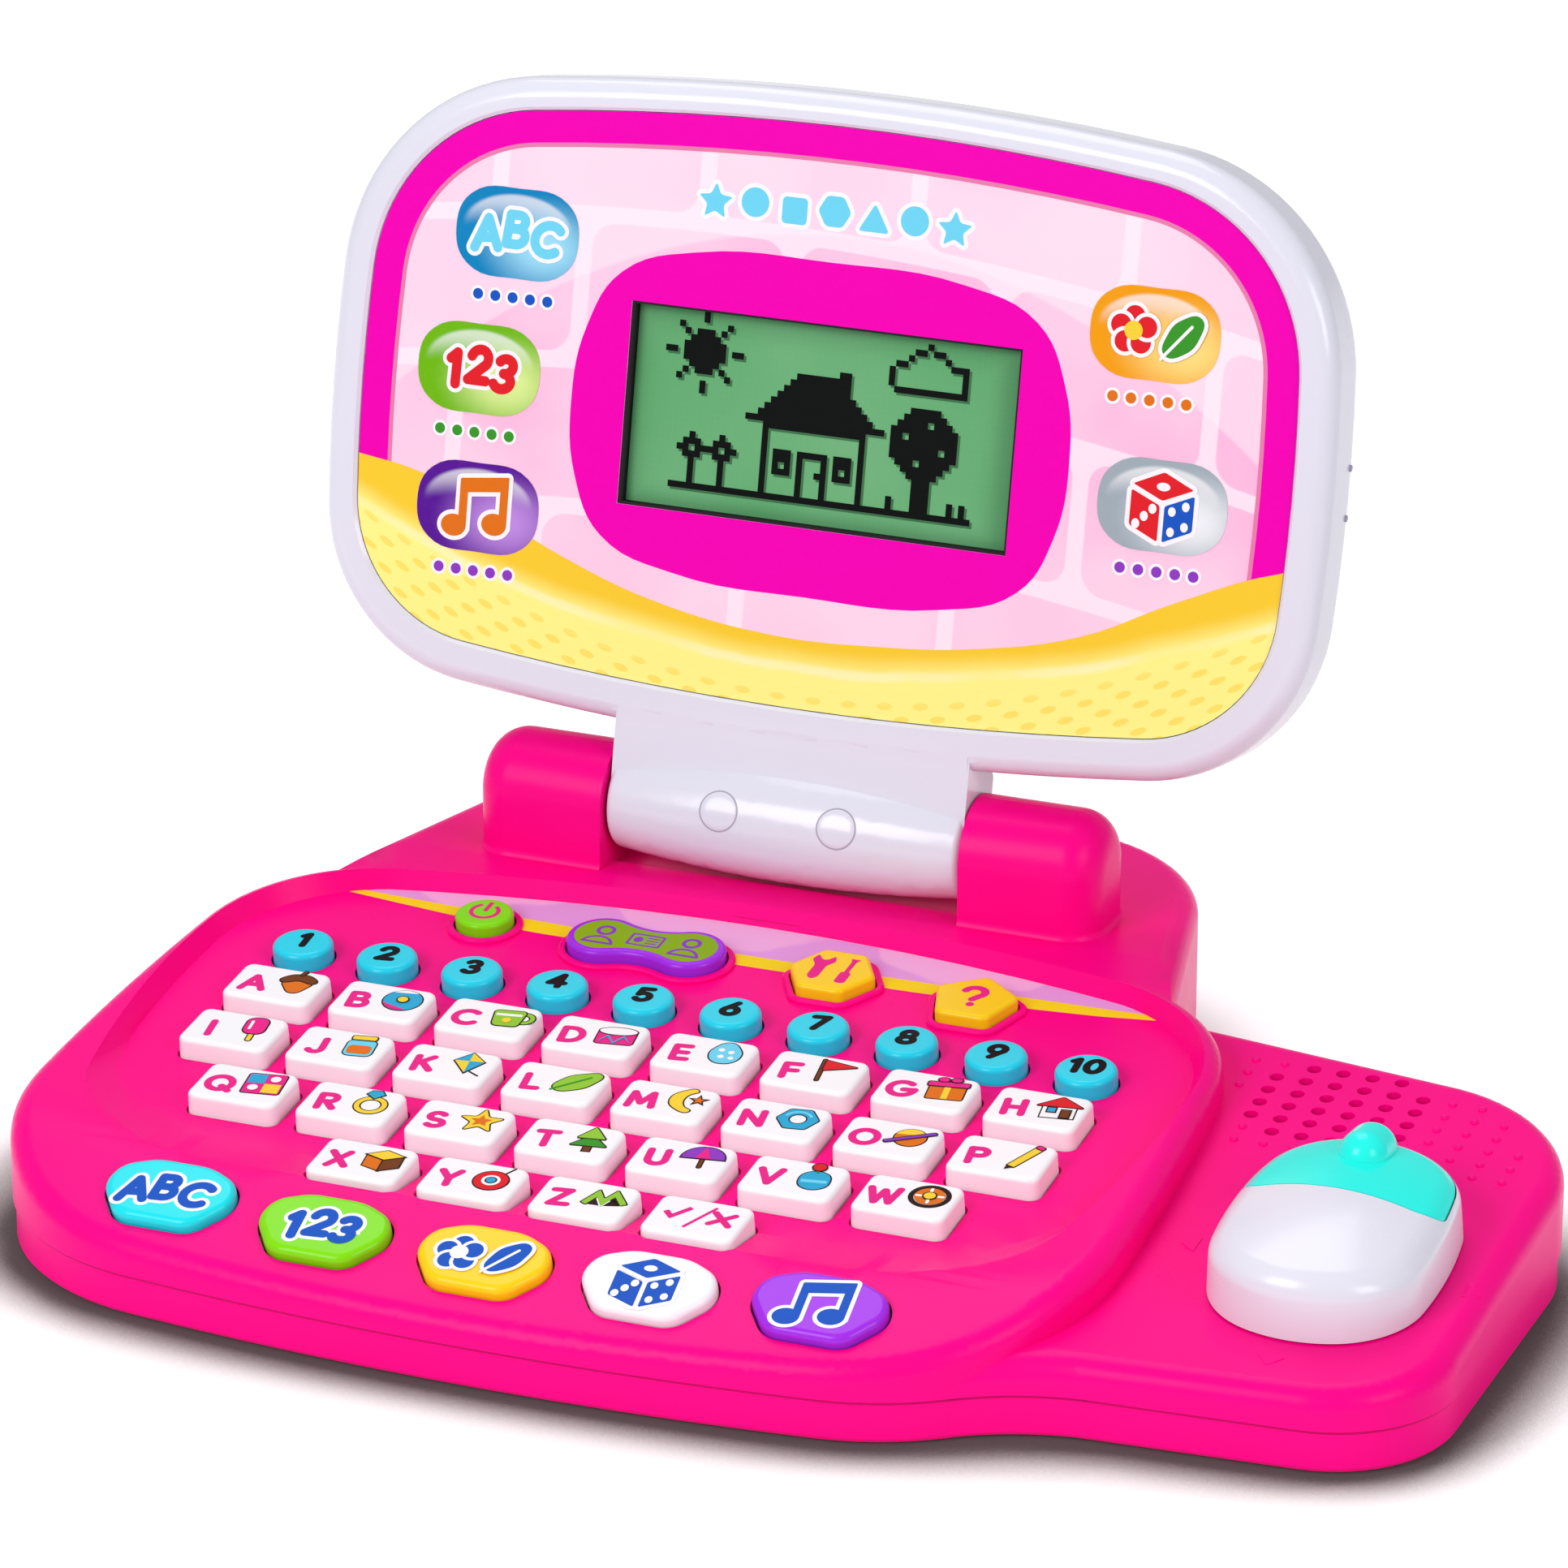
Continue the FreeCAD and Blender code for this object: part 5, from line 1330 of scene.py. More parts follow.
def motifs() -> dict[str, tuple[Shade, ...]]:
    """Plain little drawings for the letter keys, about 9 mm wide, by letter.

    Returns:
        The shades of each drawing.
    """
    box, disc, bar, arc, cut, poly, flow, star = (
        Loop.box, Loop.disc, Loop.bar, Loop.arc, Loop.slice, Loop.corners, Loop.flow, Loop.star)
    return {
        "a": shades((INK_ORANGE, flow([(-2.4, 0.6), (-1.9, -1.6), (0, -3.4), (1.9, -1.6), (2.4, 0.6),
                                       (0, 1.0)])),
                    (INK_BROWN, flow([(-3.1, 0.4), (-2.2, 2.2), (0, 2.9), (2.2, 2.2), (3.1, 0.4), (0, 0.9)])),
                    (INK_BROWN, bar((0.1, 2.9), (0.5, 3.9), 0.5))),
        "b": shades((INK_BLUE, disc(0, 0, 3.4)), (INK_WHITE, cut(0, 0, 3.4, 50, 130), False),
                    (INK_PINK, cut(0, 0, 3.4, 200, 290), False), (INK_YELLOW, disc(0, 0.2, 0.9))),
        "c": shades((INK_GREEN, arc(2.6, 0.1, 1.5, 0.8, -110, 110)),
                    (INK_GREEN, poly([(-3, 2.4), (2.7, 2.4), (2.1, -2.8), (-2.4, -2.8)], 0.9)),
                    (INK_WHITE, box(-0.2, 0.9, 4.6, 0.7), False), (INK_YELLOW, disc(-0.2, -1.0, 0.8), False)),
        "d": shades((INK_PINK, box(0, -0.7, 6.6, 4.4, 0.7)), (INK_WHITE, disc(0, 1.4, 3.3, 0.36)),
                    (INK_BLUE, poly([(-2.8, -2.4), (-1.4, 0), (0, -2.4), (1.4, 0), (2.8, -2.4), (1.4, -0.7),
                                     (0, -3), (-1.4, -0.7)]), False)),
        "e": shades((INK_SKY, flow([(0, 3.6), (2.2, 1.6), (2.7, -0.9), (1.6, -2.9), (0, -3.4), (-1.6, -2.9),
                                    (-2.7, -0.9), (-2.2, 1.6)])),
                    (INK_WHITE, disc(-0.9, 1.0, 0.55), disc(0.9, 0.4, 0.55), disc(-0.6, -1.2, 0.55),
                     disc(1.2, -1.5, 0.5), False)),
        "f": shades((INK_BROWN, bar((-2.6, -3.3), (-2.6, 3.5), 0.5)),
                    (INK_RED, poly([(-2.3, 3.4), (3.4, 1.7), (-2.3, 0.0)], 0.4))),
        "g": shades((INK_ORANGE, box(0, -0.9, 6.2, 4.6, 0.4)), (INK_YELLOW, box(0, -0.9, 1.1, 4.6), False),
                    (INK_PINK, box(0, 1.6, 7.0, 1.3, 0.3)), (INK_PINK, disc(-1.1, 3.0, 0.9, 0.7)),
                    (INK_PINK, disc(1.1, 3.0, 0.9, 0.7))),
        "h": shades((INK_WHITE, box(0, -1.4, 5.6, 3.8)),
                    (INK_RED, poly([(-3.9, 0.4), (3.9, 0.4), (0, 3.5)], 0.3)),
                    (INK_BLUE, box(-1.2, -0.9, 1.3, 1.3)), (INK_BROWN, box(1.3, -2.0, 1.4, 2.5))),
        "i": shades((INK_YELLOW, bar((0, -3.8), (0, -1.6), 0.8)), (INK_PINK, box(0, 0.9, 3.8, 5.4, 1.6)),
                    (INK_WHITE, bar((-0.9, -0.2), (-0.9, 2.3), 0.5), False)),
        "j": shades((INK_SKY, box(0, -0.6, 5.0, 5.2, 1.2)), (INK_ORANGE, box(0, -1.2, 4.2, 2.8, 0.9), False),
                    (INK_YELLOW, box(0, 2.7, 4.2, 1.2, 0.3))),
        "k": shades((INK_DARK, bar((0.9, -2.4), (2.6, -3.6), 0.35), False),
                    (INK_BLUE, poly([(0, 3.7), (2.6, 0.9), (0, -2.9), (-2.6, 0.9)])),
                    (INK_YELLOW, poly([(0, 3.7), (2.6, 0.9), (0, 0.9)]),
                     poly([(0, 0.9), (0, -2.9), (-2.6, 0.9)]), False)),
        "l": shades((INK_GREEN, flow([(-3.4, -2.6), (-2.4, 0.9), (0.5, 2.8), (3.6, 3.0), (2.9, 0.0),
                                      (0.6, -2.3)])),
                    (INK_LEAF, bar((-3.8, -3.0), (2.0, 1.8), 0.45), False)),
        "m": shades((INK_YELLOW, flow([(1.2, 3.5), (-1.6, 2.7), (-2.9, 0.0), (-1.6, -2.7), (1.2, -3.5),
                                       (-0.1, -1.9), (-0.6, 0.0), (-0.1, 1.9)])),
                    (INK_ORANGE, star(2.0, 0.3, 1.2, 0.5, 5))),
        "n": shades((INK_BLUE, star(0, 0, 3.6, 0, 6, 0, 0.4), disc(0, 0, 1.6)),
                    (INK_SKY, arc(0, 0, 2.3, 0.5, 20, 160), False)),
        "o": shades((INK_ORANGE, disc(0, 0, 2.7)), (INK_YELLOW, cut(0, 0, 2.7, 20, 160), False),
                    (INK_VIOLET, poly([(-4.2, -1.5), (-3.9, -2.1), (4.2, 1.5), (3.9, 2.1)], 0.3))),
        "p": shades((INK_YELLOW, poly([(-2.2, -3.1), (-1.0, -3.7), (2.6, 2.4), (1.4, 3.1)], 0.2)),
                    (INK_PINK, poly([(1.4, 3.1), (2.6, 2.4), (3.0, 3.1), (1.8, 3.8)], 0.3)),
                    (INK_DARK, poly([(-2.2, -3.1), (-1.0, -3.7), (-2.4, -4.5)]), False)),
        "q": shades((INK_PINK, box(0, 0, 6.6, 6.4, 0.5)), (INK_BLUE, box(-1.6, 1.55, 3.0, 2.9), False),
                    (INK_YELLOW, box(1.6, -1.55, 3.0, 2.9), False),
                    (INK_WHITE, disc(1.6, 1.55, 0.9), disc(-1.6, -1.55, 0.9), False)),
        "r": shades((INK_YELLOW, disc(0, -1.0, 2.8), disc(0, -1.0, 1.9)),
                    (INK_BLUE, poly([(-1.5, 2.6), (-0.8, 3.7), (0.8, 3.7), (1.5, 2.6), (0, 1.2)]))),
        "s": shades((INK_YELLOW, star(0, -0.1, 3.9, 1.7, 5, 90, 0.5)),
                    (INK_ORANGE, star(0, -0.1, 1.9, 0.9, 5, 90), False)),
        "t": shades((INK_BROWN, box(0, -3.0, 1.2, 1.8)),
                    (INK_LEAF, poly([(-3.1, -2.2), (3.1, -2.2), (0, 1.4)], 0.3)),
                    (INK_GREEN, poly([(-2.4, 0.2), (2.4, 0.2), (0, 3.8)], 0.3))),
        "u": shades((INK_BROWN, bar((0, -2.9), (0, 2.2), 0.5)), (INK_VIOLET, cut(0, -0.2, 3.7, 0, 180)),
                    (INK_PINK, poly([(-1.3, -0.2), (1.3, -0.2), (0, 3.5)]), False)),
        "v": shades((INK_BLUE, flow([(-1.5, 1.4), (-2.6, -0.9), (-1.6, -3.4), (1.6, -3.4), (2.6, -0.9),
                                     (1.5, 1.4)])),
                    (INK_SKY, box(0, -1.4, 4.4, 0.9), False), (INK_LEAF, bar((0, 1.4), (0, 2.6), 0.4), False),
                    (INK_RED, disc(0, 3.1, 1.1))),
        "w": shades((INK_DARK, disc(0, 0, 3.6), disc(0, 0, 2.7), False), (INK_ORANGE, disc(0, 0, 2.6), False),
                    (INK_WHITE, bar((-2.2, 0), (2.2, 0), 0.55), False),
                    (INK_WHITE, bar((0, -2.2), (0, 2.2), 0.55), False),
                    (INK_YELLOW, disc(0, 0, 1.0))),
        "x": shades((INK_ORANGE, poly([(-3.1, 1.3), (0, -0.1), (0, -3.6), (-3.1, -2.2)])),
                    (INK_BROWN, poly([(3.1, 1.3), (0, -0.1), (0, -3.6), (3.1, -2.2)])),
                    (INK_YELLOW, poly([(-3.1, 1.3), (0, -0.1), (3.1, 1.3), (0, 2.8)]))),
        "y": shades((INK_DARK, bar((0.6, 0.6), (2.7, 3.7), 0.35), False), (INK_RED, disc(-0.4, -0.7, 2.9)),
                    (INK_WHITE, disc(-0.4, -0.7, 1.6), False), (INK_BLUE, disc(-0.4, -0.7, 0.8))),
        "z": shades((INK_GREEN, poly([(-3.8, -1.8), (-1.6, 2.4), (-0.2, -0.4), (1.4, 2.6), (3.8, -1.4),
                                      (2.9, -2.0), (1.4, 0.6), (-0.3, -2.6), (-1.6, 0.2),
                                      (-2.9, -2.4)], 0.2))),
    }


class Mode(Enum):
    """The five modes of play."""

    LETTERS = "letters"
    NUMBERS = "numbers"
    NATURE = "nature"
    GAMES = "games"
    MUSIC = "music"


@dataclass(frozen=True)
class Sign:
    """Plain sign of a mode, with a halo round it."""

    mode: Mode
    main: Finish
    halo: Finish
    fill: Finish
    accent: Finish

    # Scale of each drawing, and characters with their distance and height
    SCALES = {Mode.NATURE: 1.1, Mode.GAMES: 1.32, Mode.MUSIC: 1.15}
    LINES = {Mode.LETTERS: ("ABC", 6.8, 8.3), Mode.NUMBERS: ("123", 5.9, 8.8)}
    RISES, TILTS, WEIGHT, LEAN = (-0.5, 0.8, -0.5), (5.0, 0.0, -5.0), 0.25, 0.12
    NOTE_HALO, DRAWING_HALO, CHARACTER_HALO = 0.8, 0.75, 0.85

    def put(self, target: Print, level: int, at: Point, size: float = 1.0, turn: float = 0.0) -> None:
        """Draw the sign.

        Args:
            target: Print that takes it.
            level: Its lowest layer.
            at: Where its middle goes.
            size: Scale; at 1 it is about 20 mm wide.
            turn: Turn in degrees.
        """
        size *= self.SCALES.get(self.mode, 1.0)
        if self.mode in self.LINES:
            self.characters(target, level, at, size, turn)
        elif self.mode is Mode.MUSIC:
            for step, (ink, grow) in enumerate(((self.halo, self.NOTE_HALO), (self.main, 0.0))):
                for index, loop in enumerate(self.notes()):
                    layer = level + 2 * step + Print.STROKE_STEP * index
                    target.flat([loop], ink, layer, at, turn, size, grow)
        else:
            drawing = self.flower() if self.mode is Mode.NATURE else self.die()
            target.draw(drawing, level, at, turn, size, self.halo, self.DRAWING_HALO)

    def characters(self, target: Print, level: int, at: Point, size: float, turn: float) -> None:
        """Three characters, the middle one a little higher.

        Args:
            target: Print that takes them.
            level: Their lowest layer.
            at: Where their middle goes.
            size: Scale of the sign.
            turn: Turn in degrees.
        """
        words, apart, tall = self.LINES[self.mode]
        spin = Matrix.Rotation(math.radians(turn), 2)
        layers = ((self.halo, self.CHARACTER_HALO), (self.main, 0.0))
        for index, (word, rise, tilt) in enumerate(zip(words, self.RISES, self.TILTS)):
            spot = Vector(at) + spin @ Vector(((index - 1) * apart, rise)) * size
            for step, (ink, grow) in enumerate(layers):
                target.text(word, ink, level + 2 * step + 0.5 * (index % 2), tall * size, tuple(spot),
                            turn + tilt, self.WEIGHT, self.LEAN, grow * size)

    def flower(self) -> tuple[Shade, ...]:
        """Flower with five petals, and a leaf beside it.

        Returns:
            The shades of the drawing.
        """
        x, y, reach, petal, middle = -4.2, 0.3, 2.7, 2.0, 1.8
        petals = []
        for index in range(5):
            angle = math.radians(90 + 72 * index)
            spot = (x + reach * math.cos(angle), y + reach * math.sin(angle))
            petals.append((self.main, Loop.disc(*spot, petal)))
        leaf = Loop.flow([(2.2, -3.6), (2.6, 0.4), (5.0, 3.2), (9.0, 3.9), (8.8, 0.2), (6.2, -3.0)])
        vein = Loop.bar((1.6, -4.4), (7.2, 2.2), 0.6)
        return shades(*petals, (self.fill, Loop.disc(x, y, middle), False), (self.accent, leaf),
                      (self.halo, vein, False))

    def die(self) -> tuple[Shade, ...]:
        """Die seen from a corner, with pips.

        Returns:
            The shades of the drawing.
        """
        top = Loop.corners([(-5.0, 3.1), (0.0, 0.9), (5.0, 3.1), (0.0, 5.4)], 0.4)
        face = [(5.2, 2.2), (0.4, 0.1), (0.4, -5.6), (5.2, -3.4)]
        left, right = (Loop.corners([(side * x, y) for x, y in face], 0.4) for side in (-1, 1))
        pips = [Loop.disc(0.0, 3.1, 1.1, 0.6)]
        pips += [Loop.disc(-2.8 + s * 1.3, -1.8 + s * 1.3, 0.65, 1.2) for s in (-1, 0, 1)]
        for a, b in ((-1, -1), (-1, 1), (1, -1), (1, 1)):
            pips.append(Loop.disc(2.8 + a * 1.1, -1.7 + b * 1.6 + a * 0.5, 0.62, 1.2))
        return shades((self.main, left), (self.accent, right), (self.main, top), (self.fill, *pips, False))

    @staticmethod
    def notes() -> tuple[Loop, ...]:
        """Two notes under one beam.

        Returns:
            The outlines of the drawing.
        """
        return (Loop.disc(-4.6, -3.8, 2.5, 0.82), Loop.disc(3.5, -2.8, 2.5, 0.82),
                Loop.corners([(-3.7, -3.8), (-2.1, -3.8), (-2.1, 3.6), (-3.7, 3.6)]),
                Loop.corners([(4.4, -2.8), (6.0, -2.8), (6.0, 4.6), (4.4, 4.6)]),
                Loop.corners([(-3.7, 2.4), (6.0, 3.6), (6.0, 6.3), (-3.7, 5.1)], 0.3))


def joined(*runs: list[Knot]) -> Loop:
    """Outline from arcs that follow each other, with their shared ends merged.

    Args:
        runs: Knots of each arc, in order.

    Returns:
        The closed outline.
    """
    knots = list(runs[0])
    for run in runs[1:]:
        knots[-1] = (*knots[-1][:2], run[0][2])
        knots.extend(run[1:])
    last = knots.pop()
    knots[0] = (last[0], *knots[0][1:])
    return Loop(tuple(knots))


# Where each function button is on the deck
FUNCTION_SPOTS: dict[str, Point] = {
    "power_button": (-56.4, 43.5), "player_button": (-18.8, 42.1), "tools_button": (22.9, 42.6),
    "help_button": (54.8, 40.6)}


@dataclass
class Keyboard:
    """Letter keys, number keys, function buttons and mode buttons, each with its print."""

    key_pitch: float = 24.0
    row_pitch: float = 20.35
    key_top: float = 4.4
    print_turn: float = 8.0
    letter_height: float = 6.9
    letter_weight: float = 0.235
    letter_at: Point = (-4.6, -1.0)
    drawing_at: Point = (4.2, 1.25)
    drawing_size: float = 1.2
    drawing_line: float = 0.26
    number_pitch: float = 19.37
    number_row: float = 19.3
    number_top: float = 3.8
    number_height: float = 6.4
    number_at: Point = (-0.1, 0.8)
    number_weight: float = 0.25
    number_lean: float = 0.08
    function_top: float = 3.6
    figure_line: float = 0.7
    tool_size: float = 1.25
    mode_pitch: float = 34.6
    mode_row: float = -82.6
    mode_curve: float = 0.7
    mode_top: float = 2.6
    sign_at: Point = (-0.2, -0.4)
    sign_size: float = 0.94
    sign_turn: float = 5.0
    apron_lean: float = 18.5
    apron_edge: Point = (-92.5, 16.0)
    rows: tuple[tuple[str, ...], ...] = (
        tuple("abcdefgh"), tuple("ijklmnop"), tuple("qrstuvw"), ("x", "y", "z", "symbol"))

    # Lobes of the player button: their distance from its middle, their radius, and half the waist
    LOBE_REACH, LOBE, WAIST = 9.7, 7.8, 5.6

    def build(self) -> None:
        """Build every key."""
        self.letters()
        self.numbers()
        self.power()
        self.player()
        self.tools()
        self.help()
        self.modes()

    def letters(self) -> None:
        """White keys, each with a pink letter and a small drawing."""
        drawings = motifs()
        for row, names in enumerate(self.rows):
            for column, name in enumerate(names):
                node = "key_" + name
                soft_copy(node, KEY_WHITE, node)
                x = (column - (len(names) - 1) / 2) * self.key_pitch
                ink = Print(node + "_print", node, DECK.matrix(x, -row * self.row_pitch, self.key_top))
                if name == "symbol":
                    self.symbol(ink)
                else:
                    ink.text(name.upper(), INK_PINK, 0, self.letter_height, self.letter_at, self.print_turn,
                             self.letter_weight)
                    ink.draw(drawings[name], 0, self.drawing_at, self.print_turn, self.drawing_size,
                             INK_DARK, self.drawing_line)
                ink.finish()

    @staticmethod
    def symbol(ink: Print) -> None:
        """Tick and cross with a stroke between them, on the last key.

        Args:
            ink: Print that takes the drawing.
        """
        hook = [(-5.6, 0.2), (-4.5, 1.1), (-3.4, -0.4), (-0.6, 3.2), (0.4, 2.4), (-3.4, -2.4)]
        tick = Loop.corners(hook, 0.3)
        ink.flat([tick], INK_PINK, 0, (-2.0, 0.4), 4.0, 0.95)
        ink.flat([Loop.bar((-1.6, -4.0), (2.0, 4.2), 0.7)], INK_PINK, 1, (0.4, 0.0))
        for level, turn in ((0, 45.0), (2, -45.0)):
            ink.flat([Loop.bar((-2.9, 0.0), (2.9, 0.0), 1.4)], INK_PINK, level, (5.0, 0.6), turn)

    def numbers(self) -> None:
        """Round blue keys with black numerals."""
        for index in range(10):
            node = "number_key_%d" % (index + 1)
            soft_copy(node, KEY_BLUE, node)
            place = DECK.matrix((index - 4.5) * self.number_pitch, self.number_row, self.number_top)
            ink = Print(node + "_print", node, place)
            ink.text(str(index + 1), INK_BLACK, 0, self.number_height, self.number_at, self.print_turn,
                     self.number_weight, self.number_lean)
            ink.finish()

    def function(self, name: str, finish: Finish) -> Print:
        """Copy one function button and start the print on its top."""
        soft_copy(name, finish, name)
        return Print(name + "_print", name, DECK.matrix(*FUNCTION_SPOTS[name], self.function_top))

    def power(self) -> None:
        """Green button with a power sign."""
        ink = self.function("power_button", BUTTON_GREEN)
        at, line = (0.0, 0.3), 0.95
        ink.flat([Loop.arc(0.0, 0.0, 2.9, line, 122.0, 418.0)], INK_PINK, 0, at)
        ink.flat([Loop.bar((0.0, 0.4), (0.0, 3.6), line)], INK_PINK, 1, at)
        ink.finish()

    @staticmethod
    def peanut(grow: float) -> Loop:
        """Outline of the player button, moved out by grow.

        Args:
            grow: Distance to move it out.

        Returns:
            The closed outline.
        """
        reach, radius, waist = Keyboard.LOBE_REACH, Keyboard.LOBE + grow, Keyboard.WAIST + grow
        hollow = (reach ** 2 + waist ** 2 - radius ** 2) / (2.0 * (radius - waist))
        hub = waist + hollow
        lean = math.degrees(math.atan2(hub, reach))
        return joined(around(reach, 0.0, radius, lean - 180.0, 180.0 - lean),
                      around(0.0, hub, hollow, -lean, lean - 180.0),
                      around(-reach, 0.0, radius, lean, 360.0 - lean),
                      around(0.0, -hub, hollow, 180.0 - lean, lean))

    def player(self) -> None:
        """Purple button with a green plate, two plain figures and a card."""
        ink = self.function("player_button", BUTTON_PURPLE)
        ink.flat([self.peanut(-1.7)], INK_LIME, 0)
        for x in (-self.LOBE_REACH, self.LOBE_REACH):
            ink.flat([Loop.disc(x, 1.7, 2.1), Loop.disc(x, 1.7, 1.25)], INK_VIOLET, 1)
            ink.flat([Loop.arc(x, -4.4, 3.3, self.figure_line, 12.0, 168.0)], INK_VIOLET, 1)
            ink.flat([Loop.bar((x - 3.2, -3.7), (x + 3.2, -3.7), self.figure_line)], INK_VIOLET, 2)
        ink.flat([Loop.box(0.0, 0.0, 7.6, 5.0, 0.5), Loop.box(0.0, 0.0, 6.5, 3.9, 0.3)], INK_VIOLET, 1)
        for row in (-1.1, 0.0, 1.1):
            ink.flat([Loop.bar((0.3, row), (2.6, row), 0.42)], INK_VIOLET, 1)
        ink.flat([Loop.disc(-1.7, 0.0, 1.0, 1.2)], INK_VIOLET, 1)
        ink.finish()

    def tools(self) -> None:
        """Orange six-sided button with a spanner and a screwdriver."""
        ink = self.function("tools_button", BUTTON_ORANGE)
        spanner = Loop.corners([(-3.9, 4.3), (-2.9, 2.7), (-1.9, 2.7), (-0.9, 4.3), (-0.3, 2.4), (-1.4, 0.8),
                                (-1.4, -3.2), (-2.4, -4.2), (-3.4, -3.2), (-3.4, 0.8), (-4.5, 2.4)], 0.6)
        handle = Loop.box(2.6, -2.2, 1.9, 3.8, 0.7)
        blade = Loop.corners([(2.2, -0.6), (3.0, -0.6), (3.0, 3.2), (3.4, 4.2), (1.8, 4.2), (2.2, 3.2)])
        for form, level in ((spanner, 0), (handle, 0), (blade, 1)):
            ink.flat([form], INK_PINK, level, size=self.tool_size)
        ink.finish()

    def help(self) -> None:
        """Orange five-sided button with a question mark."""
        ink = self.function("help_button", BUTTON_ORANGE)
        ink.text("?", INK_PINK, 0, 8.8, (0.0, 0.2), self.print_turn, 0.2)
        ink.finish()

    def modes(self) -> None:
        """Five coloured buttons on the apron, with blue signs."""
        finishes = (BUTTON_CYAN, BUTTON_GREEN, BUTTON_ORANGE, BUTTON_WHITE, BUTTON_PURPLE)
        edge, foot = self.apron_edge
        for step, (mode, finish) in enumerate(zip(Mode, finishes)):
            node = "mode_button_" + mode.value
            soft_copy(node, finish, node)
            along = step - 2
            y = self.mode_row + self.mode_curve * along * along
            z = foot + (y - edge) * math.tan(math.radians(self.apron_lean))
            apron = Seat((self.mode_pitch * along, y, z), self.apron_lean)
            ink = Print(node + "_print", node, apron.matrix(0.0, 0.0, self.mode_top))
            sign = Sign(mode, INK_NAVY, INK_WHITE, INK_WHITE, INK_NAVY)
            sign.put(ink, 0, self.sign_at, self.sign_size, self.sign_turn)
            ink.finish()


@dataclass
class PixelPicture:
    """Little picture on the display, drawn in square cells."""

    columns: int = 62
    rows: int = 31
    lit: set[tuple[int, int]] = field(default_factory=set)

    def box(self, left: int, low: int, right: int, high: int, on: bool = True) -> None:
        """Set or clear a block of cells, ends included."""
        block = {(x, y) for x in range(left, right + 1) for y in range(low, high + 1)}
        self.lit = self.lit | block if on else self.lit - block

    def disc(self, x: float, y: float, radius: float, on: bool = True) -> None:
        """Set or clear a round spot of cells.

        Args:
            x: Column of its middle.
            y: Row of its middle.
            radius: Radius in cells.
            on: True to set the cells, False to clear them.
        """
        spot = {(a, b) for a in range(self.columns) for b in range(self.rows)
                if (a - x) ** 2 + (b - y) ** 2 <= radius ** 2}
        self.lit = self.lit | spot if on else self.lit - spot

    def line(self, start: tuple[int, int], end: tuple[int, int]) -> None:
        """Set a straight run of cells.

        Args:
            start: Column and row of the first cell.
            end: Column and row of the last cell.
        """
        wide, high = end[0] - start[0], end[1] - start[1]
        steps = max(abs(wide), abs(high), 1)
        for index in range(steps + 1):
            share = index / steps
            self.lit.add((round(start[0] + wide * share), round(start[1] + high * share)))

    def rim(self) -> set[tuple[int, int]]:
        """Lit cells that have an unlit neighbour."""
        steps = ((1, 0), (-1, 0), (0, 1), (0, -1))
        return {(x, y) for x, y in self.lit if any((x + a, y + b) not in self.lit for a, b in steps)}

    def landscape(self) -> "PixelPicture":
        """House with a tree, flowers, sun and cloud.

        Returns:
            This picture.
        """
        self.box(6, 3, 55, 3)
        self.house()
        self.sky()
        self.box(46, 4, 48, 9)
        self.disc(47, 14, 5.6)
        for spot in ((44, 15), (48, 17), (50, 13), (46, 11)):
            self.disc(*spot, 0.8, False)
        for x in (9, 14):
            self.box(x, 4, x, 7)
            self.disc(x, 9, 2.2)
            self.disc(x, 9, 0.8, False)
        for x in (42, 52, 54):
            self.line((x, 4), (x, 5))
        return self

    def house(self) -> None:
        """Walls, roof, chimney, door and two windows."""
        self.box(21, 4, 37, 14)
        self.box(22, 4, 36, 13, False)
        for step in range(8):
            inward = step + (step > 0)
            self.box(18 + inward, 15 + step, 40 - inward, 15 + step)
        self.box(33, 20, 34, 23)
        self.box(27, 4, 31, 10)
        self.box(28, 4, 30, 9, False)
        self.lit.add((30, 7))
        for left in (23, 33):
            self.box(left, 7, left + 2, 10)
            self.lit.discard((left + 1, 8))

    def sky(self) -> None:
        """Sun with its rays, and the outline of a cloud."""
        x, y = 10, 24
        self.disc(x, y, 3.4)
        for angle in range(0, 360, 45):
            across, up = math.cos(math.radians(angle)), math.sin(math.radians(angle))
            near, far = ((round(x + reach * across), round(y + reach * up)) for reach in (4.8, 6.0))
            self.line(near, far)
        cloud = PixelPicture()
        for spot, size in (((43, 24), 2.6), ((47, 25.6), 3.4), ((51.4, 24), 2.6)):
            cloud.disc(*spot, size)
        cloud.box(42, 22, 52, 23)
        self.lit |= cloud.rim()

    def mesh(self, thick: float) -> Mesh:
        """Thin plate of the lit cells, in millimetres about its middle.

        Args:
            thick: Thickness of the plate.

        Returns:
            The mesh.
        """
        shape = bmesh.new()
        bmesh.ops.create_grid(shape, x_segments=self.columns, y_segments=self.rows, size=1.0)
        wide, high = self.columns * PIXEL, self.rows * PIXEL
        bmesh.ops.scale(shape, vec=(wide / 2, high / 2, 1.0), verts=shape.verts)
        empty = []
        for face in shape.faces:
            middle = face.calc_center_median()
            spot = (int((middle.x + wide / 2) / PIXEL), int((middle.y + high / 2) / PIXEL))
            if spot not in self.lit:
                empty.append(face)
        bmesh.ops.delete(shape, geom=empty, context="FACES")
        return plate(shape, thick)


def thicken(shape: Shape, sheet: Sequence[bmesh.types.BMFace], depth: float) -> None:
    """Close a sheet with a second sheet at another height.

    Args:
        shape: Bmesh that holds the sheet.
        sheet: Its faces.
        depth: Height of the second sheet over the first; it may be below 0.
    """
    grown = bmesh.ops.extrude_face_region(shape, geom=sheet, use_keep_orig=True)
    moved = [item for item in grown["geom"] if isinstance(item, bmesh.types.BMVert)]
    bmesh.ops.translate(shape, vec=(0.0, 0.0, depth), verts=moved)


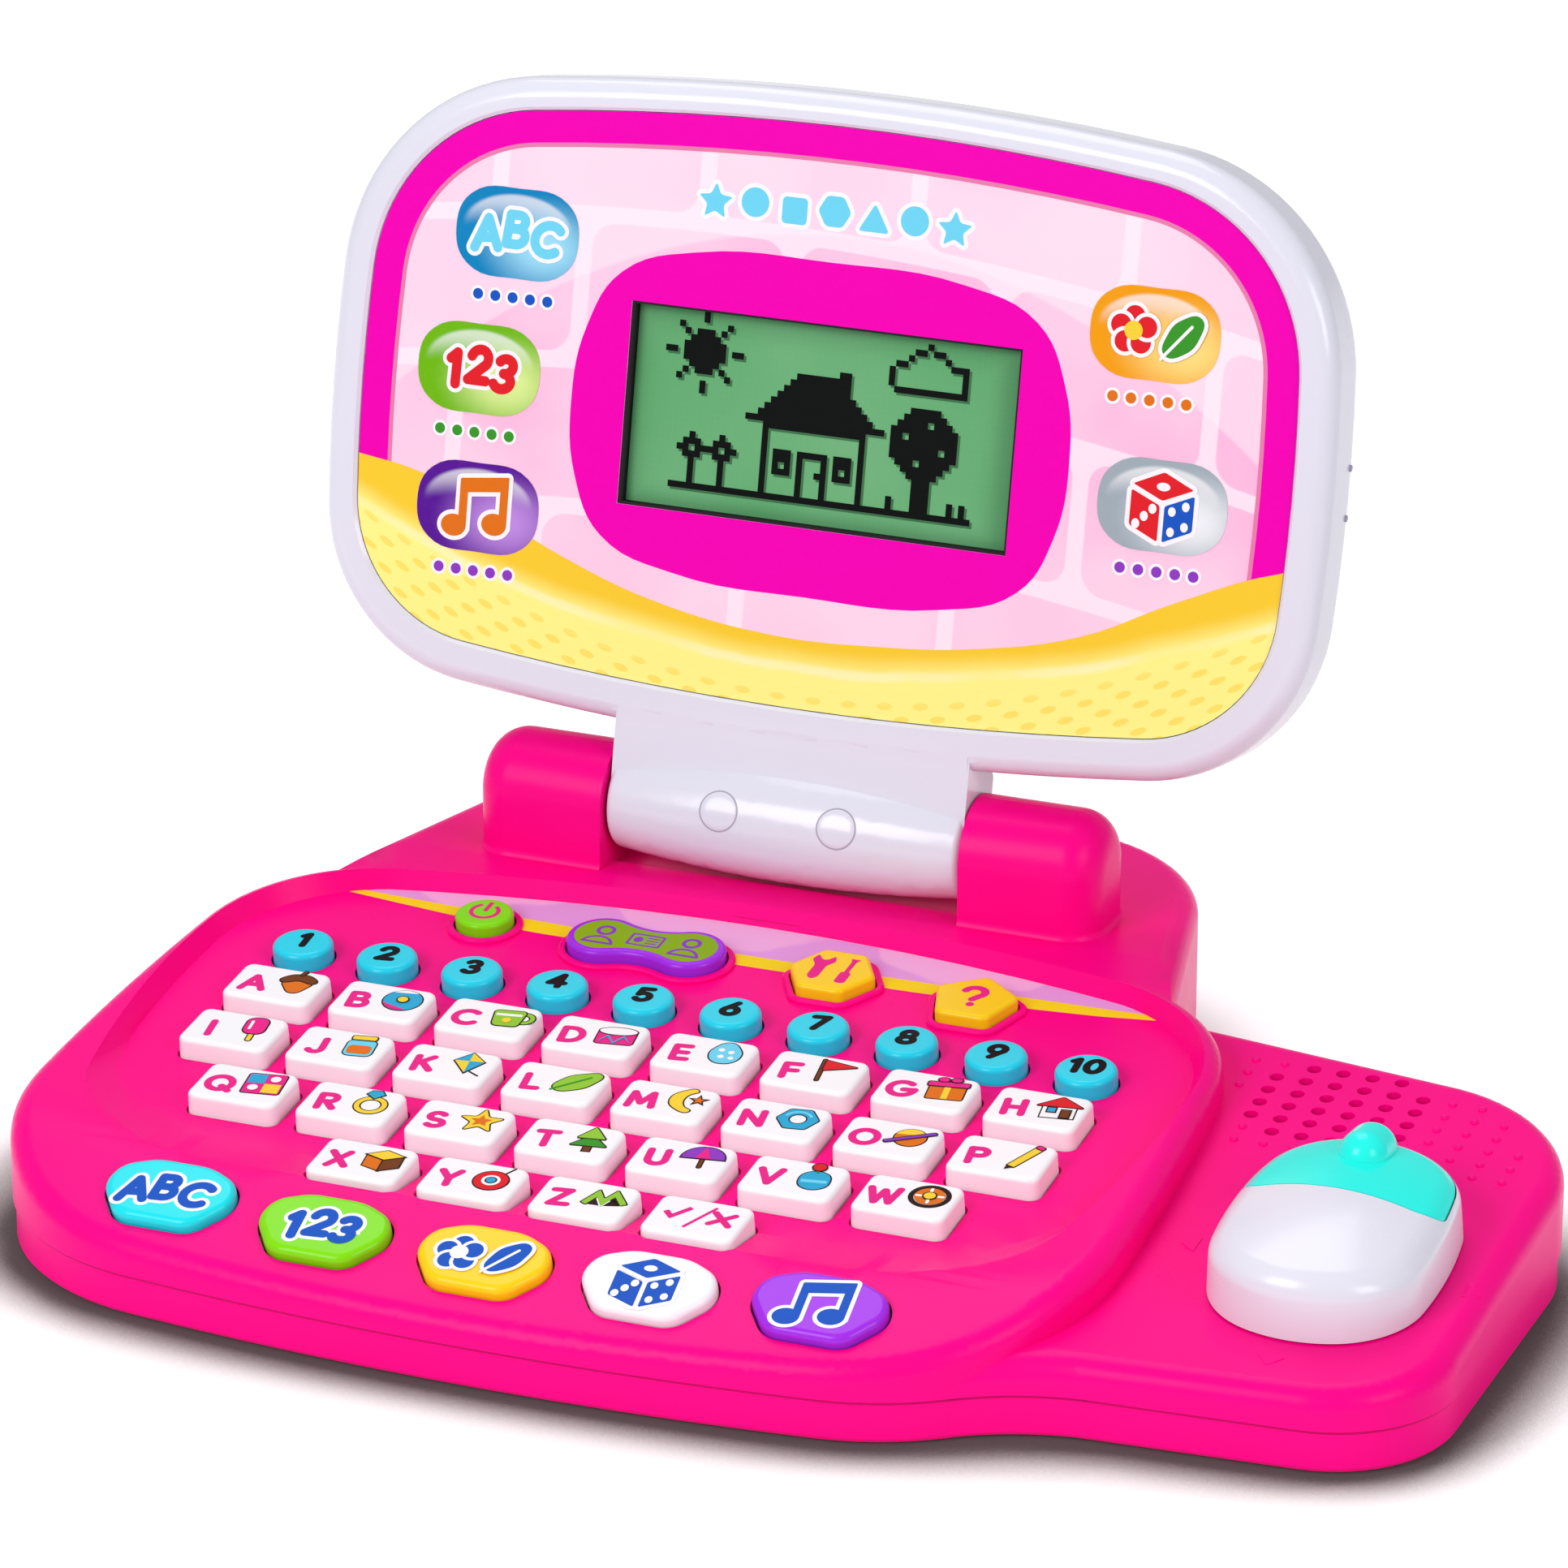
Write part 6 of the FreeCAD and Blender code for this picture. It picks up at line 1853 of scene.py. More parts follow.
def plate(shape: Shape, thick: float) -> Mesh:
    """Give a flat sheet a thickness.

    Args:
        shape: The sheet in millimetres, which is used up.
        thick: Its thickness.

    Returns:
        The closed plate, with its middle height at 0.
    """
    thicken(shape, shape.faces[:], thick)
    bmesh.ops.recalc_face_normals(shape, faces=shape.faces)
    heights = [vertex.co.z for vertex in shape.verts]
    bmesh.ops.translate(shape, vec=(0.0, 0.0, -(min(heights) + max(heights)) / 2), verts=shape.verts)
    mesh = bpy.data.meshes.new("plate")
    shape.to_mesh(mesh)
    shape.free()
    return mesh


@dataclass
class Lid:
    """Lid with its frame, shell, printed panel, display and hinge barrel."""

    face: float = 7.7
    frame_face: float = 8.7
    plate_face: float = 8.2
    display_face: float = 4.1
    flatness: float = 0.02
    window: Point = (87.5, 43.1)
    ring: float = 7.0
    ring_line: float = 0.9
    ring_overlap: float = 0.3
    badge_shoulder: Point = (0.79, 0.78)
    dot_pitch: float = 4.0
    dot_drop: float = 13.6
    dot_radius: float = 1.15
    dot_halo: float = 1.75
    title_pitch: float = 8.9
    title_row: float = 129.6
    title_halo: float = 0.9
    # Insets, shortfall and sink of the dark sheet of painted shade in the display window
    window_shade_insets: Point = (0.02, 1.0)
    window_shade_short: float = 0.3
    window_shade_sink: float = 0.1
    shade_shift: Point = (0.55, -0.5)
    barrel: float = 13.2
    barrel_end: float = 10.8
    barrel_half: float = 40.0
    plug: float = 4.1
    plug_across: float = 13.3
    plug_lean: float = 10.0
    plug_lift: float = 0.10
    plug_deep: float = 0.6
    groove: float = 0.32
    groove_lift: float = 0.02
    ramp: Point = (16.6, 22.4)
    ramp_half: float = 39.6
    ramp_deep: float = 0.5
    ramp_lift: float = 0.02
    mark_rows: Point = (89.2, 78.8)
    mark_at: Point = (112.0, -4.4)

    def build(self) -> None:
        """Build the lid's pieces."""
        for node, finish in (("lid_front_frame", LID_WHITE), ("lid_rear_shell", LID_WHITE),
                             ("screen_panel", PANEL_GROUND), ("lcd_display", DISPLAY)):
            soft_copy(node, finish, "lid")
        self.panel_print()
        self.shade_window()
        self.picture()
        self.plugs()
        self.blend()
        self.side_marks()

    def outline(self) -> Shape:
        """Front outline of the panel as one face, in the frame of the lid, at height 0.

        Returns:
            The shape with that face.
        """
        shape = bmesh.new()
        shape.from_mesh(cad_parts["screen_panel"].data)
        shape.transform(LID.matrix().inverted())
        bmesh.ops.remove_doubles(shape, verts=shape.verts, dist=NODE_MERGE / MM)
        away = [item for item in shape.faces if any(
            abs(v.co.z - self.face) > self.flatness for v in item.verts)]
        bmesh.ops.delete(shape, geom=away, context="FACES")
        half, reach = (side / 2 + 1.0 for side in self.window)
        rim = {line for line in shape.edges if line.is_boundary and any(
            abs(v.co.x) > half or abs(v.co.y - WINDOW_MIDDLE) > reach for v in line.verts)}
        bmesh.ops.delete(shape, geom=shape.faces[:], context="FACES_ONLY")
        bmesh.ops.delete(shape, geom=[line for line in shape.edges if line not in rim], context="EDGES")
        bmesh.ops.contextual_create(shape, geom=shape.edges[:])
        bmesh.ops.translate(shape, vec=(0.0, 0.0, -self.face), verts=shape.verts)
        return shape

    def border(self, inner: float, width: float) -> Mesh:
        """Band along the panel's edge.

        Args:
            inner: How far inside the edge the band begins.
            width: Its width.

        Returns:
            The thin plate.
        """
        shape = self.outline()
        if inner:
            edge = bmesh.ops.inset_region(shape, faces=shape.faces[:], thickness=inner, use_even_offset=True,
                                          use_boundary=True)
            bmesh.ops.delete(shape, geom=edge["faces"], context="FACES")
        band = set(bmesh.ops.inset_region(shape, faces=shape.faces[:], thickness=width, use_even_offset=True,
                                          use_boundary=True)["faces"])
        bmesh.ops.delete(shape, geom=[item for item in shape.faces if item not in band], context="FACES")
        return plate(shape, Print.THICK)

    def panel_print(self) -> None:
        """Print on the panel: border, display surround, yellow band, badges and a row of shapes."""
        ink = Print("screen_panel_print", "lid", LID.matrix(0.0, 0.0, self.face))
        ink.lay(self.border(0.0, self.ring), INK_MAGENTA, 0)
        ink.lay(self.border(self.ring - self.ring_overlap, self.ring_line), INK_ROSE, 1)
        right = [(30.0, 118.2), (46.5, 112.3), (53.6, 100.0), (55.9, 84.5), (53.8, 68.0), (47.0, 56.2),
                 (30.0, 50.3)]
        left = [(-x, y) for x, y in reversed(right)]
        surround = Loop.flow([(0.0, 119.5), *right, (0.0, 49.0), *left])
        ink.flat([surround, Loop.box(0.0, WINDOW_MIDDLE, *self.window)], INK_MAGENTA, 0)
        crest = [(-103.5, 66.7), (-89.0, 64.3), (-71.4, 57.3), (-53.8, 50.0), (-34.7, 44.1), (-6.6, 40.2),
                 (17.1, 40.8), (38.6, 43.2), (61.4, 48.8), (81.6, 58.6), (102.8, 67.3)]
        wave = Loop.flow(crest + [(130.0, 72.0), (140.0, 0.0), (-140.0, 0.0), (-130.0, 70.0)])
        whole = plate(self.outline(), Print.THICK)
        ink.lay(carved(whole, flat_mesh([wave], CUT_DEEP), "INTERSECT"), PANEL_BAND, 2)
        self.badges(ink)
        self.title(ink)
        ink.finish()

    def badges(self, ink: Print) -> None:
        """Five badges with the signs of the modes and rows of dots below them.

        Args:
            ink: Print that takes the badges.
        """
        wide, high = BADGE_HALF
        x, y = wide * self.badge_shoulder[0], high * self.badge_shoulder[1]
        form = Loop.flow([(wide, 0.0), (x, y), (0.0, high), (-x, y), (-wide, 0.0), (-x, -y), (0.0, -high),
                          (x, -y)])
        entries = (
            (Mode.LETTERS, (-71.0, 117.5), (14, 132, 190), (158, 222, 246), INK_SKY, INK_SKY, INK_NAVY),
            (Mode.NUMBERS, (-77.5, 88.0), (110, 184, 20), (218, 240, 150), INK_RED, INK_RED, INK_LEAF),
            (Mode.MUSIC, (-75.5, 58.5), (88, 24, 150), (190, 140, 226), INK_ORANGE, INK_ORANGE, INK_VIOLET),
            (Mode.NATURE, (72.0, 113.0), (240, 158, 20), (255, 222, 130), INK_RED, INK_LEAF, INK_ORANGE),
            (Mode.GAMES, (76.8, 78.0), (158, 172, 182), (236, 240, 244), INK_RED, INK_NAVY, INK_VIOLET),
        )
        for mode, at, deep, pale, main, accent, dots in entries:
            ground = Gloss("badge_" + mode.value, screen_colour(*deep), screen_colour(*pale), *at)
            ink.flat([form], ground, 3, at)
            fill = INK_YELLOW if mode is Mode.NATURE else INK_WHITE
            Sign(mode, main, INK_WHITE, fill, accent).put(ink, 4, at)
            for step in range(5):
                spot = (at[0] + (step - 2) * self.dot_pitch, at[1] - self.dot_drop)
                ink.flat([Loop.disc(0.0, 0.0, self.dot_halo)], INK_WHITE, 3, spot)
                ink.flat([Loop.disc(0.0, 0.0, self.dot_radius)], dots, 4, spot)

    def title(self, ink: Print) -> None:
        """Row of plain shapes above the display, pale blue with white round them.

        Args:
            ink: Print that takes the shapes.
        """
        star, disc = Loop.star(0.0, 0.0, 4.0, 1.9, 5, 90.0, 0.6), Loop.disc(0.0, 0.0, 3.1)
        square, triangle = Loop.box(0.0, 0.0, 5.6, 5.6, 1.0), Loop.star(0.0, -0.5, 4.0, 0.0, 3, 90.0, 0.9)
        hexagon = Loop.star(0.0, 0.0, 3.7, 0.0, 6, 0.0, 0.8)
        for step, form in enumerate((star, disc, square, hexagon, triangle, disc, star)):
            spot = ((step - 3) * self.title_pitch, self.title_row + (0.5 if step % 2 else -0.3))
            ink.flat([form], INK_WHITE, 0, spot, grow=self.title_halo)
            ink.flat([form], INK_SKY, 1, spot)

    def shade_window(self) -> None:
        """Dark lining of the display window, a sheet of painted shade on the window's walls."""
        wide, high = self.window
        loops = [Loop.box(0.0, 0.0, wide - inset, high - inset) for inset in self.window_shade_insets]
        mesh = flat_mesh(loops, self.face - self.display_face - self.window_shade_short)
        height = (self.face + self.display_face) / 2 - self.window_shade_sink
        mesh.transform(LID.matrix(0.0, WINDOW_MIDDLE, height))
        shape = bmesh.new()
        shape.from_mesh(mesh)
        bpy.data.meshes.remove(mesh)
        bmesh.ops.remove_doubles(shape, verts=shape.verts, dist=MERGE)
        bmesh.ops.recalc_face_normals(shape, faces=shape.faces)
        finished("window_shade_lining", shape, [WINDOW_SHADE], "lid", 0.0)

    def picture(self) -> None:
        """Picture on the display, with the shade that its cells cast on the glass."""
        ink = Print("display_picture", "lid", LID.matrix(0.0, WINDOW_MIDDLE, self.display_face))
        picture = PixelPicture().landscape()
        ink.lay(picture.mesh(Print.THICK), PIXEL_SHADE, 0, self.shade_shift)
        ink.lay(picture.mesh(Print.THICK), PIXEL_BLACK, 1)
        ink.finish()

    def plugs(self) -> None:
        """Two round plugs over the screws of the hinge barrel, each ringed by grey painted shade that stands
        for a fine groove.
        """
        for side, name in ((-1.0, "left"), (1.0, "right")):
            shape = bmesh.new()
            self.dome(shape, side, self.plug, self.plug_lift, 0)
            # The grey ring round the plug is painted shade of the groove
            self.dome(shape, side, self.plug + self.groove, self.groove_lift, 1)
            place = LID.matrix() @ Matrix.Rotation(math.radians(-self.plug_lean), 4, "X")
            bmesh.ops.transform(shape, matrix=place, verts=shape.verts)
            bmesh.ops.recalc_face_normals(shape, faces=shape.faces)
            finished("barrel_plug_" + name, shape, [LID_WHITE, RECESS_SHADE], "lid")

    def dome(self, shape: Shape, side: float, radius: float, lift: float, slot: int) -> None:
        """Add a round cap that follows the crowned barrel.

        Args:
            shape: Bmesh that takes it, in millimetres about the hinge.
            side: Minus 1 for the left plug, 1 for the right one.
            radius: Radius of the cap.
            lift: How far it stands out of the barrel.
            slot: Its material slot.
        """
        rings, inside_share, rim_share = (0.04, 0.25, 0.3, 0.3), 0.97, 0.3
        first = len(shape.faces)
        made = bmesh.ops.create_circle(shape, cap_ends=True, segments=48, radius=radius)
        faces = list({face for vertex in made["verts"] for face in vertex.link_faces})
        for share in rings:
            bmesh.ops.inset_region(shape, faces=faces, thickness=radius * share, use_even_offset=True,
                                   use_boundary=True)
        shape.faces.ensure_lookup_table()
        sheet = shape.faces[first:]
        for vertex in {vertex for face in sheet for vertex in face.verts}:
            along = side * self.plug_across + vertex.co.x
            drop = (self.barrel - self.barrel_end) * (along / self.barrel_half) ** 2
            height = math.sqrt((self.barrel - drop) ** 2 - vertex.co.y ** 2)
            inside = math.hypot(vertex.co.x, vertex.co.y) < radius * inside_share
            vertex.co = (along, vertex.co.y, height + (lift if inside else lift * rim_share))
        thicken(shape, sheet, -self.plug_deep)
        shape.faces.ensure_lookup_table()
        for face in shape.faces[first:]:
            face.material_index = slot

    def blend(self) -> None:
        """Soft ramp from the hinge plate up to the frame's face."""
        low, high = self.ramp
        shape = bmesh.new()
        bmesh.ops.create_grid(shape, x_segments=2, y_segments=14, size=0.5)
        for vertex in shape.verts:
            share = vertex.co.y + 0.5
            ease = share * share * (3.0 - 2.0 * share)
            rise = self.plate_face + (self.frame_face - self.plate_face) * ease
            across = vertex.co.x * 2.0 * self.ramp_half
            vertex.co = (across, low + (high - low) * share, rise + self.ramp_lift)
        thicken(shape, shape.faces[:], -self.ramp_deep)
        bmesh.ops.transform(shape, matrix=LID.matrix(), verts=shape.verts)
        bmesh.ops.recalc_face_normals(shape, faces=shape.faces)
        finished("hinge_plate_blend", shape, [LID_WHITE], "lid")

    def side_marks(self) -> None:
        """Two small recess marks on the right side of the lid, grey as painted shade in the recesses."""
        x, z = self.mark_at
        shape = bmesh.new()
        for y in self.mark_rows:
            spot = Matrix.Translation((x, y, z)) @ Matrix.Rotation(math.radians(90.0), 4, "Y")
            bmesh.ops.create_cone(shape, cap_ends=True, segments=20, radius1=0.9, radius2=0.7, depth=1.2,
                                  matrix=LID.matrix() @ spot)
        finished("lid_side_marks", shape, [RECESS_SHADE], "lid")


@dataclass
class Mouse:
    """Mouse shell, its turquoise button and the carriage under it."""

    half: float = 22.2
    drop: float = 2.6
    low: float = 6.4
    high: float = 13.0
    grain: float = 2.2
    rounds: int = 5

    def build(self) -> None:
        """Build the mouse's pieces."""
        self.crown(soft_copy("mouse_shell", MOUSE_WHITE, "mouse").data)
        self.crown(soft_copy("mouse_button", MOUSE_TURQUOISE, "mouse_button").data)
        soft_copy("mouse_carriage", INNER_GREY, "mouse_carriage")

    def crown(self, mesh: Mesh) -> None:
        """Round the top from side to side, the same way for the shell and the button in it.

        Args:
            mesh: Mesh of the shell or of the button, in metres.
        """
        shape = bmesh.new()
        shape.from_mesh(mesh)
        for _ in range(self.rounds):
            long = [line for line in shape.edges if line.calc_length() > self.grain * MM]
            bmesh.ops.subdivide_edges(shape, edges=long, cuts=1)
            bmesh.ops.triangulate(shape, faces=shape.faces)
        place = PLATFORM.matrix()
        back = place.inverted()
        for vertex in shape.verts:
            spot = back @ vertex.co
            rise = min(max((spot.z - self.low) / (self.high - self.low), 0.0), 1.0)
            spot.z -= self.drop * (spot.x / self.half) ** 2 * rise
            vertex.co = place @ spot
        shape.to_mesh(mesh)
        shape.free()


@dataclass
class Housing:
    """Pink covers with the printed strip, the platform's marks and the case screws."""

    strip_rear: float = 61.3
    strip_bow: float = 800.0
    strip_rounding: float = 3.0
    collar: float = 1.3
    round_button: float = 6.2
    sided_button: float = 9.6
    sided_rounding: float = 2.0
    rib_seat: Seat = Seat((0.0, 61.55, 36.15), 72.0)
    rib_size: Spot = (28.0, 2.4, 0.7)
    rib_sink: float = 0.55
    rib_rounding: float = 0.2
    corner_middle: Point = (127.03, -124.04)
    corner_radius: float = 50.0
    corner_deep: float = 9.0
    corner_sweep: Point = (94.25, 126.64)
    corner_steps: int = 18
    seam: float = 9.0
    platform_edge: Point = (-69.5, 17.0)
    grille_middle: Point = (135.5, 33.5)
    grille_pitch: Point = (6.2, 5.3)
    grille_reach: float = 8.6
    bump: float = 0.95
    bump_squat: float = 0.62
    bump_crease: float = 60.0
    bump_columns: tuple[int, int] = (-4, 9)
    bump_rows: tuple[int, int] = (-9, 6)
    bump_fronts: Point = (14.0, 4.0)
    mouse_clear: Point = (28.5, 36.5)
    probe: float = 2.6
    probe_from: float = 80.0
    flatness: float = 0.9995
    arrow_gain: float = 6.0
    screw_spots: tuple[Point, ...] = (
        (-107.5, -15.0), (107.5, -15.0), (-97.0, -60.0), (97.0, -60.0), (-92.0, 47.0), (92.0, 47.0),
        (174.0, -55.0), (172.0, 34.0))
    screw_height: float = 5.3

    def build(self) -> None:
        """Build the housing's pieces."""
        # The bottom cover's pink paints shade along its seam
        covers = (("base_top_cover", PINK), ("base_bottom_cover", SEAM_SHADED_PINK), ("battery_door", PINK))
        for node, finish in covers:
            soft_copy(node, finish, "base")
        self.strip()
        self.backing()
        self.corner()
        self.bumps()
        self.arrows()
        self.screws()

    def strip(self) -> None:
        """Printed strip behind the function buttons, with a yellow stripe along its front."""
        ink = Print("deck_strip", "base", DECK.matrix())
        front = [(-94.0, 49.6), (-78.0, 47.6), (-64.0, 46.0), (-47.0, 44.4), (-25.0, 44.2), (0.0, 44.3),
                 (33.0, 44.4), (64.0, 45.2), (80.0, 46.7), (94.0, 49.0)]
        rear = [(x, self.strip_rear - x * x / self.strip_bow) for x in range(90, -91, -15)]
        crest = [(92.0, 50.3), (64.0, 49.5), (33.0, 48.9), (0.0, 48.7), (-33.0, 48.9), (-64.0, 49.8),
                 (-92.0, 50.9)]
        for level, (finish, back) in enumerate(((STRIP, rear), (STRIP_YELLOW, crest))):
            sheet = flat_mesh([Loop.corners(front + back, self.strip_rounding)], Print.THICK)
            ink.lay(carved(sheet, flat_mesh(self.collars(), CUT_DEEP), "DIFFERENCE"), finish, level)
        ink.finish()

    def collars(self) -> list[Loop]:
        """Outlines inside the collars of the function buttons.

        Returns:
            The closed outlines.
        """
        grow, size, rounding = self.collar, self.sided_button, self.sided_rounding
        power, player, tools, question = FUNCTION_SPOTS.values()
        peanut = Keyboard.peanut(grow)
        lobes = Loop(tuple(tuple((x + player[0], y + player[1]) for x, y in knot) for knot in peanut.knots))
        return [Loop.disc(*power, self.round_button + grow), lobes,
                Loop.star(*tools, size + grow * 1.1, 0.0, 6, 0.0, rounding),
                Loop.star(*question, size + grow * 1.2, 0.0, 5, 90.0, rounding)]

    def backing(self) -> None:
        """Thin rib behind the middle of the tray's rear wall."""
        shape = bmesh.new()
        place = self.rib_seat.matrix(0.0, 0.0, -self.rib_sink) @ Matrix.Diagonal((*self.rib_size, 1.0))
        bmesh.ops.create_cube(shape, size=1.0, matrix=place)
        bmesh.ops.bevel(shape, geom=shape.edges, offset=self.rib_rounding * MM, offset_type="OFFSET",
                        affect="EDGES", segments=2, profile=0.5, material=-1)
        finished("tray_rib", shape, [PINK], "base")

    def corner(self) -> None:
        """Hollow round where the wall in front of the keys runs into the platform's front wall."""
        front, top = self.platform_edge
        near, far = self.corner_radius, self.corner_radius + self.corner_deep
        edge, step, foot, floor = 4.6, 0.6, 1.0, 0.05
        upper = bow(near + edge, top - edge, edge, edge, 180.0, 90.0)
        upper += [(far, top), (far, self.seam), (near, self.seam)]
        lower = [(near + step, self.seam), (far, self.seam), (far, floor), (near + step + foot, floor),
                 (near + step, foot)]
        start, end = (math.radians(angle) for angle in self.corner_sweep)
        middle, axis = Vector((0.0, 0.0, 0.0)), Vector((0.0, 0.0, 1.0))
        shape = bmesh.new()
        for profile in (upper, lower):
            rim = [shape.verts.new((across * MM, 0.0, up * MM)) for across, up in profile]
            lines = [shape.edges.new(pair) for pair in zip(rim, rim[1:] + rim[:1])]
            bmesh.ops.rotate(shape, verts=rim, cent=middle, matrix=Matrix.Rotation(start, 3, "Z"))
            bmesh.ops.spin(shape, geom=rim + lines, cent=middle, axis=axis, angle=end - start,
                           steps=self.corner_steps)
        bmesh.ops.holes_fill(shape, edges=[line for line in shape.edges if line.is_boundary])
        bmesh.ops.recalc_face_normals(shape, faces=shape.faces)
        bmesh.ops.translate(shape, verts=shape.verts, vec=Vector((*self.corner_middle, 0.0)) * MM)
        hair, above, sink = 0.01, 0.5, 0.02
        for face in shape.faces:
            # Faces below the seam take the pink with painted shade along the seam
            face.material_index = int(face.calc_center_median().z < (self.seam - hair) * MM)
        lean = math.tan(math.radians(PLATFORM.lean))
        for vertex in shape.verts:
            if vertex.co.z > (self.seam + above) * MM:
                vertex.co.z += (vertex.co.y - front * MM) * lean - sink * MM
        finished("platform_corner", shape, [PINK, SEAM_SHADED_PINK], "base")

    @staticmethod
    def cover() -> BVHTree:
        """Search tree of the top cover.

        Returns:
            The search tree.
        """
        shape = bmesh.new()
        shape.from_mesh(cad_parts["base_top_cover"].data)
        tree = BVHTree.FromBMesh(shape)
        shape.free()
        return tree

    def bumps(self) -> None:
        """Small raised dots that carry on the grille's pattern over the platform."""
        tree = self.cover()
        lean = math.radians(PLATFORM.lean)
        up = Vector((0.0, -math.sin(lean), math.cos(lean)))
        squat = Matrix.Rotation(lean, 4, "X") @ Matrix.Diagonal((1.0, 1.0, self.bump_squat, 1.0))
        shape = bmesh.new()
        for column, row in product(range(*self.bump_columns), range(*self.bump_rows)):
            across, along = column + 0.5, row + 0.5
            if across ** 2 + along ** 2 <= self.grille_reach + 0.5:
                continue
            x = self.grille_middle[0] + across * self.grille_pitch[0]
            y = self.grille_middle[1] + along * self.grille_pitch[1]
            spot = self.flat_spot(tree, x, y, up)
            if spot is not None:
                bmesh.ops.create_uvsphere(shape, u_segments=8, v_segments=6, radius=self.bump * MM,
                                          matrix=Matrix.Translation(spot) @ squat)
        finished("platform_bumps", shape, [PINK], "base", self.bump_crease)

    def flat_spot(self, tree: BVHTree, x: float, y: float, up: Vector) -> Vector | None:
        """Place of a raised dot on the platform.

        Args:
            tree: The cover.
            x: Millimetres to the right.
            y: Millimetres to the back.
            up: The platform's normal.

        Returns:
            The place in metres, or None where the platform isn't flat and free.
        """
        middle_x, middle_y, _ = PLATFORM.origin
        wide, deep = self.mouse_clear
        beside = abs(x - middle_x) < wide and abs(y - middle_y) < deep
        if beside or y < self.bump_fronts[x > middle_x]:
            return None
        found, step = None, self.probe
        for step_x, step_y in ((step, 0.0), (-step, 0.0), (0.0, step), (0.0, -step), (0.0, 0.0)):
            start = Vector((x + step_x, y + step_y, self.probe_from)) * MM
            found, normal, _, _ = tree.ray_cast(start, DOWN)
            if found is None or normal.dot(up) < self.flatness:
                return None
        return found

    def arrows(self) -> None:
        """Three faint raised arrows round the mouse, laid on the platform."""
        ink = Print("platform_arrows", "base", PLATFORM.matrix())
        head = Loop.corners([(2.2, 0.0), (-1.6, 2.9), (-1.6, -2.9)], 0.7)
        for at, turn in (((27.9, -1.0), 0.0), ((-29.5, -1.0), 180.0), ((-1.0, -37.0), 270.0)):
            ink.flat([head], PINK, 0, at, turn)
        tree = self.cover()
        back = PLATFORM.matrix().inverted()
        for vertex in ink.shape.verts:
            found = tree.ray_cast(Vector((vertex.co.x, vertex.co.y, self.probe_from * MM)), DOWN)[0]
            if found is not None:
                vertex.co.z = found.z + (back @ vertex.co).z * self.arrow_gain * MM
        ink.finish()

    def screws(self) -> None:
        """Cross-headed screws at the foot of the underside's holes."""
        shape = bmesh.new()
        head = self.screw_head()
        for x, y in self.screw_spots:
            first = len(shape.verts)
            shape.from_mesh(head)
            shape.verts.ensure_lookup_table()
            bmesh.ops.transform(shape, matrix=ROW.matrix(x, y, self.screw_height), verts=shape.verts[first:])
        bpy.data.meshes.remove(head)
        finished("case_screws", shape, [STEEL], "base")

    @staticmethod
    def screw_head() -> Mesh:
        """Head of a screw, in millimetres, with a cross cut into its lower side.

        Returns:
            The mesh.
        """
        arm, thin, rounding, deep, cut_height = 1.7, 0.45, 0.5, 1.2, -0.9
        shape = bmesh.new()
        bmesh.ops.create_cone(shape, cap_ends=True, segments=28, radius1=2.0, radius2=2.8, depth=1.6)
        foot = [line for line in shape.edges if all(vertex.co.z < 0.0 for vertex in line.verts)]
        bmesh.ops.bevel(shape, geom=foot, offset=rounding, offset_type="OFFSET", affect="EDGES", segments=3,
                        profile=0.5, material=-1)
        mesh = bpy.data.meshes.new("screw")
        shape.to_mesh(mesh)
        shape.free()
        quarter, cross = [(-thin, -arm), (thin, -arm), (thin, -thin)], []
        for _ in range(4):
            cross += quarter
            quarter = [(-y, x) for x, y in quarter]
        tool = flat_mesh([Loop.corners(cross)], deep)
        tool.transform(Matrix.Translation((0.0, 0.0, cut_height)))
        return carved(mesh, tool, "DIFFERENCE")


@dataclass
class Inside:
    """Pieces inside the base."""

    finishes: tuple[tuple[str, Finish], ...] = (
        ("batteries", CELLS), ("circuit_board", BOARD), ("keypad_membrane", RUBBER_GREY),
        ("speaker", SPEAKER_BLACK))

    def build(self) -> None:
        """Dress the inner pieces."""
        for node, finish in self.finishes:
            soft_copy(node, finish, "base")


@dataclass(frozen=True)
class Lamp:
    """Square soft lamp, with its place, aim and side in metres and its power in watts."""

    name: str
    place: Spot
    aim: Spot
    side: float
    power: float

    def build(self) -> None:
        """Set up the lamp."""
        light = bpy.data.lights.new(self.name, "AREA")
        light.shape = "SQUARE"
        light.size = self.side
        light.energy = self.power
        holder = bpy.data.objects.new(self.name, light)
        holder.location = self.place
        holder.rotation_euler = (Vector(self.aim) - Vector(self.place)).to_track_quat("-Z", "Y").to_euler()
        bpy.context.scene.collection.objects.link(holder)


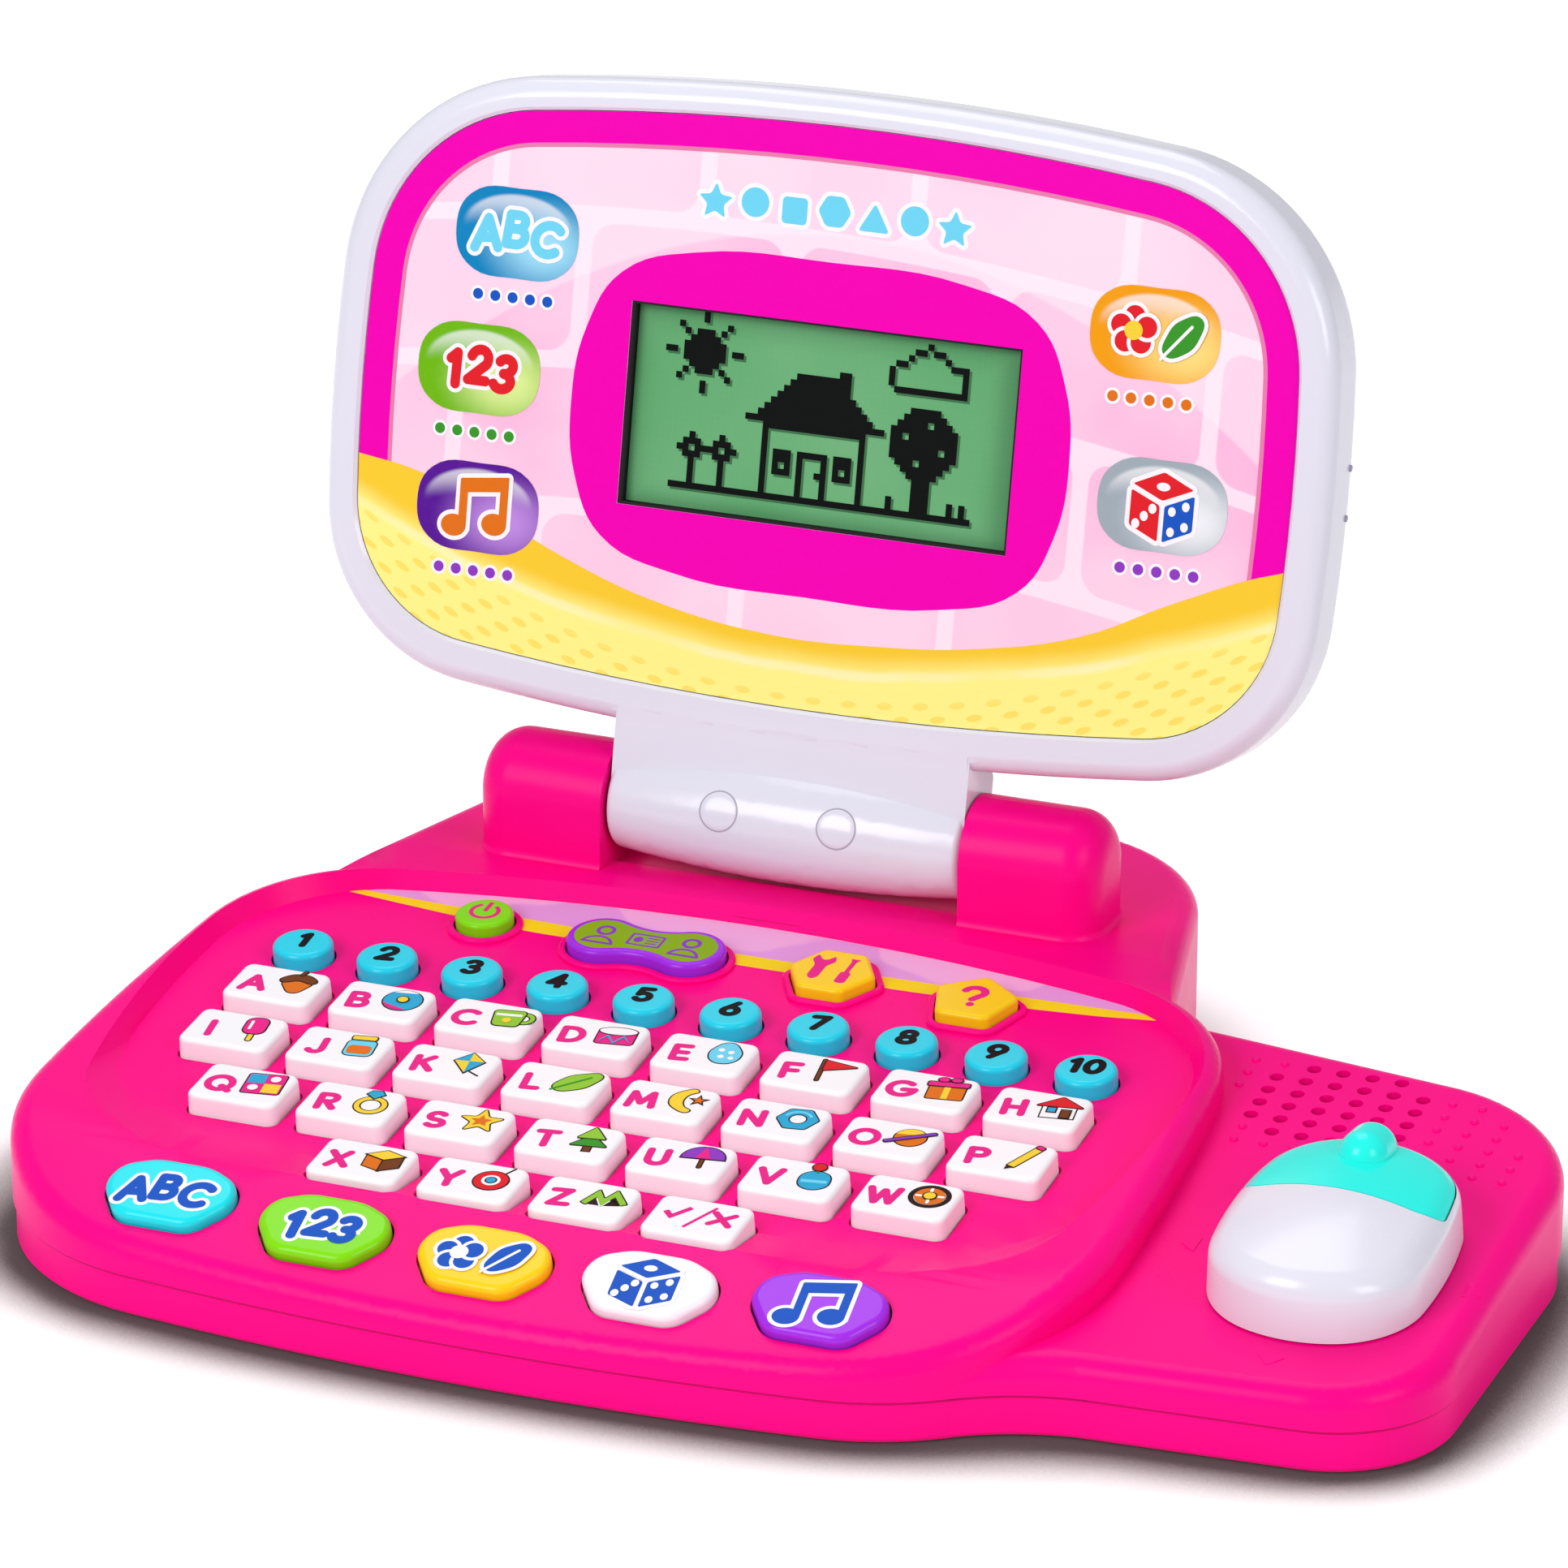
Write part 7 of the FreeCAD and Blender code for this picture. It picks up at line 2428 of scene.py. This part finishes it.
@dataclass
class Studio:
    """Pale floor, soft lamps and the camera of the photograph."""

    camera_at: Spot = (0.5541, -1.2838, 0.6391)
    camera_pitch: float = 68.542
    camera_turn: float = 22.236
    focal_pixels: float = 9244.8
    image_pixels: float = 1932.0
    sensor: float = 36.0
    near_clip: float = 0.05
    sky: float = 0.42
    floor_half: float = 6.0
    floor_drop: float = 0.0005
    floor_glow: float = 0.42
    shade_reach: float = 0.03
    shade_span: Point = (0.97, 0.62)
    behind_span: Point = (90.0, 20.0)
    behind_gain: float = 0.54
    behind_least: float = 0.42
    lamps: tuple[Lamp, ...] = (
        Lamp("key_lamp", (-0.6, -1.6, 1.15), (0.0, 0.0, 0.08), 0.9, 18.6),
        Lamp("side_lamp", (1.5, -0.7, 0.9), (0.0, 0.0, 0.08), 0.7, 7.6),
        Lamp("top_lamp", (-0.3, 0.6, 1.6), (0.0, 0.0, 0.05), 1.0, 8.8))

    def build(self) -> None:
        """Make the floor, world, lamps and camera."""
        self.floor()
        self.world()
        for lamp in self.lamps:
            lamp.build()
        self.camera()

    def floor(self) -> None:
        """Broad white floor that keeps the shadow."""
        shape = bmesh.new()
        bmesh.ops.create_grid(shape, x_segments=1, y_segments=1, size=self.floor_half)
        mesh = bpy.data.meshes.new("floor")
        shape.to_mesh(mesh)
        shape.free()
        mesh.materials.append(self.paper())
        piece = bpy.data.objects.new("floor", mesh)
        piece.location.z = -self.floor_drop
        bpy.context.scene.collection.objects.link(piece)

    def paper(self) -> Material:
        """White paper with a painted shadow close to the object, for the camera and in reflections.

        Returns:
            The material.
        """
        paper = bpy.data.materials.new("floor_white")
        graph = Graph(paper)
        mottle = graph.noise(graph.place(), 30.0, 3.0)
        # Painted contact shadow: darker where the object is near, and weaker behind it
        near = graph.node("ShaderNodeAmbientOcclusion", {"samples": 8}, {"Distance": self.shade_reach})
        behind = graph.parts(graph.place())[1].step(*self.behind_span) * self.behind_gain + self.behind_least
        shade = Value(graph, near.outputs["AO"]).step(*self.shade_span) * behind
        white = graph.mix(mottle, (0.88, 0.88, 0.89), (0.91, 0.91, 0.91))
        looks = {"Base Color": white, "Roughness": 0.9, "Specular IOR Level": 0.1}
        plain = graph.shader(looks)
        glowing = graph.shader(looks | {
            "Base Color": graph.mix(shade, white, (0.05, 0.05, 0.05)),
            "Emission Color": graph.mix(shade, WHITE, BLACK), "Emission Strength": self.floor_glow})
        rays = ("Is Camera Ray", "Is Glossy Ray", "Is Transmission Ray")
        graph.close(self.seen(graph, plain, glowing, *rays))
        return paper

    @staticmethod
    def seen(graph: Graph, plain: Value, shown: Value, *rays: str) -> Value:
        """One shader for the light on the object and another for what some rays see.

        Args:
            graph: Node tree that takes the mix.
            plain: Shader for the light.
            shown: Shader for the rays.
            rays: Names of the rays, as outputs of the light path.

        Returns:
            The mixed shader.
        """
        path = graph.node("ShaderNodeLightPath")
        share = reduce(graph.most, [Value(graph, path.outputs[name]) for name in rays])
        made = graph.node("ShaderNodeMixShader", None, {0: share, 1: plain, 2: shown})
        return Value(graph, made.outputs[0])

    def world(self) -> None:
        """Soft light all round, and white behind the object."""
        world = bpy.data.worlds.new("studio")
        graph = Graph(world)
        sides = []
        for strength in (self.sky, 1.0):
            made = graph.node("ShaderNodeBackground", None, {"Color": (*WHITE, 1.0), "Strength": strength})
            sides.append(Value(graph, made.outputs[0]))
        graph.close(self.seen(graph, *sides, "Is Camera Ray"), "ShaderNodeOutputWorld")
        bpy.context.scene.world = world

    def camera(self) -> None:
        """Camera at the photograph's place, with its angle of view."""
        lens = bpy.data.cameras.new("photo_camera")
        lens.sensor_fit = "HORIZONTAL"
        lens.sensor_width = self.sensor
        lens.lens = self.focal_pixels / self.image_pixels * self.sensor
        lens.clip_start = self.near_clip
        holder = bpy.data.objects.new("photo_camera", lens)
        holder.location = self.camera_at
        holder.rotation_euler = (math.radians(self.camera_pitch), 0.0, math.radians(self.camera_turn))
        bpy.context.scene.collection.objects.link(holder)
        bpy.context.scene.camera = holder


def write_boxes() -> None:
    """Bring the view layer up to date."""
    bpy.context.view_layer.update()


def main() -> None:
    """Build the pieces in order and bring the view layer up to date."""
    logging.basicConfig(level=logging.INFO, format="%(message)s")
    bpy.context.scene.view_settings.view_transform = "Standard"
    for part in (Studio(), Housing(), Inside(), Keyboard(), Lid(), Mouse()):
        part.build()
    write_boxes()


if __name__ == "__main__":
    main()
